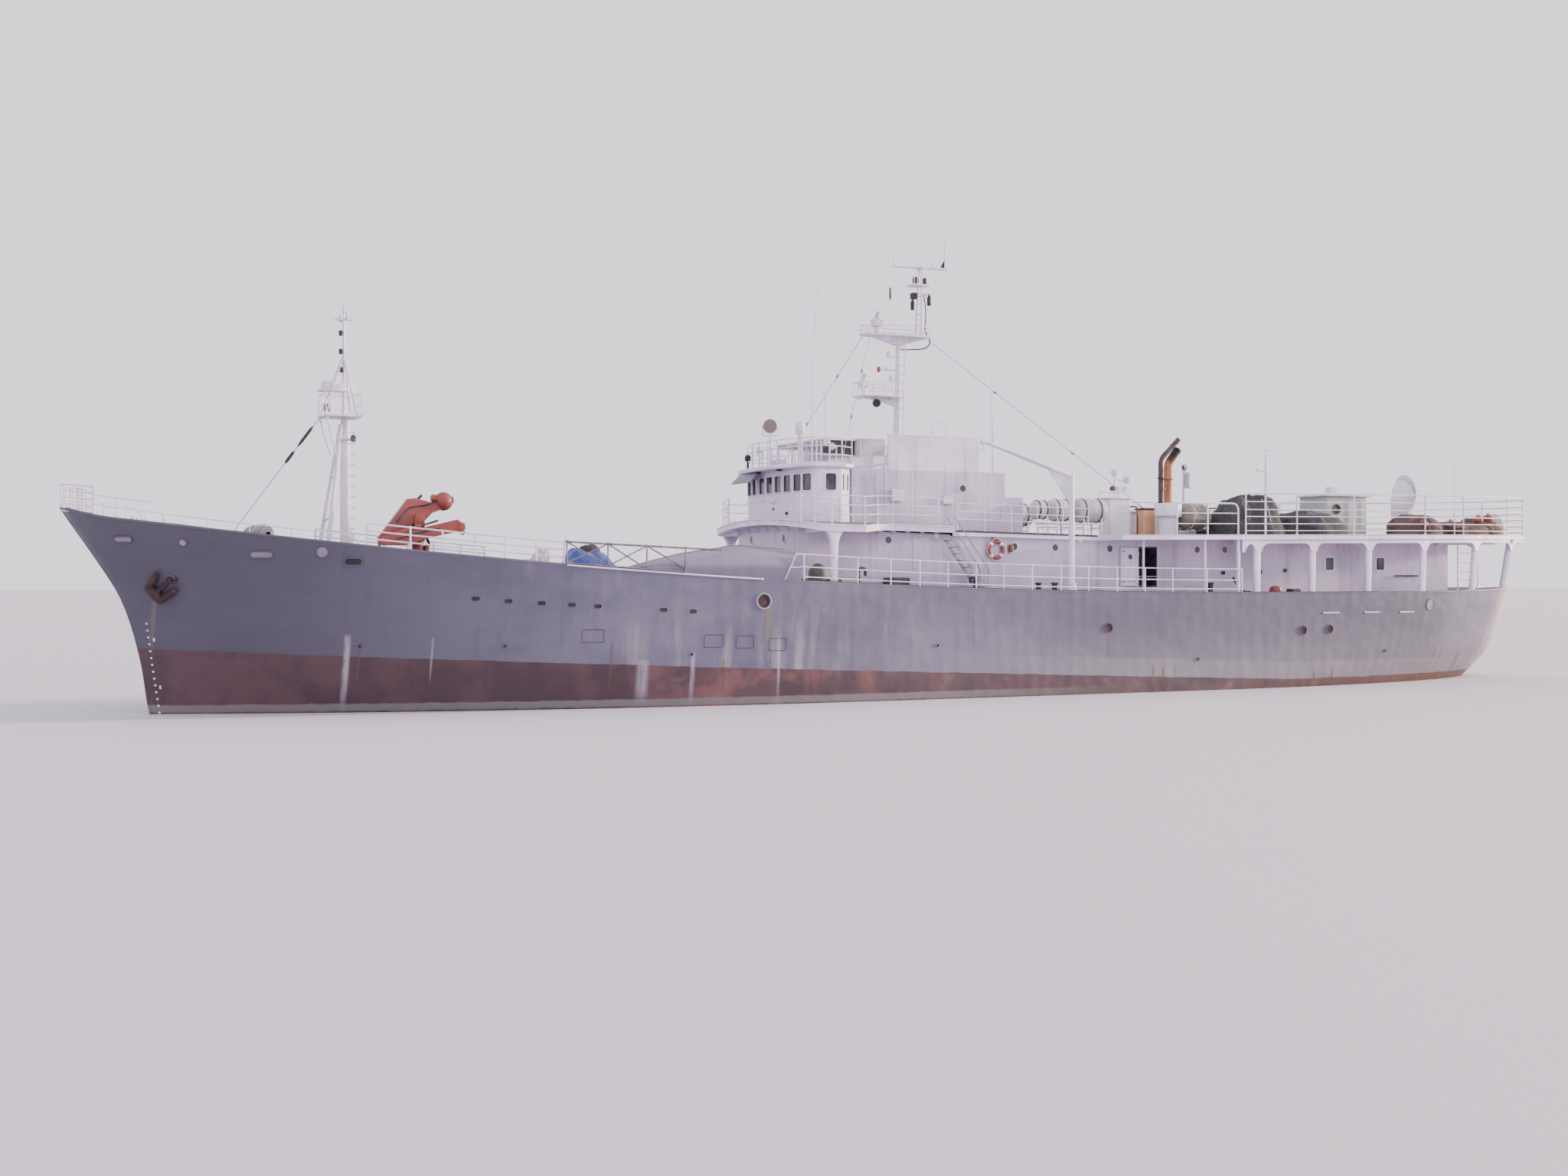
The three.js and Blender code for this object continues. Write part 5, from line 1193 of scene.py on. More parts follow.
def build_crane():
    x, y, z = CRANE_X, CRANE_Y, PIVOT_Z
    base = Shape()
    base.lathe((x, y, 3.95), UP,
               [(0.44, 0), (0.44, 0.06), (0.34, 0.08), (0.31, 0.3), (0.31, 0.66), (0.35, 0.68), (0.35, 0.7498)],
               28)
    for a in turns(8):
        corners = ((0.3, 4.4), (0.3, 4.02), (0.42, 4.02))
        base.prism([(x + r * math.cos(a), y + r * math.sin(a), level) for r, level in corners],
                   (0.02 * math.sin(a), -0.02 * math.cos(a), 0.005))
    base.make("crane_pedestal", [RED], replaces=("crane_base",))

    column = Shape()
    column.lathe((x, y, 4.701), UP, [(0.305, 0), (0.305, 0.1), (0.22, 0.13), (0.2, 0.5), (0.2, 1.08)], 28)
    for side in (1, -1):
        beam(column, [(x - 0.17, 5.5), (x + 0.17, 5.5), (x + 0.17, z + 0.05), (x + 0.1, z + 0.17),
                      (x - 0.1, z + 0.17),
                      (x - 0.17, z + 0.05)], y + side * 0.19 - 0.03, y + side * 0.19 + 0.03, 0.01)
        column.cylinder((x, y + side * 0.2, z), (x, y + side * 0.245, z), 0.11, 16)
    column.box(x - 0.16, x + 0.16, y - 0.2, y + 0.2, 5.5, 5.76, 0.03)
    column.box(x - 0.34, x - 0.18, y - 0.2, y + 0.2, 4.95, 5.35, 0.04)
    column.skin = 1
    for k in range(4):
        column.cylinder((x - 0.4, y - 0.12 + 0.08 * k, 5.33), (x - 0.28, y - 0.12 + 0.08 * k, 5.62), 0.015, 6)
    column.make("crane_post", [RED, DARK_STEEL_AND_SHADE], "crane_column", ("crane_column",))

    boom = Shape()
    kx, kz = KNUCKLE
    outline = [(kx + 0.1, kz - 0.14), (kx + 0.12, kz + 0.14), (20.12, 6.86), (19.88, 6.9), (19.3, 6.76),
               (18.95, 6.8),
               (18.9, 6.56), (19.3, 6.42), (x - 0.12, z - 0.12), (x + 0.15, z - 0.14)]
    beam(boom, outline, y - 0.14, y + 0.14, 0.03)
    boom.cylinder((kx, y - 0.17, kz), (kx, y + 0.338, kz), 0.1, 18)
    boom.cylinder((x, y - 0.155, z), (x, y + 0.155, z), 0.1, 18)
    boom.ball((18.9, y, 6.81), 0.31, (1, 0.95, 1), 24, 14)
    boom.ring((18.9, y, 6.81), (0, 1, 0), 0.27, 0.035, 24, 8)
    boom.lathe((19.14, y, 6.9), (1, 0, 0), [(0.05, 0), (0.13, 0.02), (0.13, 0.14), (0.1, 0.18)], 18)
    boom.skin = 1
    boom.lathe((18.61, y, 6.86), (-1, 0, 0.12), [(0.12, 0), (0.12, 0.02), (0.05, 0.03)], 18)
    cylinder_rod(boom, (20.72, y, 5.98), (19.62, y, 7.0), 0.075, 0.045, 0.6)
    boom.skin = 1
    for path in ([(20.5, y + 0.16, 6.1), (20.1, y + 0.17, 6.6), (19.5, y + 0.17, 6.66),
                  (19.0, y + 0.17, 6.9)],
                 [(20.5, y - 0.16, 6.05), (20.1, y - 0.17, 6.55), (19.5, y - 0.17, 6.6)]):
        boom.tube(fillet(path, 0.2, 4), 0.022, 6)
    boom.make("crane_main_arm", [RED, DARK_STEEL_AND_SHADE], "crane_boom", ("crane_boom",))

    jib = Shape()
    near, far = y + 0.34, y + 0.56
    middle = (near + far) / 2
    outline = [(kx + 0.12, kz - 0.12), (kx + 0.08, kz + 0.16), (19.3, 6.02), (18.56, 6.2), (18.36, 6.05),
               (18.46, 5.82),
               (19.3, 5.64), (20.3, 5.34)]
    beam(jib, outline, near, far, 0.03)
    jib.cylinder((kx, near + 0.005, kz), (kx, far + 0.03, kz), 0.13, 18)
    outline = [(18.5, 6.12), (18.34, 6.08), (18.3, 5.92), (18.4, 5.8), (18.56, 5.84)]
    beam(jib, outline, near - 0.02, far + 0.02, 0.02)
    cylinder_rod(jib, (20.6, middle, 5.72), (19.2, middle, 6.16), 0.06, 0.035, 0.55)
    jib.skin = 1
    jib.ring((18.38, middle, 5.78), (0, 1, 0), 0.07, 0.02, 16, 6)
    jib.tube(fillet([(20.7, far + 0.02, 5.5), (20.0, far + 0.02, 5.72), (19.2, far + 0.02, 5.9)], 0.2, 4),
             0.018, 6)
    jib.make("crane_fly_jib", [RED, DARK_STEEL_AND_SHADE], "crane_jib", ("crane_jib",))


def build_hatch_lid():
    lid = Shape()
    z = 3.8512
    lid.box(11.56, 14.24, -1.34, 1.34, z, z + 0.08, 0.02)
    for x in (11.9, 12.4, 12.9, 13.4, 13.9):
        lid.box(x - 0.03, x + 0.03, -1.28, 1.28, z + 0.05, z + 0.1, 0.01)
    for x, y in ((11.75, 1.15), (13.0, 1.25), (14.05, 1.15)):
        for side in (1, -1):
            lid.cylinder((x, side * y, z + 0.04), (x, side * y, z + 0.099), 0.05, 10)
    lid.make("hatch_cover", [PLAIN_WHITE], "hatch_lid", ("hatch_lid",))


# Fore mast and its stay
def ladder(shape, foot, head, wide, step=0.3, across=(0, 1, 0), bar=0.016):
    foot, head, across = Vector(foot), Vector(head), Vector(across) * (wide / 2)
    for side in (1, -1):
        shape.tube([foot + across * side, head + across * side], bar * 1.2, 6)
    count = int((head - foot).length / step)
    for i in range(1, count):
        spot = foot.lerp(head, i / count)
        shape.tube([spot - across, spot + across], bar, 6)


def build_fore_mast():
    x = 21.9
    mast = Shape()
    mast.tube([vec(x, 0, z) for z in (4.25, 6.0, 8.0, 9.6)], [0.19, 0.18, 0.165, 0.15], 18)
    mast.lathe((x, 0, 4.38), UP, [(0.34, 0), (0.34, 0.04), (0.22, 0.1), (0.19, 0.3)], 20)
    for side in (1, -1):
        leg = [(22.75, side * 0.75, 4.35), (22.4, side * 0.42, 6.8), (22.05, side * 0.08, 9.3)]
        mast.tube(leg, [0.075, 0.07, 0.06], 12)
        mast.cylinder((22.75, side * 0.75, 4.36), (22.75, side * 0.75, 4.46), 0.13, 12)
        mast.tube([(x - 0.3, side * 0.45, 9.6), (21.95, side * 0.04, 11.5)], 0.045, 8)
        mast.tube([(22.62, side * 0.45, 9.6), (21.99, side * 0.04, 11.5)], 0.03, 8)
        mast.tube([(22.3, side * 0.4, 8.3), (22.62, side * 0.55, 9.5)], 0.03, 8)
    for z, half in ((6.2, 0.5), (7.6, 0.3)):
        leg_x = 22.75 - (z - 4.35) * 0.141
        mast.tube([(leg_x, half, z), (leg_x, -half, z)], 0.035, 8)
    mast.box(21.45, 22.68, -0.58, 0.58, 9.52, 9.58, 0.015)
    for end in (21.48, 22.65):
        rail(mast, [(end, -0.55, 9.58), (end, 0.55, 9.58)], (0.35, 0.7), 0.018, 0.02, foot_drop=0.0)
    for y in (0.55, -0.55):
        mast.tube([(21.48, y, 10.28), (22.65, y, 10.28)], 0.016, 6)
    mast.box(21.87, 22.76, -0.33, 0.33, 10.37, 10.43, 0.015)
    mast.box(22.36, 22.66, -0.16, 0.16, 10.44, 10.72, 0.03)
    mast.box(22.02, 22.28, -0.14, 0.14, 10.43, 10.62, 0.03)
    mast.tube([vec(21.95, 0, z) for z in (9.55, 11.5, 12.7, 13.2)], [0.06, 0.052, 0.045, 0.035], 10)
    mast.cylinder((21.95, -0.58, 12.74), (21.95, 0.58, 12.74), 0.03, 8)
    mast.cylinder((21.64, 0, 12.74), (22.26, 0, 12.74), 0.03, 8)
    for y in (0.5, -0.5):
        mast.cylinder((21.95, y, 12.76), (21.95, y, 12.95), 0.05, 10)
    mast.ring((21.9, 0, 8.82), (0, 0, 1), 0.22, 0.03, 24, 8)
    for z in spread(5.2, 9.05, 11):
        step = [(x - 0.16, -0.14, z), (x - 0.3, -0.14, z), (x - 0.3, 0.14, z), (x - 0.16, 0.14, z)]
        mast.tube(fillet(step, 0.04, 2), 0.013, 6)
    mast.skin = 1
    mast.lathe((21.72, 0.34, 8.72), UP, [(0.02, 0), (0.09, 0.03), (0.1, 0.16), (0.06, 0.22), (0.02, 0.24)],
               14)
    mast.lathe((22.5, 0, 9.7), UP, [(0.02, 0), (0.1, 0.02), (0.1, 0.2), (0.05, 0.26), (0.01, 0.27)], 14)
    mast.skin = 2
    for z, y in ((11.0, 0.09), (11.6, 0.08), (12.2, 0.07)):
        mast.lathe((22.06, y, z), UP, [(0.03, 0), (0.07, 0.02), (0.07, 0.16), (0.03, 0.18)], 12)
    mast.make("fore_mast_tubes", [PLAIN_WHITE, GLASS, BLACK_AND_HOLE_SHADE], replaces=("fore_mast",))

    stay = Shape()
    top, foot = vec(22.70, 0, 9.56), vec(26.1, 0, 4.9)
    stay.tube([top, foot], 0.014, 6)
    stay.skin = 1
    near, far = vec(22.95, 0, 9.217), vec(23.85, 0, 7.983)
    along = (far - near).normalized()
    for start, reaches, radii in ((near, (0, 0.12, 0.2, 0.62, 0.7, 0.85),
                                   [0.015, 0.045, 0.05, 0.05, 0.04, 0.015]),
                                  (far, (-0.5, -0.42, -0.1, 0), [0.015, 0.05, 0.05, 0.015])):
        stay.tube([start + along * reach for reach in reaches], radii, 12)
    stay.make("fore_stay_wire", [GALVANISED_AND_SHADE, BLACK_AND_HOLE_SHADE], replaces=("fore_mast_stay",))


# Main mast, its platforms and the two scanners
RADAR_TURN = -26


def build_main_mast():
    mast = Shape()
    mast.tube([(1.19, 0, 8.1), (1.14, 0, 10.3), (1.09, 0, 12.2), (1.06, 0, 13.45)], [0.14, 0.125, 0.11, 0.1],
              16)
    mast.lathe((1.19, 0, 8.2), UP, [(0.28, 0), (0.28, 0.03), (0.17, 0.08), (0.14, 0.22)], 18)
    mast.box(1.02, 2.83, -0.43, 0.43, 11.07, 11.12, 0.015)
    beam(mast, [(1.1, 10.72), (1.35, 10.78), (1.85, 10.93), (2.75, 11.05), (2.75, 11.08), (1.1, 11.08)],
         -0.07, 0.07, 0.02)
    for x in (1.5, 2.1, 2.7):
        mast.prism([(x, -0.4, 11.06), (x, 0.4, 11.06), (x, 0.08, 10.95), (x, -0.08, 10.95)], (0.02, 0, 0))
    for y in (0.4, -0.4):
        mast.tube(fillet([(1.1, y, 11.12), (1.1, y, 11.6), (2.8, y, 11.6), (2.8, y, 11.12)], 0.15, 4), 0.018,
                  6)
        mast.tube([(1.1, y, 11.36), (2.8, y, 11.36)], 0.014, 6)
        mast.tube([(1.95, y, 11.12), (1.95, y, 11.6)], 0.016, 6)
    mast.tube([(2.8, -0.4, 11.6), (2.8, 0.4, 11.6)], 0.018, 6)
    mast.lathe((2.55, 0, 11.11), UP, [(0.16, 0), (0.15, 0.03), (0.1, 0.06), (0.1, 0.32)], 18)
    mast.box(2.37, 2.73, -0.18, 0.18, 11.42, 11.68, 0.05)
    outline = [(2.6, -0.3), (2.6, 0.3), (0.9, 0.55), (-0.1, 0.45), (-0.1, -0.45), (0.9, -0.55)]
    mast.prism([(a, b, 13.37) for a, b in outline], (0, 0, 0.08))
    edge = [(2.56, -0.26), (2.56, 0.26), (0.9, 0.5), (-0.06, 0.41), (-0.06, -0.41), (0.9, -0.5),
            (2.56, -0.26)]
    rail(mast, [(a, b, 13.44) for a, b in edge], (0.16, 0.32), 0.014, 0.016, foot_drop=0.0)
    pan = [(2.3, 0.18), (0.95, 0.24), (-0.04, 0.22), (-0.04, -0.22), (0.95, -0.24), (2.3, -0.18)]
    foot = [(1.24, 0.1), (1.08, 0.12), (0.94, 0.1), (0.94, -0.1), (1.08, -0.12), (1.24, -0.1)]
    mast.loft([[vec(a, b, 13.07) for a, b in foot], [vec(a, b, 13.38) for a, b in pan]])
    mast.lathe((1.98, 0, 13.44), UP, [(0.17, 0), (0.16, 0.03), (0.12, 0.06), (0.12, 0.3)], 18)
    mast.box(1.78, 2.18, -0.2, 0.2, 13.72, 14.03, 0.05)
    for side in (1, -1):
        mast.tube([(0.2, side * 0.22, 13.44), (0.15, side * 0.16, 14.8), (0.1, side * 0.1, 16.12)],
                  [0.05, 0.04, 0.03], 10)
    for z, reach, high in ((11.72, 0.32, 0.2), (12.12, 0.5, 0.12), (12.62, 0.42, 0.2)):
        mast.tube([(1.1, 0, z), (1.1 + reach, 0, z)], 0.025, 7)
        profile = [(0.03, 0), (0.07, 0.03), (0.07, high), (0.03, high + 0.04)]
        mast.lathe((1.1 + reach, 0, z - 0.02), UP, profile, 12)
    mast.tube([(1.1, 0, 12.12), (1.92, 0, 12.12)], 0.022, 7)
    for z in (13.9, 14.3, 14.7, 15.1, 15.6):
        half = 0.2 - (z - 13.4) * 0.04
        mast.tube([(0.17, half, z), (0.17, -half, z)], 0.018, 6)
    mast.box(-0.18, 0.58, -0.33, 0.33, 15.36, 15.41, 0.01)
    for y in (0.3, -0.3):
        mast.tube(fillet([(0.55, y, 15.4), (0.55, y, 15.78), (-0.15, y, 15.78), (-0.15, y, 15.4)], 0.1, 3),
                  0.014, 6)
    mast.cylinder((1.3, 0, 16.05), (-1.05, 0, 16.1), 0.05, 10)
    mast.cylinder((0.1, -0.7, 15.0), (0.1, 0.7, 15.0), 0.03, 8)
    mast.box(0.0, 0.2, -0.2, 0.2, 16.0, 16.12, 0.02)
    mast.tube([(-0.96, 0, 16.1), (-0.96, 0, 16.7), (-0.96, 0, 17.26)], [0.028, 0.022, 0.014], 8)
    for x, z in ((1.25, 16.1), (0.72, 16.09), (-0.45, 16.12)):
        mast.cylinder((x, 0, z), (x, 0, z + 0.2), 0.045, 10)
    ladder(mast, (0.98, 0, 8.4), (0.86, 0, 13.3), 0.3, 0.32)
    mast.tube([(1.6, 0.3, 13.44), (1.6, 0.3, 15.2)], 0.012, 6)
    mast.skin = 2
    mast.lathe((1.92, 0, 12.02), UP, [(0.03, 0), (0.07, 0.03), (0.07, 0.17), (0.03, 0.21)], 12)
    mast.skin = 1
    cable = [(0.05, 0.12, 15.09), (-0.02, 0.2, 14.4), (0.05, 0.2, 13.6), (-0.22, 0.24, 13.3),
             (-0.05, 0.2, 13.0),
             (0.3, 0.1, 12.95), (1.0, 0.05, 12.9)]
    mast.tube(fillet(cable, 0.3, 5), 0.022, 7)
    mast.box(0.3, 0.52, -0.12, 0.12, 14.86, 15.1, 0.03)
    mast.tube([(1.6, 0.3, 14.72), (1.6, 0.3, 14.8), (1.6, 0.3, 15.14), (1.6, 0.3, 15.2)],
              [0.015, 0.035, 0.03, 0.012], 8)
    mast.prism([(-0.99, -0.01, 16.05), (-0.7, -0.01, 16.05), (-0.98, -0.01, 16.5)], (0, 0.02, 0))
    for x, z in ((0.4, 15.45), (0.0, 15.43)):
        mast.lathe((x, 0.1, z), UP, [(0.03, 0), (0.1, 0.02), (0.1, 0.2), (0.04, 0.25)], 14)
    mast.lathe((2.2, 0.3, 10.85), (0.3, 0.9, -0.3), [(0.04, 0), (0.1, 0.05), (0.16, 0.12), (0.15, 0.14)], 16)
    for y, z in ((0.62, 14.55), (-0.62, 14.55)):
        mast.lathe((0.1, y, z), UP, [(0.03, 0), (0.08, 0.02), (0.08, 0.3), (0.02, 0.42)], 12)
    mast.make("main_mast_tubes", [PLAIN_WHITE, BLACK_AND_HOLE_SHADE, RED], replaces=("main_mast",))

    turn = Matrix.Rotation(math.radians(RADAR_TURN), 4, "Z")
    for name, x, z, half in (("radar_lower", 2.55, 11.68, 0.7), ("radar_upper", 1.98, 14.03, 0.8)):
        scanner = Shape()
        scanner.lathe((x, 0, z + 0.0005), UP, [(0.11, 0), (0.11, 0.03), (0.07, 0.06), (0.07, 0.12)], 18)
        section = ((1, -0.6), (1, 0.7), (0.7, 1), (-0.7, 1), (-1, 0.5), (-1, -0.7), (-0.6, -1), (0.6, -1))
        rings = []
        for share in spread(-1, 1, 12):
            size = 0.35 if abs(share) == 1 else 1
            rings.append([vec(x, 0, z + 0.16) + turn @ vec(0.068 * size * a, half * share, 0.055 * size * b)
                          for a, b in section])
        scanner.loft(rings)
        scanner.make(name + "_scanner", [PLAIN_WHITE], name, (name,))


STAYS = [
    ("main_stay_fore_port", (2.42, 0.28, 13.42), (4.9, 2.6, 8.36)),
    ("main_stay_fore_starboard", (2.42, -0.28, 13.42), (4.9, -2.6, 8.36)),
    ("main_stay_aft", (-0.1, 0, 13.42), (-10.5, 0, 7.0)),
]


def build_stays():
    for name, top, foot in STAYS:
        shape = Shape()
        top, foot = Vector(top), Vector(foot)
        shape.tube([top, foot], 0.012, 6)
        up = (top - foot).normalized()
        shape.tube([foot + up * reach for reach in (0, 0.1, 0.16, 0.5, 0.56)],
                   [0.012, 0.014, 0.03, 0.03, 0.012], 8)
        for share in (0.35, 0.7):
            spot = foot.lerp(top, share)
            shape.tube([spot + up * reach for reach in (-0.09, -0.06, 0.06, 0.09)],
                       [0.012, 0.045, 0.045, 0.012], 10)
        shape.make(name + "_wire", [GALVANISED_AND_SHADE], replaces=(name,))


# Bridge deck, house and wheelhouse
BRIDGE_OUTLINE = [(0.55, 3.25), (1.9, 3.27), (3.0, 3.28), (3.4, 3.35), (3.75, 3.52), (4.1, 3.78),
                  (4.45, 4.08),
                  (4.7, 4.32), (4.9, 4.5), (5.6, 4.5), (6.3, 4.5), (6.5, 4.46), (6.62, 4.36), (6.72, 4.1),
                  (6.8, 3.7),
                  (6.87, 3.1), (6.93, 2.3), (6.98, 1.5), (7.02, 0.7), (7.04, 0.1)]
CAMBER = 0.28


def bridge_z(x, y):
    return upper_deck_z(x) + CAMBER * (1 - (y / 4.5) ** 2)


def build_bridge_deck():
    shape = Shape()
    top = []
    low = []
    for x, half in BRIDGE_OUTLINE:
        across = spread(-half, half, 16)
        top.append([vec(x, y, bridge_z(x, y) - 0.001) for y in across])
        low.append([vec(x, y * 0.99, bridge_z(x, y) - 0.21) for y in across])
    shape.grid(top)
    shape.skin = 1
    shape.grid(low)
    around, under = ([*[row[-1] for row in rows], *[row[0] for row in reversed(rows)]] for rows in (top, low))
    shape.grid([around, [p - vec(0, 0, 0.05) for p in around], under])
    shape.grid([top[0], low[0]])
    shape.tube([p - vec(0, 0, 0.012) for p in around], 0.028, 8)
    shape.tube(under, 0.022, 8)
    for x in (1.2, 1.8, 2.4, 3.0, 3.6, 4.2, 4.8, 5.4, 6.0, 6.4):
        half = next(b for a, b in reversed(BRIDGE_OUTLINE) if a <= x)
        inner, outer = bridge_z(x, 2.9), bridge_z(x, half)
        bracket = ((2.85, inner - 0.2), (2.85, inner - 0.42), (half - 0.06, outer - 0.24),
                   (half - 0.06, outer - 0.2))
        for side in (1, -1):
            shape.prism([(x, side * y, z) for y, z in bracket], (0.02, 0, 0))
    for y in (-2.4, -1.6, -0.8, 0, 0.8, 1.6, 2.4):
        shape.prism([(6.5, y, 6.1), (6.5, y, 5.9), (6.95, y, 6.12)], (0, 0.02, 0))
    pillar_x, pillar_y = 6.07, 4.3
    for side in (1, -1):
        rings = []
        for z, half in ((3.95, 0.115), (5.2, 0.115), (5.5, 0.14), (5.7, 0.2), (5.85, 0.29), (5.95, 0.42)):
            rings.append([vec(pillar_x + a, side * (pillar_y + (b if b > 0 else b * 0.9)), z)
                          for a, b in contour(half * 2, 0.24, 0.06, 3)])
        shape.loft(rings)
        shape.lathe((pillar_x, side * pillar_y, 3.98), UP, [(0.2, 0), (0.2, 0.04), (0.12, 0.06), (0.12, 0.1)],
                    16)
    shape.make("bridge_deck_plating", [DECK, WHITE], replaces=("bridge_deck",), sharp=30)


HOUSE_Y = 2.9  # half the width of the house and the wheelhouse


def front_x(y, crown=0.23):
    """The bowed front of the wheelhouse, at its foot."""
    return 6.08 + crown * (1 - (y / HOUSE_Y) ** 2)


def wall_bays():
    """The wheelhouse plan from the middle of the front to the middle of the back: points and their windows."""
    points = [(front_x(0.705 * k), 0.705 * k) for k in range(4)]
    windows = {k: (0.5, 0.55) for k in range(4)}
    points.append((6.095, 2.66))
    corner_x, corner_y, corner_r = 5.79, 2.6, 0.3
    for k in range(1, 7):
        angle = math.pi / 2 * k / 6
        points.append((corner_x + corner_r * math.cos(angle), corner_y + corner_r * math.sin(angle)))
    for opening, end in ((0.44, (5.14, HOUSE_Y)), (None, (5.02, 2.885)), (0.14, (4.72, 2.62)),
                         (0.14, (4.42, 2.36)),
                         (None, (4.35, 2.28)), (None, (4.35, 0.0))):
        if opening:
            windows[len(points) - 1] = (0.5, opening)
        points.append(end)
    return points, windows


def wall_bays():
    """The wheelhouse plan from the middle of the front to the middle of the back: points and their windows."""
    def front(y):
        return 6.08 + 0.23 * (1 - (y / 2.9) ** 2)
    points = [(front(0.705 * k), 0.705 * k) for k in range(5)]
    windows = {0: (0.5, 0.55), 1: (0.5, 0.55), 2: (0.5, 0.55), 3: (0.5, 0.55)}
    corner_x, corner_y, corner_r = 5.79, 2.6, 0.3
    points[-1] = (6.095, 2.66)
    for k in range(1, 7):
        angle = math.pi / 2 * k / 6
        points.append((corner_x + corner_r * math.cos(angle), corner_y + corner_r * math.sin(angle)))
    windows[len(points) - 1] = (0.5, 0.44)
    points.append((5.14, 2.9))
    points.append((5.02, 2.885))
    windows[len(points) - 1] = (0.5, 0.14)
    points.append((4.72, 2.62))
    windows[len(points) - 1] = (0.5, 0.14)
    points.append((4.42, 2.36))
    points.append((4.35, 2.28))
    points.append((4.35, 0.0))
    return points, windows


WINDOW_LOW = 7.38
WINDOW_HIGH = 7.99
WALL_THICK = 0.07


def build_wheelhouse():
    walls = Shape()
    points, windows = wall_bays()
    count = len(points)
    normals = []
    for i in range(count):
        before = Vector(points[max(0, i - 1)])
        after = Vector(points[min(count - 1, i + 1)])
        along = (after - before).normalized()
        normals.append(vec(along.y, -along.x, 0))

    def spot(i, z, inside):
        x, y = points[i]
        return vec(x, y, z) - normals[i] * (WALL_THICK if inside else 0)
    low_z, high_z = 6.15, 8.2
    bottom, top = WINDOW_LOW - 0.1, WINDOW_HIGH + 0.1
    for inside in (False, True):
        for z0, z1 in ((low_z, bottom), (top, high_z)):
            walls.grid([[spot(i, z0, inside) for i in range(count)],
                        [spot(i, z1, inside) for i in range(count)]])
    for i in range(count - 1):
        corners = [[spot(i, z, inside), spot(i + 1, z, inside)]
                   for inside in (False, True) for z in (bottom, top)]
        outer, inner = corners[:2], corners[2:]

        def on_bay(face, a, b):
            return face[0][0].lerp(face[0][1], a).lerp(face[1][0].lerp(face[1][1], a), b)
        if i not in windows:
            for face in (outer, inner):
                walls.grid([face[0], face[1]])
            continue
        wide = (outer[0][1] - outer[0][0]).length
        high = top - bottom
        middle, opening = windows[i]
        hole = [(middle + a / wide, 0.5 + b / high) for a,
                b in contour(opening, WINDOW_HIGH - WINDOW_LOW, 0.09, 4)]
        steps = 5
        rim = []
        for k, (a, b) in enumerate(hole):
            quarter, step = divmod(k, steps)
            ea, eb = [(1, 1), (0, 1), (0, 0), (1, 0)][quarter]
            flat_a = step < 2 if quarter % 2 == 0 else step > 2
            flat_b = step > 2 if quarter % 2 == 0 else step < 2
            rim.append((ea if not flat_b else a, eb if not flat_a else b))
        for face in (outer, inner):
            walls.grid([[on_bay(face, a, b) for a, b in hole], [on_bay(face, a, b) for a, b in rim]],
                       wrap=True)
        walls.grid([[on_bay(outer, a, b) for a, b in hole], [on_bay(inner, a, b) for a, b in hole]],
                   wrap=True)
        along = (outer[0][1] - outer[0][0]).normalized()
        outward = vec(along.y, -along.x, 0)
        centre = on_bay(outer, middle, 0.5)
        place = Matrix.Translation(centre) @ Matrix((along, vec(0, 0, 1), outward)).transposed().to_4x4()
        tall = WINDOW_HIGH - WINDOW_LOW
        if opening > 0.2:
            walls.band(place, opening - 0.02, tall - 0.02, 0.08, 0.045, 0.03, 0.05)
        walls.skin = 1
        walls.pane(place, opening - 0.015, tall - 0.015, 0.08, -0.035)
        walls.skin = 2
        walls.band(place @ Matrix.Translation(vec(0, 0, -0.03)), opening - 0.055, tall - 0.055, 0.06, 0.02,
                   0.012, 0.01)
        walls.skin = 0
    seam_z = WINDOW_LOW - 0.27
    walls.tube([vec(p[0], p[1], seam_z) for p in points[:count - 1]], 0.012, 6)
    walls.tube([vec(p[0], p[1], WINDOW_HIGH + 0.15) for p in points[:count - 1]], 0.014, 6)
    for y in (0.0, 0.74, 1.48, 2.2):
        x = front_x(y) + 0.001
        walls.tube([vec(x, y, 6.2), vec(x, y, seam_z)], 0.008, 5)
    for x in (5.1, 5.6):
        walls.tube([vec(x, 2.9, 6.2), vec(x, 2.9, seam_z)], 0.008, 5)
    for z in (6.55, 6.85, 7.15):
        walls.tube(fillet([(6.02, 2.74, z), (6.14, 2.84, z), (6.02, 2.94, z), (5.9, 2.9, z)], 0.05, 2), 0.012,
                   6)
    walls.mirror()
    walls.box(6.28, 6.36, -0.2, 0.2, 7.02, 7.16, 0.02)
    walls.skin = 2
    for y, z in ((0.0, 6.8), (1.05, 6.62)):
        walls.box(6.26, 6.33, y - 0.07, y + 0.07, z - 0.05, z + 0.05, 0.015)
    walls.make("wheelhouse_plating", [WHITE, GLASS, DARK_STEEL_AND_SHADE], replaces=("wheelhouse",),
               sharp=32)

    roof = Shape()
    outline = []
    for k in range(9):
        y = 2.7 * k / 8
        outline.append((6.42 + 0.33 * (1 - (y / 3.02) ** 2), y))
    for k in range(1, 7):
        a = math.pi / 2 * k / 6
        outline.append((6.18 + 0.3 * math.cos(a) - 0.02, 2.72 + 0.3 * math.sin(a)))
    outline += [(5.6, 3.02), (4.92, 3.02), (4.36, 2.56), (4.36, 0.0)]
    full = [*outline, *[(x, -y) for x, y in reversed(outline[1:-1])]]
    z0, z1 = 8.202, 8.36
    centre = vec(5.4, 0, 0)

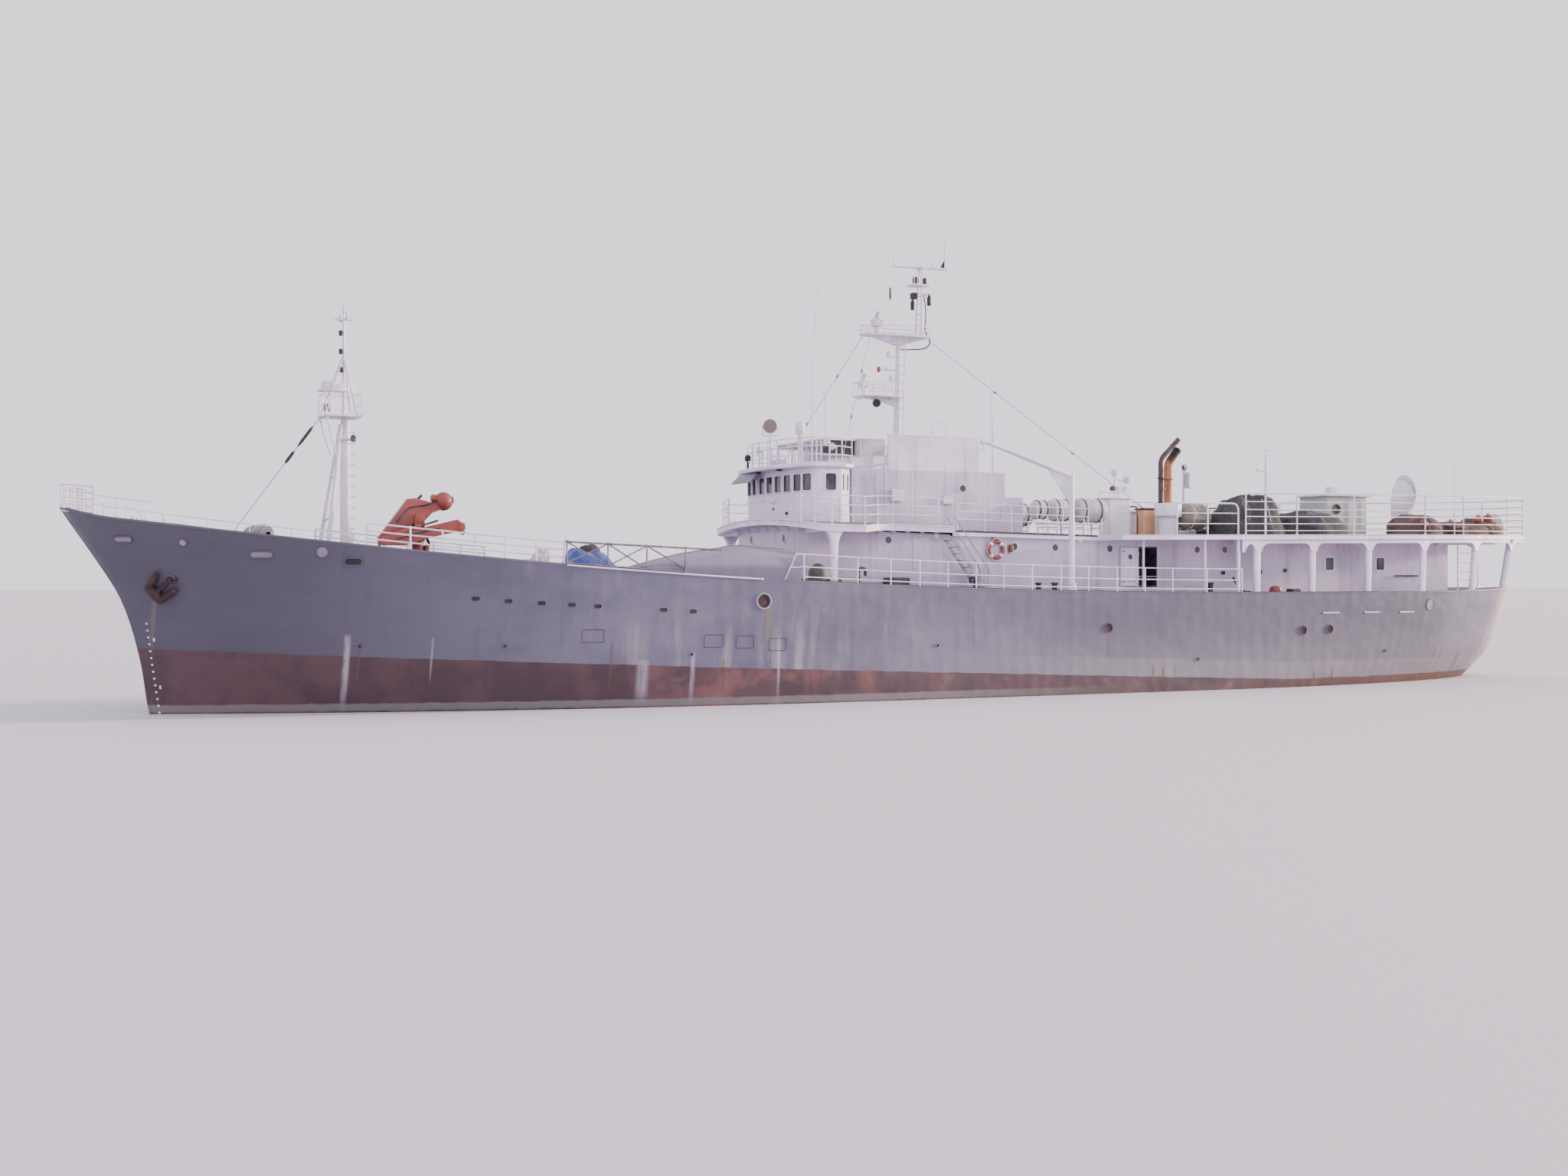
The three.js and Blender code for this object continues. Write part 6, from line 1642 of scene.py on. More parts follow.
    def level(z, shrink):
        made = []
        for x, y in full:
            inward = (centre - vec(x, y, 0)).normalized() * shrink
            made.append(vec(max(4.352, x + inward.x), y + inward.y, z))
        return made
    roof.loft([level(z0, 0.03), level(z0 + 0.03, 0), level(z1 - 0.04, 0), level(z1 - 0.01, 0.02),
               level(z1, 0.05)])
    # The visor's chalky grey, darker than the roof: painted shade
    roof.skin = 2
    visor = ((6.4, 8.23), (6.4, 8.26), (6.46, 8.26), (6.87, 7.82), (6.85, 7.8))
    roof.prism([(x, -2.5, z) for x, z in visor], (0, 1.6, 0))
    for y in (-2.45, -1.7, -0.95):
        roof.prism([(6.38, y, 8.24), (6.8, y, 7.86), (6.42, y, 8.02)], (0, 0.02, 0))
    roof.skin = 1
    for y in (0.9, -0.9):
        roof.box(6.42, 6.62, y - 0.08, y + 0.08, 8.14, 8.24, 0.02)
    roof.make("wheelhouse_brow", [WHITE, BLACK_AND_HOLE_SHADE, CHALK_LIGHT_AND_SHADE], replaces=("wheelhouse_roof",),
              sharp=32)

    console = Shape()
    beam(console, [(5.5, 6.1), (5.9, 6.1), (5.9, 7.06), (5.78, 7.2), (5.62, 7.14), (5.5, 7.0)], -1.9, 1.9,
         0.02)
    console.box(5.07, 5.24, -0.13, 0.13, 6.15, 7.08, 0.02)
    console.box(5.2, 5.52, -0.06, 0.06, 6.65, 6.8, 0.01)
    console.ring((5.02, 0, 7.1), (1, 0, 0.3), 0.3, 0.02, 28, 7)
    for a in turns(6):
        console.tube([(5.03, 0, 7.1), (5.02, 0.3 * math.sin(a), 7.1 + 0.29 * math.cos(a))], 0.012, 5)
    console.skin = 1
    for y in (-1.5, -0.9, 0.9, 1.5):
        console.box(5.56, 5.62, y - 0.22, y + 0.22, 7.05, 7.32, 0.02)
    console.make("wheelhouse_fittings", [GALVANISED_AND_SHADE, BLACK_AND_HOLE_SHADE], replaces=("wheelhouse_console",))


def build_bridge_rails():
    shape = Shape()
    plain = [(-5.5, 2.97), (-4.35, 2.97), (-3.2, 2.97), (-2.05, 2.97), (-0.9, 2.97), (0.3, 3.0)]
    rail(shape, [vec(x, y, upper_deck_z(x)) for x, y in plain], (0.42, 0.7, 1.0), 0.02, 0.024)
    wing = [(1.2, 3.15), (2.15, 3.18), (3.1, 3.2), (3.5, 3.3), (3.9, 3.5), (4.4, 3.95), (4.9, 4.4),
            (5.55, 4.42),
            (6.2, 4.4), (6.45, 4.25), (6.58, 3.85), (6.66, 3.4), (6.72, 3.05)]
    line = [vec(x, y, bridge_z(x, y)) for x, y in wing]
    rail(shape, line[::2], (0.35, 0.68, 1.0), 0.02, 0.026, line)
    shape.tube([vec(0.3, 3.0, upper_deck_z(0.3) + 1.0), line[0] + vec(0, 0, 1.0)], 0.02, 7)
    shape.make_pair("bridge_rail", "_tubes", [PLAIN_WHITE])


ROOF_Z = 8.36
TOP_RAIL = [(4.3, 2.3), (4.98, 2.84), (5.5, 2.88), (6.0, 2.85), (6.28, 2.3), (6.45, 1.5), (6.53, 0.75),
            (6.55, 0.0)]


def build_top():
    shape = Shape()
    port = [vec(x, y, ROOF_Z) for x, y in TOP_RAIL]
    rail(shape, [*port, *other_side(port[:-1])], (0.3, 0.6, 0.9), 0.02, 0.024)
    shape.make("top_rail_tubes", [PLAIN_WHITE], replaces=("top_rail",))

    shelter = Shape()
    z0, z1 = ROOF_Z, 9.32
    outline = [(3.9, z1 - 0.04), (3.94, z1), (5.3, z1), (5.36, z1 - 0.03), (5.36, z1 - 0.07),
               (3.92, z1 - 0.07)]
    beam(shelter, outline, -1.86, 1.86, 0.012)
    for x, y in ((4.0, -1.76), (4.0, 1.76), (5.26, -1.76), (5.26, -0.6), (5.26, 0.6), (5.26, 1.76)):
        shelter.box(x - 0.03, x + 0.03, y - 0.03, y + 0.03, z0 - 0.02, z1 - 0.04, 0.008)
    for side in (1, -1):
        y = side * 1.77
        shelter.box(4.0, 5.26, y - 0.025, y + 0.025, z0, 8.46, 0.01)
        shelter.box(4.0, 5.26, y - 0.02, y + 0.02, 9.12, 9.26, 0.01)
        y = side * 1.5
        shelter.box(3.97, 4.02, y - 0.02, y + 0.02, z0, z1 - 0.05, 0.01)
    shelter.skin = 1
    shelter.box(3.94, 5.2, 1.785, 1.81, 8.72, 9.3, 0.006)
    shelter.skin = 0
    for z in (8.71, 9.3):
        shelter.box(3.92, 5.22, 1.78, 1.815, z - 0.015, z + 0.015, 0.005)
    shelter.box(5.24, 5.29, -1.76, 1.76, z0, 8.46, 0.01)
    shelter.box(4.75, 5.05, -0.35, 0.35, z0, 9.0, 0.03)
    shelter.ring((4.68, 0, 8.95), (1, 0, 0.25), 0.24, 0.018, 24, 6)
    shelter.make("steering_shelter", [PLAIN_WHITE, GLASS], replaces=("top_shelter",),
                 sharp=30)

    gear = Shape()
    gear.lathe((5.75, 1.05, 8.35), UP,
               [(0.14, 0), (0.14, 0.03), (0.09, 0.06), (0.085, 1.1), (0.11, 1.13), (0.17, 1.18),
                                        (0.172, 1.45), (0.155, 1.54), (0.1, 1.6), (0.02, 1.619)], 24)
    gear.make("dome_aerial", [PLAIN_WHITE], replaces=("antenna_dome",), sharp=50)

    lamps = Shape()
    lamps.tube([(6.44, 0, 8.34), (6.44, 0, 9.5)], 0.035, 8)
    yoke = Matrix.Translation(vec(6.44, 0, 9.82)) @ Matrix.Rotation(math.radians(-30), 4, "Z")
    fork = [yoke @ vec(a, 0, b) for a, b in ((-0.29, 0.02), (-0.29, -0.34), (0.29, -0.34), (0.29, 0.02))]
    lamps.tube(fillet(fork, 0.1, 3), 0.022, 7)
    lens = ((6.4, -0.08, 9.82), (0.5, 0.86, 0))
    lamps.lathe(*lens, [(0.05, -0.16), (0.16, -0.14), (0.25, -0.04), (0.27, 0.02), (0.27, 0.16), (0.25, 0.17),
                        (0.24, 0.13)], 26)
    lamps.skin = 1
    lamps.lathe(*lens, [(0.235, 0.12), (0.235, 0.145), (0.2, 0.155), (0.02, 0.16)], 26)
    lamps.skin = 3
    lamps.lathe((6.3, -2.25, ROOF_Z), UP,
                [(0.08, 0), (0.08, 0.03), (0.04, 0.05), (0.04, 0.3), (0.11, 0.33), (0.12, 0.5), (0.05, 0.56)],
                16)
    lamps.skin = 0
    for x, y, high in ((5.35, 2.6, 0.7), (5.1, 2.62, 0.55), (6.1, -1.4, 0.6)):
        lamps.tube([(x, y, 8.34), (x, y, ROOF_Z + high)], 0.025, 8)
        profile = [(0.03, 0), (0.05, 0.03), (0.06, 0.12), (0.13, 0.22), (0.12, 0.23)]
        lamps.lathe((x - 0.02, y, 8.4 + high), (1, 0.3, 0), profile, 16)
    for x, y in ((6.1, 0.3), (6.15, -0.3)):
        lamps.box(x - 0.12, x + 0.12, y - 0.12, y + 0.12, 8.35, 8.62, 0.03)
    lamps.skin = 2
    for path, radii in (
            ([(5.7, 1.9, 8.34), (5.68, 1.9, 11.9), (5.67, 1.9, 12.0), (5.38, 1.9, 16.3)],
             [0.035, 0.03, 0.015, 0.008]),
            ([(4.8, 1.2, 9.3), (4.8, 1.2, 10.7), (4.8, 1.2, 11.4)], [0.026, 0.02, 0.01]),
            ([(3.73, 1.2, 9.2), (3.73, 1.2, 9.9), (3.73, 1.2, 10.7)], [0.03, 0.02, 0.012])):
        lamps.tube(path, radii, 7)
    lamps.tube([(-2.55, 0.9, 7.3), (-2.55, 0.9, 9.8), (-2.5, 0.9, 12.0)], [0.045, 0.03, 0.01], 8)
    lamps.tube(fillet([(4.98, 1.2, 11.25), (4.98, 1.2, 11.0), (4.66, 1.2, 11.0), (4.66, 1.2, 11.2)], 0.06, 3),
               0.014, 6)
    frame_aerial = ((-0.1, 8.2), (-0.12, 9.75), (-0.3, 10.25), (-0.8, 10.15), (-0.7, 9.7), (-0.66, 8.2))
    lamps.tube(fillet([(x, 0.4, z) for x, z in frame_aerial], 0.18, 4), 0.018, 7)
    lamps.make("roof_lamps", [PLAIN_WHITE, LAMP_FACE, WHITE, BLACK_AND_HOLE_SHADE])

    boards = Shape()
    for side in (1, -1):
        y0 = side * 2.35
        boards.box(-1.05, 2.84, y0 - 0.025, y0 + 0.025, 8.2, 9.5, 0.012)
        for z in (8.23, 9.47):
            boards.box(-1.05, 2.84, y0 - 0.032, y0 + 0.032, z - 0.03, z + 0.028, 0.01)
        for x in (-1.03, -0.06, 0.9, 1.87, 2.81):
            boards.box(x - 0.02, x + 0.02, y0 - side * 0.03 - 0.03, y0 - side * 0.03 + 0.03, 8.12, 9.46,
                       0.008)
    for x in (-0.9, 0.9, 2.7):
        boards.tube([(x, -2.33, 8.45), (x, 2.33, 8.45)], 0.035, 8)
        for side in (1, -1):
            boards.tube([(x, side * 2.3, 9.2), (x, side * 1.7, 8.22)], 0.022, 6)
    boards.make("side_boards", [PLAIN_WHITE], replaces=("sign_boards",), sharp=30)


def build_dodger():
    """Canvas laced round the open space behind the shelter."""
    tall = 0.6
    path = [(2.93, 2.23), (3.9, 2.23), (3.9, -2.23), (2.93, -2.23)]
    corners = fillet([vec(x, y, 0) for x, y in path], 0.12, 4)
    line = []
    for a, b in zip(corners, corners[1:]):
        pieces = max(1, int((b - a).length / 0.05))
        line += [a.lerp(b, k / pieces) for k in range(pieces)]
    line.append(corners[-1])
    length = sum((b - a).length for a, b in zip(line, line[1:]))
    rows = []
    for j in range(13):
        share = j / 12
        row = []
        walked = 0.0
        for i, p in enumerate(line):
            if i:
                walked += (p - line[i - 1]).length
            after = line[min(i + 1, len(line) - 1)] - line[max(i - 1, 0)]
            out = vec(-after.y, after.x, 0).normalized() * -1
            slack = 0.022 * math.sin(math.pi * share) * (1 + math.sin(walked * 7.3) * 0.6)
            scallop = 0.018 * abs(math.sin(walked * math.pi / 0.48)) * (2 * share - 1)
            sag = scallop * (1 if share in (0, 1) else 0.6)
            row.append(vec(p.x, p.y, 8.7 + tall * share - sag) - out * slack)
        rows.append(row)
    cloth = Shape()
    cloth.grid(rows)
    piece = cloth.make("canvas_screen", [CANVAS], replaces=("canvas_dodger",), sharp=80)
    thick = piece.modifiers.new("thick", "SOLIDIFY")
    thick.thickness = 0.003
    frame_tubes = Shape()
    for x, y in ((2.93, 2.23), (3.9, 2.23), (3.9, 0.8), (3.9, -0.8), (3.9, -2.23), (2.93, -2.23)):
        frame_tubes.tube([(x, y, 8.2), (x, y, 9.3)], 0.022, 8)
    for z in (8.68, 9.3):
        frame_tubes.tube(fillet([vec(x, y, z) for x, y in path], 0.12, 4), 0.018, 7)
    for y in spread(-2.08, 2.08, 13):
        frame_tubes.ring((3.9, y, 9.29), (0, 1, 0), 0.026, 0.005, 10, 5)
    frame_tubes.make("screen_frame", [PLAIN_WHITE])


SEAM_STEP = 0.56  # between the welds of the house's wall plates
RECESS = (-8.95, -6.9)


def build_house_fittings():
    shape = Shape()
    for x, z in ((3.14, 5.65), (-2.22, 5.45), (-4.04, 5.43), (-6.54, 5.41), (-10.71, 5.4), (-12.07, 5.41)):
        porthole(shape, house_side(x, z, HOUSE_Y))
    porthole(shape, house_side(-0.28, 7.59, 2.4))
    for x, z in ((-17.46, 4.87), (-20.19, 4.88)):
        size = (0.42, 0.5, 0.06)
        opening(shape, house_side(x, z, HOUSE_Y), size, (0.07, 0.05), size, 0.012, (0, 1), 4)
    shape.skin = 0
    for k in range(54):
        x = 6.0 - SEAM_STEP * k
        if x > -23.9 and not RECESS[0] < x < RECESS[1]:
            shape.tube([(x, 2.897, sheer(x)), (x, 2.897, upper_deck_z(x) - 0.2)], 0.008, 5)
    for k in range(12):
        x = 4.1 - SEAM_STEP * k
        shape.tube([(x, 2.397, upper_deck_z(x)), (x, 2.397, 8.19 if x > -2.1 else 7.28)], 0.008, 5)
    shape.tube([(6.3, 2.905, 4.35), (-23.95, 2.905, 4.35)], 0.012, 6)
    facing = Matrix((vec(0, -1, 0), vec(0, 0, 1), vec(1, 0, 0))).transposed().to_4x4()
    porthole(shape, Matrix.Translation(vec(front_x(1.37, 0.2) + 0.31, 1.37, 5.7)) @ facing, 0.14)
    lamp = [(0.07, 0), (0.09, 0.03), (0.09, 0.08), (0.06, 0.13)]
    for x in (-17.06, -22.33):
        z = upper_deck_z(x) - 0.5
        shape.skin = 5
        shape.cylinder((x, 3.9, z + 0.13), (x, 3.9, z + 0.34), 0.03, 8)
        shape.lathe((x, 3.9, z + 0.14), (0, 0, -1), lamp, 14)
    shape.skin = 2
    for x in (-4.9, 1.4):
        shape.lathe((x, 3.3, upper_deck_z(x) - 0.2), (0, 0, -1), lamp, 14)
    shape.skin = 0
    shape.mirror()
    shape.box(-7.7, -7.34, 2.9, 3.06, 4.16, 4.5, 0.02)
    shape.box(2.3, 2.78, 2.4, 2.56, 7.05, 7.5, 0.03)
    shape.box(0.2, 0.58, 2.4, 2.52, 7.0, 7.3, 0.02)
    shape.box(-15.75, -15.45, 3.4, 3.62, 5.42, 5.62, 0.04)
    ladder(shape, (3.18, 2.47, 6.36), (3.18, 2.47, 8.1), 0.36, 0.28, (1, 0, 0), 0.014)
    for z in (6.9, 7.6):
        shape.tube(fillet([(4.2, 2.4, z), (4.2, 2.47, z), (4.2, 2.47, z + 0.3), (4.2, 2.4, z + 0.3)], 0.03,
                          2), 0.012, 6)
    shape.tube(fillet([(2.1, 2.92, 4.6), (2.1, 2.98, 4.6), (2.1, 2.98, 5.8), (1.6, 2.98, 5.86)], 0.06, 3),
               0.02, 7)
    shape.tube(fillet([(-5.6, 2.94, 4.3), (-5.6, 2.94, 5.5), (-6.3, 2.94, 5.62)], 0.1, 3), 0.02, 7)
    shape.skin = 3
    shape.tube(fillet([(4.71, 3.6, 4.05), (4.71, 3.6, 4.62), (4.45, 3.6, 4.62), (4.45, 3.6, 4.35)], 0.1, 4),
               0.06, 10)
    shape.tube(fillet([(-0.2, 3.4, 3.85), (-0.2, 3.4, 4.3), (0.0, 3.4, 4.3), (0.0, 3.4, 4.1)], 0.08, 4), 0.05,
               10)
    shape.box(2.5, 3.4, 2.95, 3.4, 3.95, 4.3, 0.05)
    shape.box(5.5, 7.0, 3.3, 3.9, sheer(6.2) - 0.02, sheer(6.2) + 0.14, 0.05)
    shape.skin = 4
    shape.lathe((6.3, 3.55, sheer(6.3) - 0.02), UP,
                [(0.34, 0), (0.34, 0.28), (0.33, 0.42), (0.26, 0.58), (0.12, 0.68),
                                                     (0.01, 0.7)], 24)
    shape.skin = 3
    for x in (-3.2, -2.5, -10.4):
        shape.cylinder((x, 4.1, 3.7), (x, 4.1, 4.08), 0.1, 14)
        shape.cylinder((x, 4.1, 4.06), (x, 4.1, 4.12), 0.13, 14)
    # Dark sheets lining the doorway recess: painted shade inside the doorway
    shape.box(-8.7, -7.96, 2.02, 2.04, 4.0, 5.45, 0.004)
    shape.box(-8.78, -8.76, 2.02, 2.88, 3.98, 5.46, 0.004)
    shape.skin = 0
    shape.band(house_side(-8.325, 4.715, 2.9), 0.955, 1.64, 0.1, 0.04, 0.018)
    shape.skin = 3
    shape.box(-15.2, -14.75, 3.4, 3.8, sheer(-15) - 0.02, sheer(-15) + 0.16, 0.03)
    hose = [(-12.9, 3.5, sheer(-12.9) + 0.04), (-12.5, 3.5, sheer(-12.5) + 0.05),
            (-12.3, 3.4, sheer(-12.3) + 0.3),
            (-12.25, 3.2, sheer(-12.3) + 0.62)]
    shape.tube(fillet(hose, 0.2, 4), 0.05, 8)
    for x, z in ((-11.98, 4.5), (-13.83, 4.54), (-15.13, 4.6)):
        shape.box(x - 0.08, x + 0.08, 2.9, 2.98, z - 0.07, z + 0.07, 0.02)
    shape.tube([(-20.94, 2.97, 4.39), (-22.26, 2.97, 4.39)], 0.03, 7)
    shape.skin = 6
    shape.lathe((-14.05, 3.6, sheer(-14) - 0.02), UP, [(0.24, 0), (0.26, 0.1), (0.2, 0.26), (0.06, 0.3)], 18)
    shape.make("house_fittings", [WHITE, GLASS, CREAM, DARK_STEEL_AND_SHADE, GREEN, YELLOW, RED],
               sharp=32)

    ladder_side = Shape()
    foot, head = vec(-0.45, 3.5, 3.84), vec(1.0, 3.5, 5.76)
    for y in (3.22, 3.78):
        cheek = ((-0.52, 3.82), (-0.36, 3.82), (1.08, 5.74), (0.92, 5.76))
        ladder_side.prism([(x, y - 0.015, z) for x, z in cheek], (0, 0.03, 0))
        ladder_side.tube(fillet([vec(-0.5, y, 3.9), vec(-0.55, y, 4.6), vec(0.9, y, 6.5)], 0.15, 4), 0.02, 7)
    for i in range(8):
        spot = foot.lerp(head, (i + 0.5) / 8)
        ladder_side.box(spot.x - 0.09, spot.x + 0.09, 3.23, 3.77, spot.z - 0.012, spot.z + 0.012, 0.006)
    # The stair takes the galvanised grey for its shaded look: painted shade
    ladder_side.make("side_stair", [GALVANISED_AND_SHADE], replaces=("side_ladder",))

    buoy = Shape()
    x, z = -1.36, 5.33
    buoy.ring((x, 3.0, z), (0, 1, 0), 0.3, 0.075, 36, 12)
    buoy.skin = 1
    for a in turns(4, 0.5):
        spot = vec(x + 0.3 * math.cos(a), 3.0, z + 0.3 * math.sin(a))
        along = vec(-math.sin(a), 0, math.cos(a)) * 0.06
        buoy.tube([spot - along, spot + along], 0.081, 14)
    rope = []
    for a in turns(48):
        reach = 0.39 - 0.03 * math.cos(4 * a + math.pi)
        rope.append(vec(x + reach * math.cos(a), 3.05, z + reach * math.sin(a)))
    buoy.tube(rope, 0.012, 5, loop=True)
    buoy.skin = 0
    buoy.lathe((-2.02, 2.99, 5.25), UP, [(0.03, 0), (0.09, 0.03), (0.1, 0.14), (0.09, 0.25), (0.03, 0.28)],
               14)
    buoy.skin = 2
    buoy.box(-1.5, -1.22, 2.9, 2.98, 5.72, 5.78, 0.01)
    buoy.box(-2.08, -1.96, 2.9, 2.96, 5.2, 5.26, 0.01)
    buoy.make("ring_buoy", [ORANGE, PLAIN_WHITE, GALVANISED_AND_SHADE], replaces=("lifebuoy",))


# Upper deck and the arcade that carries it
UPPER_AFT_X = -30.8
ARCH_PILLARS = [-12.4, -15.18, -18.1, -21.22, -24.69, -27.7]


def upper_half(x, inset=0.0):
    share = min(1, max(0, (-17 - x) / (-17 - UPPER_AFT_X)))
    return max(0.0, 4.7 * math.sqrt(1 - share ** 2.2) - 0.08 - inset)


def deck_outline(start, end, count=70):
    xs = [start + (end - start) * math.sin(math.pi / 2 * k / count) for k in range(count + 1)]
    return [vec(x, upper_half(x) if x < -17 else 4.62, upper_deck_z(x)) for x in xs]


DECK_DEEP = 0.19
WALKWAY_HALF = 3.05
WALKWAY_X = (0.54, -2.5, -5.86)  # of the narrow deck between the bridge and the after part


def build_upper_deck():
    shape = Shape()
    port = deck_outline(-5.85, -30.78)
    for skin, drop in ((0, 0.0), (1, DECK_DEEP)):
        shape.skin = skin
        shape.grid([[vec(p.x, p.y * s, p.z - drop) for s in (-1, -0.5, 0, 0.5, 1)] for p in port])
        shape.grid([[vec(x, WALKWAY_HALF * s, upper_deck_z(x) - drop) for s in (-1, 0, 1)] for x in WALKWAY_X])
    edge = [*port, *other_side(port[:-1])]
    rim = [vec(-5.85, 0, upper_deck_z(-5.85)), *edge]
    shape.grid([rim, [p - vec(0, 0, DECK_DEEP) for p in rim]], wrap=True)
    shape.tube([p - vec(0, 0, 0.02) for p in edge], 0.02, 8)
    for side in (1, -1):
        shape.grid([[vec(x, side * WALKWAY_HALF, upper_deck_z(x) - drop) for x in WALKWAY_X[::2]]
                    for drop in (0, DECK_DEEP)])
    # A dark bar along each walkway edge: painted shade of the gap at the deck's edge
    shape.skin = 2
    for side in (1, -1):
        shape.tube([(x, side * WALKWAY_HALF, upper_deck_z(x) - 0.02) for x in WALKWAY_X[::2]], 0.034, 8)
    shape.make("upper_deck_plating", [DECK, WHITE, DARK_STEEL_AND_SHADE], replaces=("upper_deck",),
               sharp=30)


FASCIA = 0.14
FASCIA_START_X = -11.6
PILLAR_HALF = 0.14
ARCH_RADIUS = 0.34


def build_arcade():
    shape = Shape()

    def depth(x):
        gap = min(abs(x - stop) for stop in [FASCIA_START_X, *ARCH_PILLARS]) - PILLAR_HALF
        reach = ARCH_RADIUS - min(ARCH_RADIUS, max(0.0, gap))
        return FASCIA + ARCH_RADIUS - math.sqrt(ARCH_RADIUS ** 2 - reach ** 2)
    dense = []
    for k in range(321):
        x = FASCIA_START_X - 19.0 * math.sin(math.pi / 2 * k / 320)
        dense.append(vec(x, (upper_half(x, 0.07) if x < -17 else 4.55), upper_deck_z(x) - 0.185))
    rows = []
    for p in dense:
        low = p - vec(0, 0, depth(p.x) if p.x > -29.2 else FASCIA)
        inner_y = max(0.0, p.y - 0.05)
        rows.append([p, low, vec(low.x, inner_y, low.z), vec(p.x, inner_y, p.z)])
    shape.loft(rows)
    shape.tube([row[1] + vec(0, -0.02, 0) for row in rows], 0.03, 7)
    for x in ARCH_PILLARS:
        head = 4.44 if x > -17 else upper_half(x, 0.16)
        foot = deck_half(x) - 0.2
        top_z = upper_deck_z(x) - 0.2
        rings = []
        for share in (0, 0.1, 0.5, 0.8, 0.9, 0.96, 1.0):
            z = sheer(x) - 0.03 + (top_z - sheer(x) + 0.03) * share
            y = foot + (head - foot) * share
            rings.append([vec(x + a, y + b, z) for a, b in contour(PILLAR_HALF * 2, 0.17, 0.05, 3)])
        shape.loft(rings)
        shape.box(x - 0.18, x + 0.18, foot - 0.16, foot + 0.12, sheer(x) - 0.03, sheer(x) + 0.03, 0.01)
        bracket = ((head - 0.08, top_z - 0.4), (head - 0.08, top_z + 0.02), (3.0, top_z + 0.02),
                   (3.0, top_z - 0.12))
        shape.prism([(x - 0.01, y, z) for y, z in bracket], (0.02, 0, 0))
    for x, lap, radius, sides in ((-7.0, 0.2, 0.04, 8), (-9.9, 0.2, 0.04, 8), (-11.5, 0.15, 0.08, 12)):
        y = deck_half(x) - 0.2
        shape.tube([(x, y, sheer(x) - 0.03), (x, y, upper_deck_z(x) - lap)], radius, sides)
    for x in spread(-13.0, -24.2, 8):
        z = upper_deck_z(x)
        end = upper_half(x, 0.2) if x < -17 else 4.4
        beam_end = ((HOUSE_Y, z - 0.19), (HOUSE_Y, z - 0.34), (end, z - 0.3), (end, z - 0.19))
        shape.prism([(x, y, level) for y, level in beam_end], (0.015, 0, 0))
    shape.tube([on_edge(-25.1, 0.2, 0.12), on_edge(-27.3, 0.2, 0.12)], 0.02, 7)
    for x in (-24.05, -25.2):
        shape.tube([(x, 3.4, sheer(x) - 0.03), (x, 3.4, upper_deck_z(x) - 0.15)], 0.035, 8)
    for z in (4.2, 4.55, 4.95, 5.35):
        shape.tube([(-24.05, 3.4, z), (-25.2, 3.4, z)], 0.024, 7)
    shape.mirror()
    shape.make("arcade_plating", [WHITE], replaces=("stern_arcade",), sharp=32)


RAIL_BARS = [0.15, 0.42, 0.7, 0.97, 1.28, 1.6]


def build_stern_rail():
    shape = Shape()
    low_posts = [-8.5, -9.95, -11.42]
    tall = [-11.79, -14.34, -17.22, -21.23, -23.7, -27.2, -30.3]

    def spot(x, rise=0.0):
        return vec(x, upper_half(x, 0.07) if x < -17 else 4.5, upper_deck_z(x) + rise)
    for x in low_posts[:2]:
        shape.tube([spot(x, -0.03), spot(x, 1.2)], 0.03, 7)
    for height in (0.42, 0.82):
        shape.tube([spot(x, height) for x in low_posts], 0.02, 7)
    start, end = low_posts[0], low_posts[-1]
    shape.tube(fillet([spot(start, 1.2), spot(end, 1.2), spot(end, -0.05)], 0.3, 5), 0.034, 10)
    for near, far in zip(tall, tall[1:]):
        run = spread(near, far, 6)
        hoop = [spot(near, -0.03), *[spot(x, 1.6) for x in run], spot(far, -0.03)]
        shape.tube(fillet(hoop, 0.16, 4), 0.03, 8)
        for height in RAIL_BARS[:-1]:
            shape.tube([spot(x, height) for x in run], 0.02, 7)
        shape.cylinder(spot(near, -0.01), spot(near, 0.03), 0.06, 8)
    shape.mirror()
    corner = spot(tall[-1])
    tail = [corner, vec(-30.62, 0, upper_deck_z(-30.6)), *other_side([corner])]
    for height in RAIL_BARS:
        shape.tube([p + vec(0, 0, height) for p in tail], 0.026, 8)
    x = -12.8
    shape.tube([(x, 4.46, 6.0), (x, 4.46, 8.4), (x, 4.46, 9.3)], [0.045, 0.035, 0.014], 8)
    shape.tube([(x, 4.46, 8.46), (x + 0.42, 4.46, 8.46)], 0.022, 6)
    shape.tube([(x - 0.3, 4.46, 9.26), (x + 0.3, 4.46, 9.26)], 0.012, 6)
    shape.lathe((x + 0.4, 4.46, 8.44), UP, [(0.03, 0), (0.05, 0.03), (0.04, 0.1)], 10)
    shape.tube([(-23.9, 3.36, 6.1), (-23.9, 3.36, 7.9), (-23.9, 3.36, 9.5)], [0.03, 0.02, 0.008], 7)
    shape.make("stern_rail_tubes", [PLAIN_WHITE], replaces=("stern_rail",))


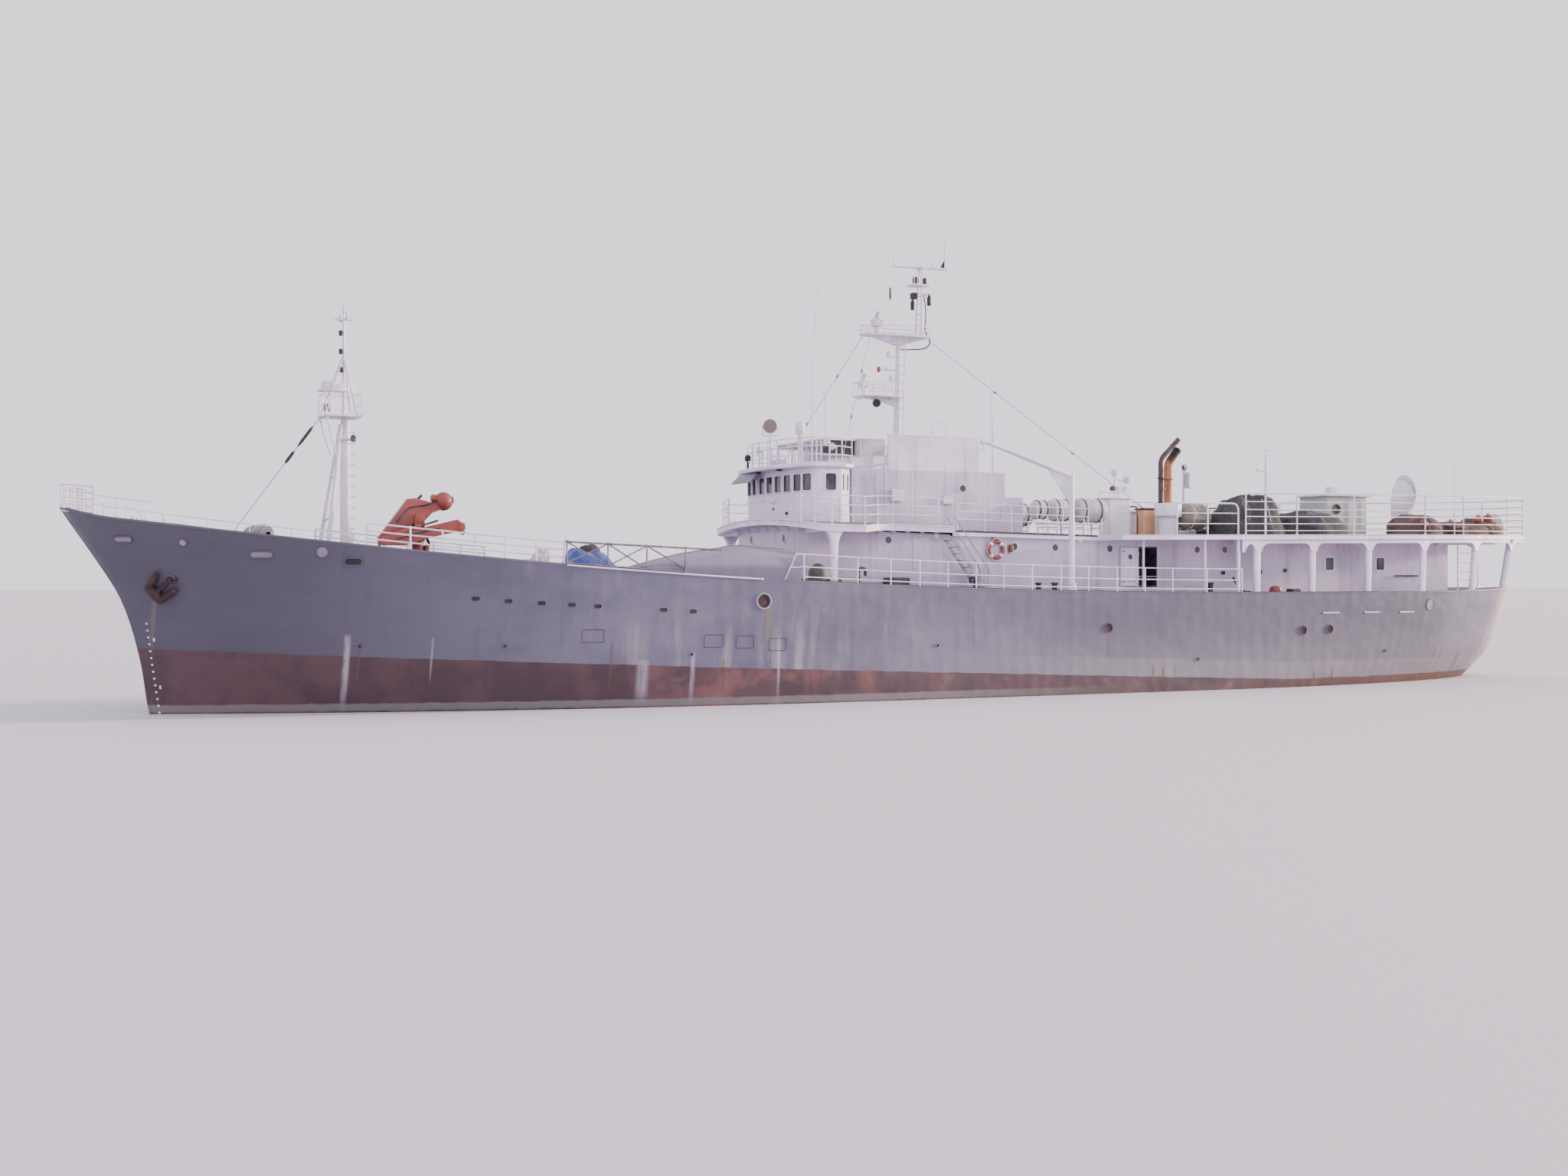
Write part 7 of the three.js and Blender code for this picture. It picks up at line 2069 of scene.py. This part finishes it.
def build_davit():
    x, y = -3.85, 4.25
    socket = Shape()
    socket.lathe((x, y, 3.6), UP, [(0.3, 0.12), (0.3, 0.17), (0.18, 0.2), (0.17, 0.44), (0.2, 0.455),
                                   (0.2, 0.4995)], 24)
    socket.make("davit_step", [PLAIN_WHITE], replaces=("davit_socket",))
    arm = Shape()
    arm.tube([(x, y, z) for z in (4.1012, 4.12, 6.0, 8.06, 8.14)], [0.09, 0.11, 0.11, 0.1, 0.06], 16)
    arm.tube([(x - 0.02, y, 8.02), (x + 1.9, y, 8.62), (x + 3.88, y, 9.22)], [0.1, 0.085, 0.06], 14)
    gusset = ((0.05, 7.1), (0.12, 7.08), (0.55, 7.7), (1.02, 8.3), (0.05, 8.02))
    arm.prism([(x + a, y - 0.02, z) for a, z in gusset], (0, 0.04, 0))
    arm.tube([(x + 0.1, y, 7.08), (x + 0.5, y, 7.6), (x + 1.05, y, 8.33)], 0.03, 8)
    arm.cylinder((x + 3.86, y - 0.07, 9.16), (x + 3.86, y + 0.07, 9.16), 0.08, 16)
    arm.tube([(x + 3.84, y, 9.1), (x + 3.84, y, 8.95)], 0.02, 7)
    arm.ring((x + 3.84, y, 8.9), (0, 1, 0), 0.05, 0.014, 14, 6)
    for z in (5.2, 5.32):
        arm.tube(fillet([(x - 0.1, y, z), (x - 0.24, y, z), (x - 0.24, y, z + 0.02)], 0.02, 2), 0.016, 6)
    arm.make("davit_tubes", [PLAIN_WHITE], "davit", ("davit",))


RAFTS = [(-6.5, -5.15, 0.46), (-4.95, -4.05, 0.42), (-3.9, -3.3, 0.36)]


def build_rafts():
    for name, side in (("liferafts_port", 1), ("liferafts_starboard", -1)):
        shape = Shape()
        y, z = side * 2.5, 6.86
        for x0, x1, r in RAFTS:
            long = x1 - x0
            half_case = [(0.02, 0), (r * 0.7, 0.015), (r * 0.93, 0.06), (r * 0.985, 0.14),
                         (r * 0.985, long / 2 - 0.03),
                         (r, long / 2 - 0.03)]
            shape.skin = 0
            shape.lathe((x0, y, z), (1, 0, 0), half_case + [(a, long - b) for a, b in reversed(half_case)],
                        32)
            shape.skin = 2
            strap = [(r + 0.004, 0), (r + 0.012, 0.005), (r + 0.012, 0.055), (r + 0.004, 0.06)]
            for share in (0.24, 0.76):
                shape.lathe((x0 + long * share - 0.03, y, z), (1, 0, 0), strap, 32)
        shape.skin = 1
        for x in (-6.2, -5.4, -4.8, -4.2, -3.75):
            for out in (-1, 1):
                leg = ((0.3, 5.9), (0.34, 6.5), (0.3, 6.62))
                shape.tube([(x, y + out * reach, level) for reach, level in leg], 0.03, 8)
            shape.tube([(x, y - 0.3, 6.2), (x, y + 0.3, 6.2)], 0.025, 8)
        for dy in (-0.32, 0.32):
            shape.tube([(-6.3, y + dy, 6.35), (-3.65, y + dy, 6.35)], 0.03, 8)
        shape.make(name + "_cases", [CREAM, PLAIN_WHITE, DARK_STEEL_AND_SHADE], replaces=(name,),
                   sharp=28)


def build_upper_gear():
    casing = Shape()
    top = 7.0
    casing.box(-12.4, -9.3, -1.3, 0.7, 5.95, top, 0.04)
    casing.box(-12.46, -9.24, -1.36, 0.76, top - 0.1, top - 0.03, 0.015)
    casing.skin = 1
    for x in (-11.9, -11.1, -10.3):
        for k in range(6):
            casing.box(x, x + 0.55, 0.7, 0.72, 6.25 + 0.09 * k, 6.3 + 0.09 * k, 0.006)
    casing.skin = 0
    casing.tube([(-11.95, 0.5, 6.98), (-11.95, 0.5, 8.78)], 0.045, 10)
    casing.lathe((-12.14, 0.5, 7.95), UP,
                 [(0.1, 0), (0.15, 0.02), (0.15, 0.1), (0.13, 0.12), (0.13, 0.5), (0.15, 0.52),
                                           (0.15, 0.6), (0.06, 0.65)], 18)
    casing.skin = 1
    casing.lathe((-11.95, 0.4, 8.8), (-0.5, 0.86, -0.1), [(0.05, 0), (0.1, 0.04), (0.16, 0.14), (0.14, 0.15)],
                 16)
    casing.skin = 2
    casing.box(-9.5, -8.95, 1.3, 1.85, 5.9, 6.98, 0.03)
    casing.box(-9.56, -9.24, 0.6, 1.4, 5.9, 6.1, 0.02)
    casing.skin = 1
    casing.box(-9.54, -8.91, 1.26, 1.89, 6.98, 7.05, 0.02)
    for x in (-12.6, -8.6):
        casing.tube(fillet([(x, 0.9, 6.0), (x, 0.9, 7.1), (x, 1.9, 7.1), (x, 1.9, 6.0)], 0.2, 4), 0.03, 8)
    # The casing takes the greyer white, with its painted shade
    casing.make("casing_plating", [HOUSE_GREY_AND_SHADE, DARK_STEEL_AND_SHADE, YELLOW],
                replaces=("engine_casing",),
                sharp=32)

    pipes = Shape()
    for skin, x, y, r, bend, tip_x, tip_z in ((1, -10.92, 0.35, 0.1, 9.1, -11.81, 9.93),
                                              (0, -11.54, 0.0, 0.16, 8.95, -12.04, 9.55)):
        pipes.skin = skin
        path = fillet([(x, y, 6.95), (x, y, bend), (tip_x, y, tip_z)], 0.22, 7)
        pipes.tube(path, r, 18)
        ahead = (path[-1] - path[-2]).normalized()
        pipes.tube([path[-1] - ahead * 0.12, path[-1] - ahead * 0.02], r * 1.06, 18)
        for z in (7.02, 8.3):
            pipes.lathe((x, y, z), UP, [(r, 0), (r * 1.5, 0.01), (r * 1.5, 0.05), (r, 0.06)], 20)
    pipes.tube([(-10.92, 0.35, 7.9), (-11.54, 0, 7.9)], 0.04, 8)
    pipes.make("exhaust_pipes", [EXHAUST, SOOTY], replaces=("exhausts",))

    vents = Shape()
    vents.box(-8.47, -7.45, 0.9, 1.65, 5.9, 7.42, 0.05)
    vents.box(-8.52, -7.4, 0.85, 1.7, 7.38, 7.45, 0.02)
    for y in (0.92, 1.63):
        vents.tube(fillet([(-8.45, y, 7.4), (-8.45, y, 7.68), (-7.48, y, 7.68), (-7.48, y, 7.4)], 0.12, 4),
                   0.02, 7)
    vents.tube([(-8.1, 1.3, 7.42), (-8.1, 1.3, 7.72)], 0.05, 10)
    for x in (-8.38, -8.1, -7.82):
        vents.skin = 1 if x == -7.82 else 0
        vents.lathe((x, 1.34, 7.8), (0, 1, 0),
                    [(0.05, -0.12), (0.08, -0.1), (0.12, 0.0), (0.12, 0.03), (0.03, 0.04)], 16)
    vents.skin = 0
    vents.tube([(-8.1, 1.05, 7.4), (-8.15, 1.0, 8.3)], 0.025, 8)
    for x, z in ((-8.15, 8.45), (-8.75, 8.2)):
        vents.lathe((x - 0.06, 1.0, z), (0.9, 0.3, -0.2),
                    [(0.04, 0), (0.12, 0.04), (0.15, 0.12), (0.14, 0.13)], 18)
    vents.tube([(-8.15, 1.0, 8.2), (-8.75, 1.0, 8.1)], 0.02, 7)
    vents.make("vent_house_plating", [PLAIN_WHITE, DARK_STEEL_AND_SHADE], replaces=("vent_house",))

    drum = Shape()
    x, y = -9.55, 2.6
    drum.lathe((x, y, 5.9), UP, [(0.46, 0), (0.46, 0.04), (0.38, 0.08), (0.38, 0.74), (0.44, 0.75),
                                 (0.53, 0.82),
                                 (0.53, 1.2), (0.48, 1.29), (0.2, 1.32), (0.01, 1.32)], 32)
    for a in turns(10):
        bolt_x, bolt_y = x + 0.49 * math.cos(a), y + 0.49 * math.sin(a)
        drum.box(bolt_x - 0.02, bolt_x + 0.02, bolt_y - 0.02, bolt_y + 0.02, 6.66, 6.76, 0.006)
    drum.make("drum_vent", [PLAIN_WHITE], replaces=("vent_drum",))

    cowl = Shape()
    cowl.skin = 1
    cowl.lathe((-24.2, 0, 6.1), UP, [(0.5, 0), (0.5, 0.05), (0.4, 0.1), (0.4, 0.5)], 32)
    cowl.skin = 0
    rings = []
    for t in spread(0, 1, 14):
        bend = 1.5 * t ** 1.6
        centre = vec(-24.2 - 0.28 * (1 - math.cos(bend)), 0, 6.6 + 1.5 * t)
        across = vec(0, 1, 0)
        ahead = across.cross(vec(-math.sin(bend), 0, math.cos(bend)))
        r = 0.38 + 0.24 * min(1, t * 1.15) ** 2
        tall = r * (1 + 0.12 * t)
        rings.append([centre + across * math.cos(a) * r + ahead * math.sin(a) * tall for a in turns(32)])
    cowl.grid(rings, wrap=True)
    cowl.tube(rings[-1], 0.035, 8, loop=True)
    cowl.skin = 1
    cowl.put(rings[-2], [range(len(rings[-2]))])
    cowl.make("cowl_hood", [PLAIN_WHITE, RED], replaces=("cowl_vent",), sharp=60)

    hut = Shape()
    x0, x1, y0, y1, roof = -21.2, -19.0, -0.6, 1.1, 7.78
    hut.box(x0, x1, y0, y1, 5.95, roof, 0.04)
    hut.skin = 1
    hut.box(x0 - 0.12, x1 + 0.12, y0 - 0.1, y1 + 0.1, roof - 0.04, roof + 0.04, 0.02)
    hut.box(-20.25, -19.85, 0, 0.4, roof, roof + 0.42, 0.05)
    hut.skin = 0
    hut.band(house_side(-20.5, 6.85, y1), 0.66, 1.5, 0.1, 0.05, 0.03)
    window = house_side(-19.5, 7.2, y1)
    opening(hut, window, (0.34, 0.34, 0.17), (0.05, 0.04), (0.35, 0.35, 0.17), 0.012, (2, 2), 5)
    hut.make("hut_plating", [HUT, PLAIN_WHITE, DARK_STEEL_AND_SHADE], replaces=("stern_hut",),
             sharp=32)


# Soft gear: a tarpaulin over a bundle on the well deck, and heaps of line and netting aft
def lumps(point, seed, scale, octaves=3):
    return noise.fractal(Vector(point) * scale + Vector((seed, seed * 0.7, -seed)), 0.9, 2.0, octaves)


def drape(name, box, top, floor_z, material, replaces, seed=2.3, count=72, fold=0.05, skirt=0.3, crease=4.0,
          fall=0.1):
    """A cover over a soft bundle: it lies on the lumps, falls in folds, and spreads at the foot."""
    x0, x1, y0, y1 = box
    cx, cy = (x0 + x1) / 2, (y0 + y1) / 2
    ax, ay = (x1 - x0) / 2, (y1 - y0) / 2
    rows = []
    for share in spread(0, 1, count // 2):
        row = []
        for angle in turns(count):
            ca, sa = math.cos(angle), math.sin(angle)
            blunt = (abs(ca) ** 3.2 + abs(sa) ** 3.2) ** (-1 / 3.2)
            reach = min(1.0, share / 0.62)
            drop = max(0.0, (share - 0.62) / 0.38)
            folds = math.sin(angle * crease + 1.7 * math.sin(angle * 2 + seed)) * 0.6
            folds += 0.4 * math.sin(angle * crease * 1.9 + seed)
            swell = 1 + (0.02 + fold * (reach ** 2) * 0.5 * folds) * (0.4 + drop) + 0.06 * drop ** 3
            radius = blunt * (reach ** 0.86) * 0.86 * swell
            x = cx + ax * ca * radius
            y = cy + ay * sa * radius
            crown = top - (top - floor_z) * (0.1 * reach ** 2 + skirt * reach ** 6) - fall * (x1 - x) ** 2
            lump = lumps((x, y, 0), seed, 1.6) * 0.13 * (top - floor_z) * (1 - 0.6 * reach)
            z = (crown + lump) * (1 - drop ** 0.92) + floor_z * drop ** 0.92
            row.append(vec(x, y, max(floor_z, min(top, z))))
        rows.append(row)
    shape = Shape()
    shape.grid(rows, wrap=True)
    return shape.make(name, [material], replaces=replaces, sharp=75, smooth=1)


def surface_area(piece):
    graph = bpy.context.evaluated_depsgraph_get()
    mesh = piece.evaluated_get(graph).to_mesh()
    return sum(polygon.area for polygon in mesh.polygons)


def heap(name, mounds, floor_z, material, seed, replaces=(), extra=None):
    """A heap of netting or line under its own weight: several soft mounds that run together."""
    shape = Shape()
    around, up = 56, 18
    for index, (x0, x1, y0, y1, top) in enumerate(mounds):
        cx, cy = (x0 + x1) / 2, (y0 + y1) / 2
        rows = []
        for share in spread(0, 1, up):
            polar = math.pi / 2 * share
            flat = math.sin(polar) ** 0.7
            high = max(0.0, math.cos(polar)) ** 0.75
            row = []
            for angle in turns(around):
                out = vec(math.cos(angle) * flat, math.sin(angle) * flat, high)
                lump = lumps((cx + out.x * 2, cy + out.y * 2, out.z * 2), seed + index * 3.1, 1.1, 4)
                strand = math.sin((out.x * 5 + out.z * 9 + index) * 3 + 4 * lump) * 0.018
                size = 0.9 + 0.1 * lump + strand
                wide = min(1.0, size * (1 + 0.07 * share ** 6))
                row.append(vec(cx + (x1 - x0) / 2 * out.x * wide, cy + (y1 - y0) / 2 * out.y * wide,
                               floor_z + (top - floor_z) * out.z * min(1.0, size + 0.04)))
            rows.append(row)
        shape.grid(rows, wrap=True)
    if extra:
        extra(shape)
    return shape.make(name, [material, ORANGE, BROWN_NET, CANVAS], replaces=replaces, sharp=80)


def coil(shape, centre, radius, rounds, thick):
    path = []
    for i in range(rounds * 18):
        a = 2 * math.pi * i / 18
        grow = radius * (1 + 0.08 * math.sin(a * 0.37))
        path.append(Vector(centre) + vec(grow * math.cos(a), grow * math.sin(a) * 0.9, thick * 1.7 * i / 18))
    shape.tube(path, thick, 6)


ROLL_TIES = (0.28, 0.72)


def cover_roll():
    """A roll of green cover laid fore and aft in a low frame, slack between its lashings."""
    shape = Shape()
    start_x, long, y, z = -9.95, 1.35, 2.75, 6.7
    rows = []
    for share in spread(0, 1, 44):
        x = start_x - long * share
        pull = 1 - sum(0.07 * max(0.0, 1 - abs(share - tie) / 0.05) for tie in ROLL_TIES)
        end = max(0.02, (1 - abs(2 * share - 1) ** 7) ** 0.5)
        ring = []
        for a in turns(40):
            lump = 0.93 + 0.07 * lumps((x, math.cos(a), math.sin(a)), 4.2, 1.7)
            sag = 0.06 * math.cos(a) ** 2 if math.sin(a) < 0 else 0.0
            r = end * pull * lump
            ring.append(vec(x, y + (0.52 + sag) * r * math.cos(a), z + 0.54 * r * math.sin(a)))
        rows.append(ring)
    shape.grid(rows, wrap=True)
    shape.skin = 1
    for share in ROLL_TIES:
        x = start_x - long * share
        tie = [vec(x, y + 0.52 * math.cos(a), z + 0.53 * math.sin(a)) for a in turns(28)]
        shape.tube(tie, 0.02, 6, loop=True)
    shape.skin = 2
    for x in (-10.2, -11.05):
        for leg_y in (2.4, 3.1):
            shape.tube([(x, leg_y, 5.98), (x, leg_y, 6.3)], 0.03, 8)
        shape.tube([(x, 2.3, 6.24), (x, 2.75, 6.16), (x, 3.2, 6.24)], 0.03, 8)
    return shape.make("green_roll", [GREEN_COVER, CANVAS, GALVANISED_AND_SHADE], sharp=80)


def lashing_arc(x, y, z, half, high, power, margin, count):
    """A rope's path over a heap, from one side to the other."""
    return [vec(x, y + half * math.cos(a), z + high * math.sin(a) ** power)
            for a in spread(math.pi * margin, math.pi * (1 - margin), count)]


def build_soft_gear():
    blue = drape("blue_tarpaulin", (13.2, 15.65, 2.1, 3.7), 5.27, 3.24, BLUE_COVER, ("bundle_blue",))
    area = surface_area(blue)
    ropes = Shape()
    for x in (14.2, 15.0):
        ropes.tube(lashing_arc(x, 2.9, 3.5, 0.72, 1.74 - 0.1 * (15.65 - x) ** 2, 0.8, 0.08, 16), 0.014, 6)
    ropes.make("blue_cover_ropes", [CANVAS])

    def net_extra(shape):
        shape.skin = 3
        for x, y, top, wide in ((-13.6, 2.55, 7.6, 1.3), (-16.4, 2.5, 6.98, 1.1)):
            shape.tube(lashing_arc(x, y, 6.1, wide, top - 6.1, 0.7, 0.05, 18), 0.018, 6)
        shape.skin = 2
        coil(shape, (-12.6, 1.0, 6.0), 0.32, 4, 0.035)

    def stern_extra(shape):
        shape.skin = 1
        for x, y, z, r in ((-22.4, 3.1, 6.55, 0.2), (-23.3, 2.7, 6.6, 0.22), (-25.1, 2.55, 6.4, 0.2),
                           (-26.4, 2.3, 6.8, 0.2), (-27.3, 2.0, 6.85, 0.22), (-25.7, 1.4, 6.62, 0.2)):
            shape.ball((x, y, z), r, (1, 1, 1), 18, 10)
            shape.lathe((x, y, z + r - 0.02), UP, [(0.05, 0), (0.05, 0.05), (0.02, 0.07)], 10)
        shape.skin = 2
        coil(shape, (-24.6, 2.9, 6.15), 0.36, 5, 0.035)
        coil(shape, (-27.9, 1.2, 6.2), 0.34, 5, 0.035)
    net_mounds = [(-15.0, -12.4, 1.2, 3.9, 7.72), (-18.6, -14.6, 1.4, 3.7, 7.05),
                  (-13.7, -11.7, 2.0, 3.7, 7.55),
                  (-17.2, -15.6, 2.4, 3.7, 6.9), (-12.6, -11.3, 2.3, 3.6, 7.1)]
    line_mounds = [(-24.0, -21.6, 1.0, 3.4, 7.05), (-27.6, -23.2, 1.0, 2.7, 6.75),
                   (-28.4, -26.2, 0.4, 2.4, 7.0),
                   (-25.4, -24.0, 1.2, 2.9, 6.7)]
    sack_mounds = [(15.6, 17.3, 1.7, 3.8, 4.9), (15.75, 16.8, 2.7, 3.78, 5.3)]
    gear_mounds = [(-28.9, -27.4, 0.3, 2.1, 7.15), (-29.9, -28.3, -0.3, 1.2, 7.0)]
    heap("folded_net", [(14.0, 14.95, 2.4, 3.3, 5.42)], 4.6, NET, 3.3)
    heap("pale_sacks", sack_mounds, 3.26, CANVAS, 7.7)
    heap("netting_heap", net_mounds, 5.98, NET, 5.1, ("bundle_net",), net_extra)
    cover_roll()
    heap("line_heap", line_mounds, 6.1, BROWN_NET, 8.4, ("bundle_stern",),
                   stern_extra)
    heap("covered_gear", gear_mounds, 6.12, CANVAS, 6.6)


# Steel doors: each leaf made again in place of its solid, with clips, hinges and a porthole of their own
DOOR_PIN_X = -7.88
DOORS = (
    ("port", 1, (-7.85, -7.01, 2.93, 2.99), (-7.88, -7.55, 2.935, 2.955), (-7.43, 2.99, 0.02, 0.03),
     (-7.19, -7.03, 2.99, 3.02), 0.006),
    ("starboard", -1, (-8.75, -7.91, -2.93, -2.87), (-8.2, -7.88, -2.95, -2.93), (-8.33, 2.93, 0.014, 0.016),
     (-8.73, -8.57, -2.948, -2.93), 0.004),
)


def build_doors():
    """Each door: leaf, hinges on their pin, a pressed frame, a porthole and clips."""
    for name, side, leaf, strap, (x, y, frame_proud, rim_proud), clip, edge in DOORS:
        door = Shape()
        door.box(*leaf, 3.96, 5.47, 0.02)
        for z in (4.3, 5.2):
            door.cylinder((DOOR_PIN_X, side * 2.93, z + 0.001), (DOOR_PIN_X, side * 2.93, z + 0.08), 0.022,
                          12)
            door.box(*strap, z + 0.01, z + 0.07, 0.006)
        door.band(house_side(x, 4.72, y, side), 0.74, 1.4, 0.12, 0.03, frame_proud)
        porthole(door, house_side(x, 5.1, y, side), 0.1, 0.035, rim_proud)
        door.skin = 2
        for z in (4.15, 4.72, 5.3):
            door.box(*clip, z - 0.02, z + 0.02, edge)
        body = "deck_door_" + name
        door.make("door_leaf_" + name, [WHITE, GLASS, GALVANISED_AND_SHADE], body, (body,), sharp=32)


def dress_solids():
    """Solids whose shape is right keep it and get their finish."""
    for name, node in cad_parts.items():
        node.data.materials.clear()
        # The deckhouse and upper house take the greyer white, partly painted shade
        node.data.materials.append(HOUSE_GREY_AND_SHADE if name in ("deckhouse", "upper_house") else WHITE)


def build_stage():
    floor = bpy.data.meshes.new("floor")
    reach = 400
    corners = [(-reach, -reach, 0), (reach, -reach, 0), (reach, reach, 0), (-reach, reach, 0)]
    floor.from_pydata(corners, [], [(0, 1, 2, 3)])
    floor.materials.append(plain_paint("floor_paint", srgb(196, 192, 202)))
    ground = bpy.data.objects.new("floor", floor)
    bpy.context.scene.collection.objects.link(ground)


def build_lights():
    world = bpy.data.worlds.new("world")
    world.use_nodes = True
    back = world.node_tree.nodes["Background"]
    back.inputs[0].default_value = (0.9, 0.84, 0.95, 1)
    back.inputs[1].default_value = 1.7
    bpy.context.scene.world = world
    for name, aim, strength, spread, colour in (
            ("low_sun", (0.975, -0.13, -0.18), 8.5, 5, (1.0, 0.8, 0.62)),
            ("sky_fill", (-0.2, -0.8, -0.55), 0.7, 70, (0.9, 0.86, 1.0))):
        data = bpy.data.lights.new(name, "SUN")
        data.energy = strength
        data.angle = math.radians(spread)
        data.color = colour
        light = bpy.data.objects.new(name, data)
        light.rotation_euler = Vector(aim).to_track_quat("-Z", "Y").to_euler()
        bpy.context.scene.collection.objects.link(light)


for build in (build_hull, build_decks, build_screens, build_plating_fittings, build_stern_gear, build_anchors,
              build_windlass, build_fore_rail, build_main_rails, build_gangway, build_crane, build_hatch_lid,
              build_fore_mast, build_main_mast, build_stays, build_bridge_deck, build_wheelhouse,
              build_bridge_rails, build_top, build_dodger, build_house_fittings, build_upper_deck,
              build_arcade,
              build_stern_rail, build_davit, build_rafts, build_upper_gear, build_soft_gear, build_doors,
              dress_solids, build_stage, build_lights):
    build()
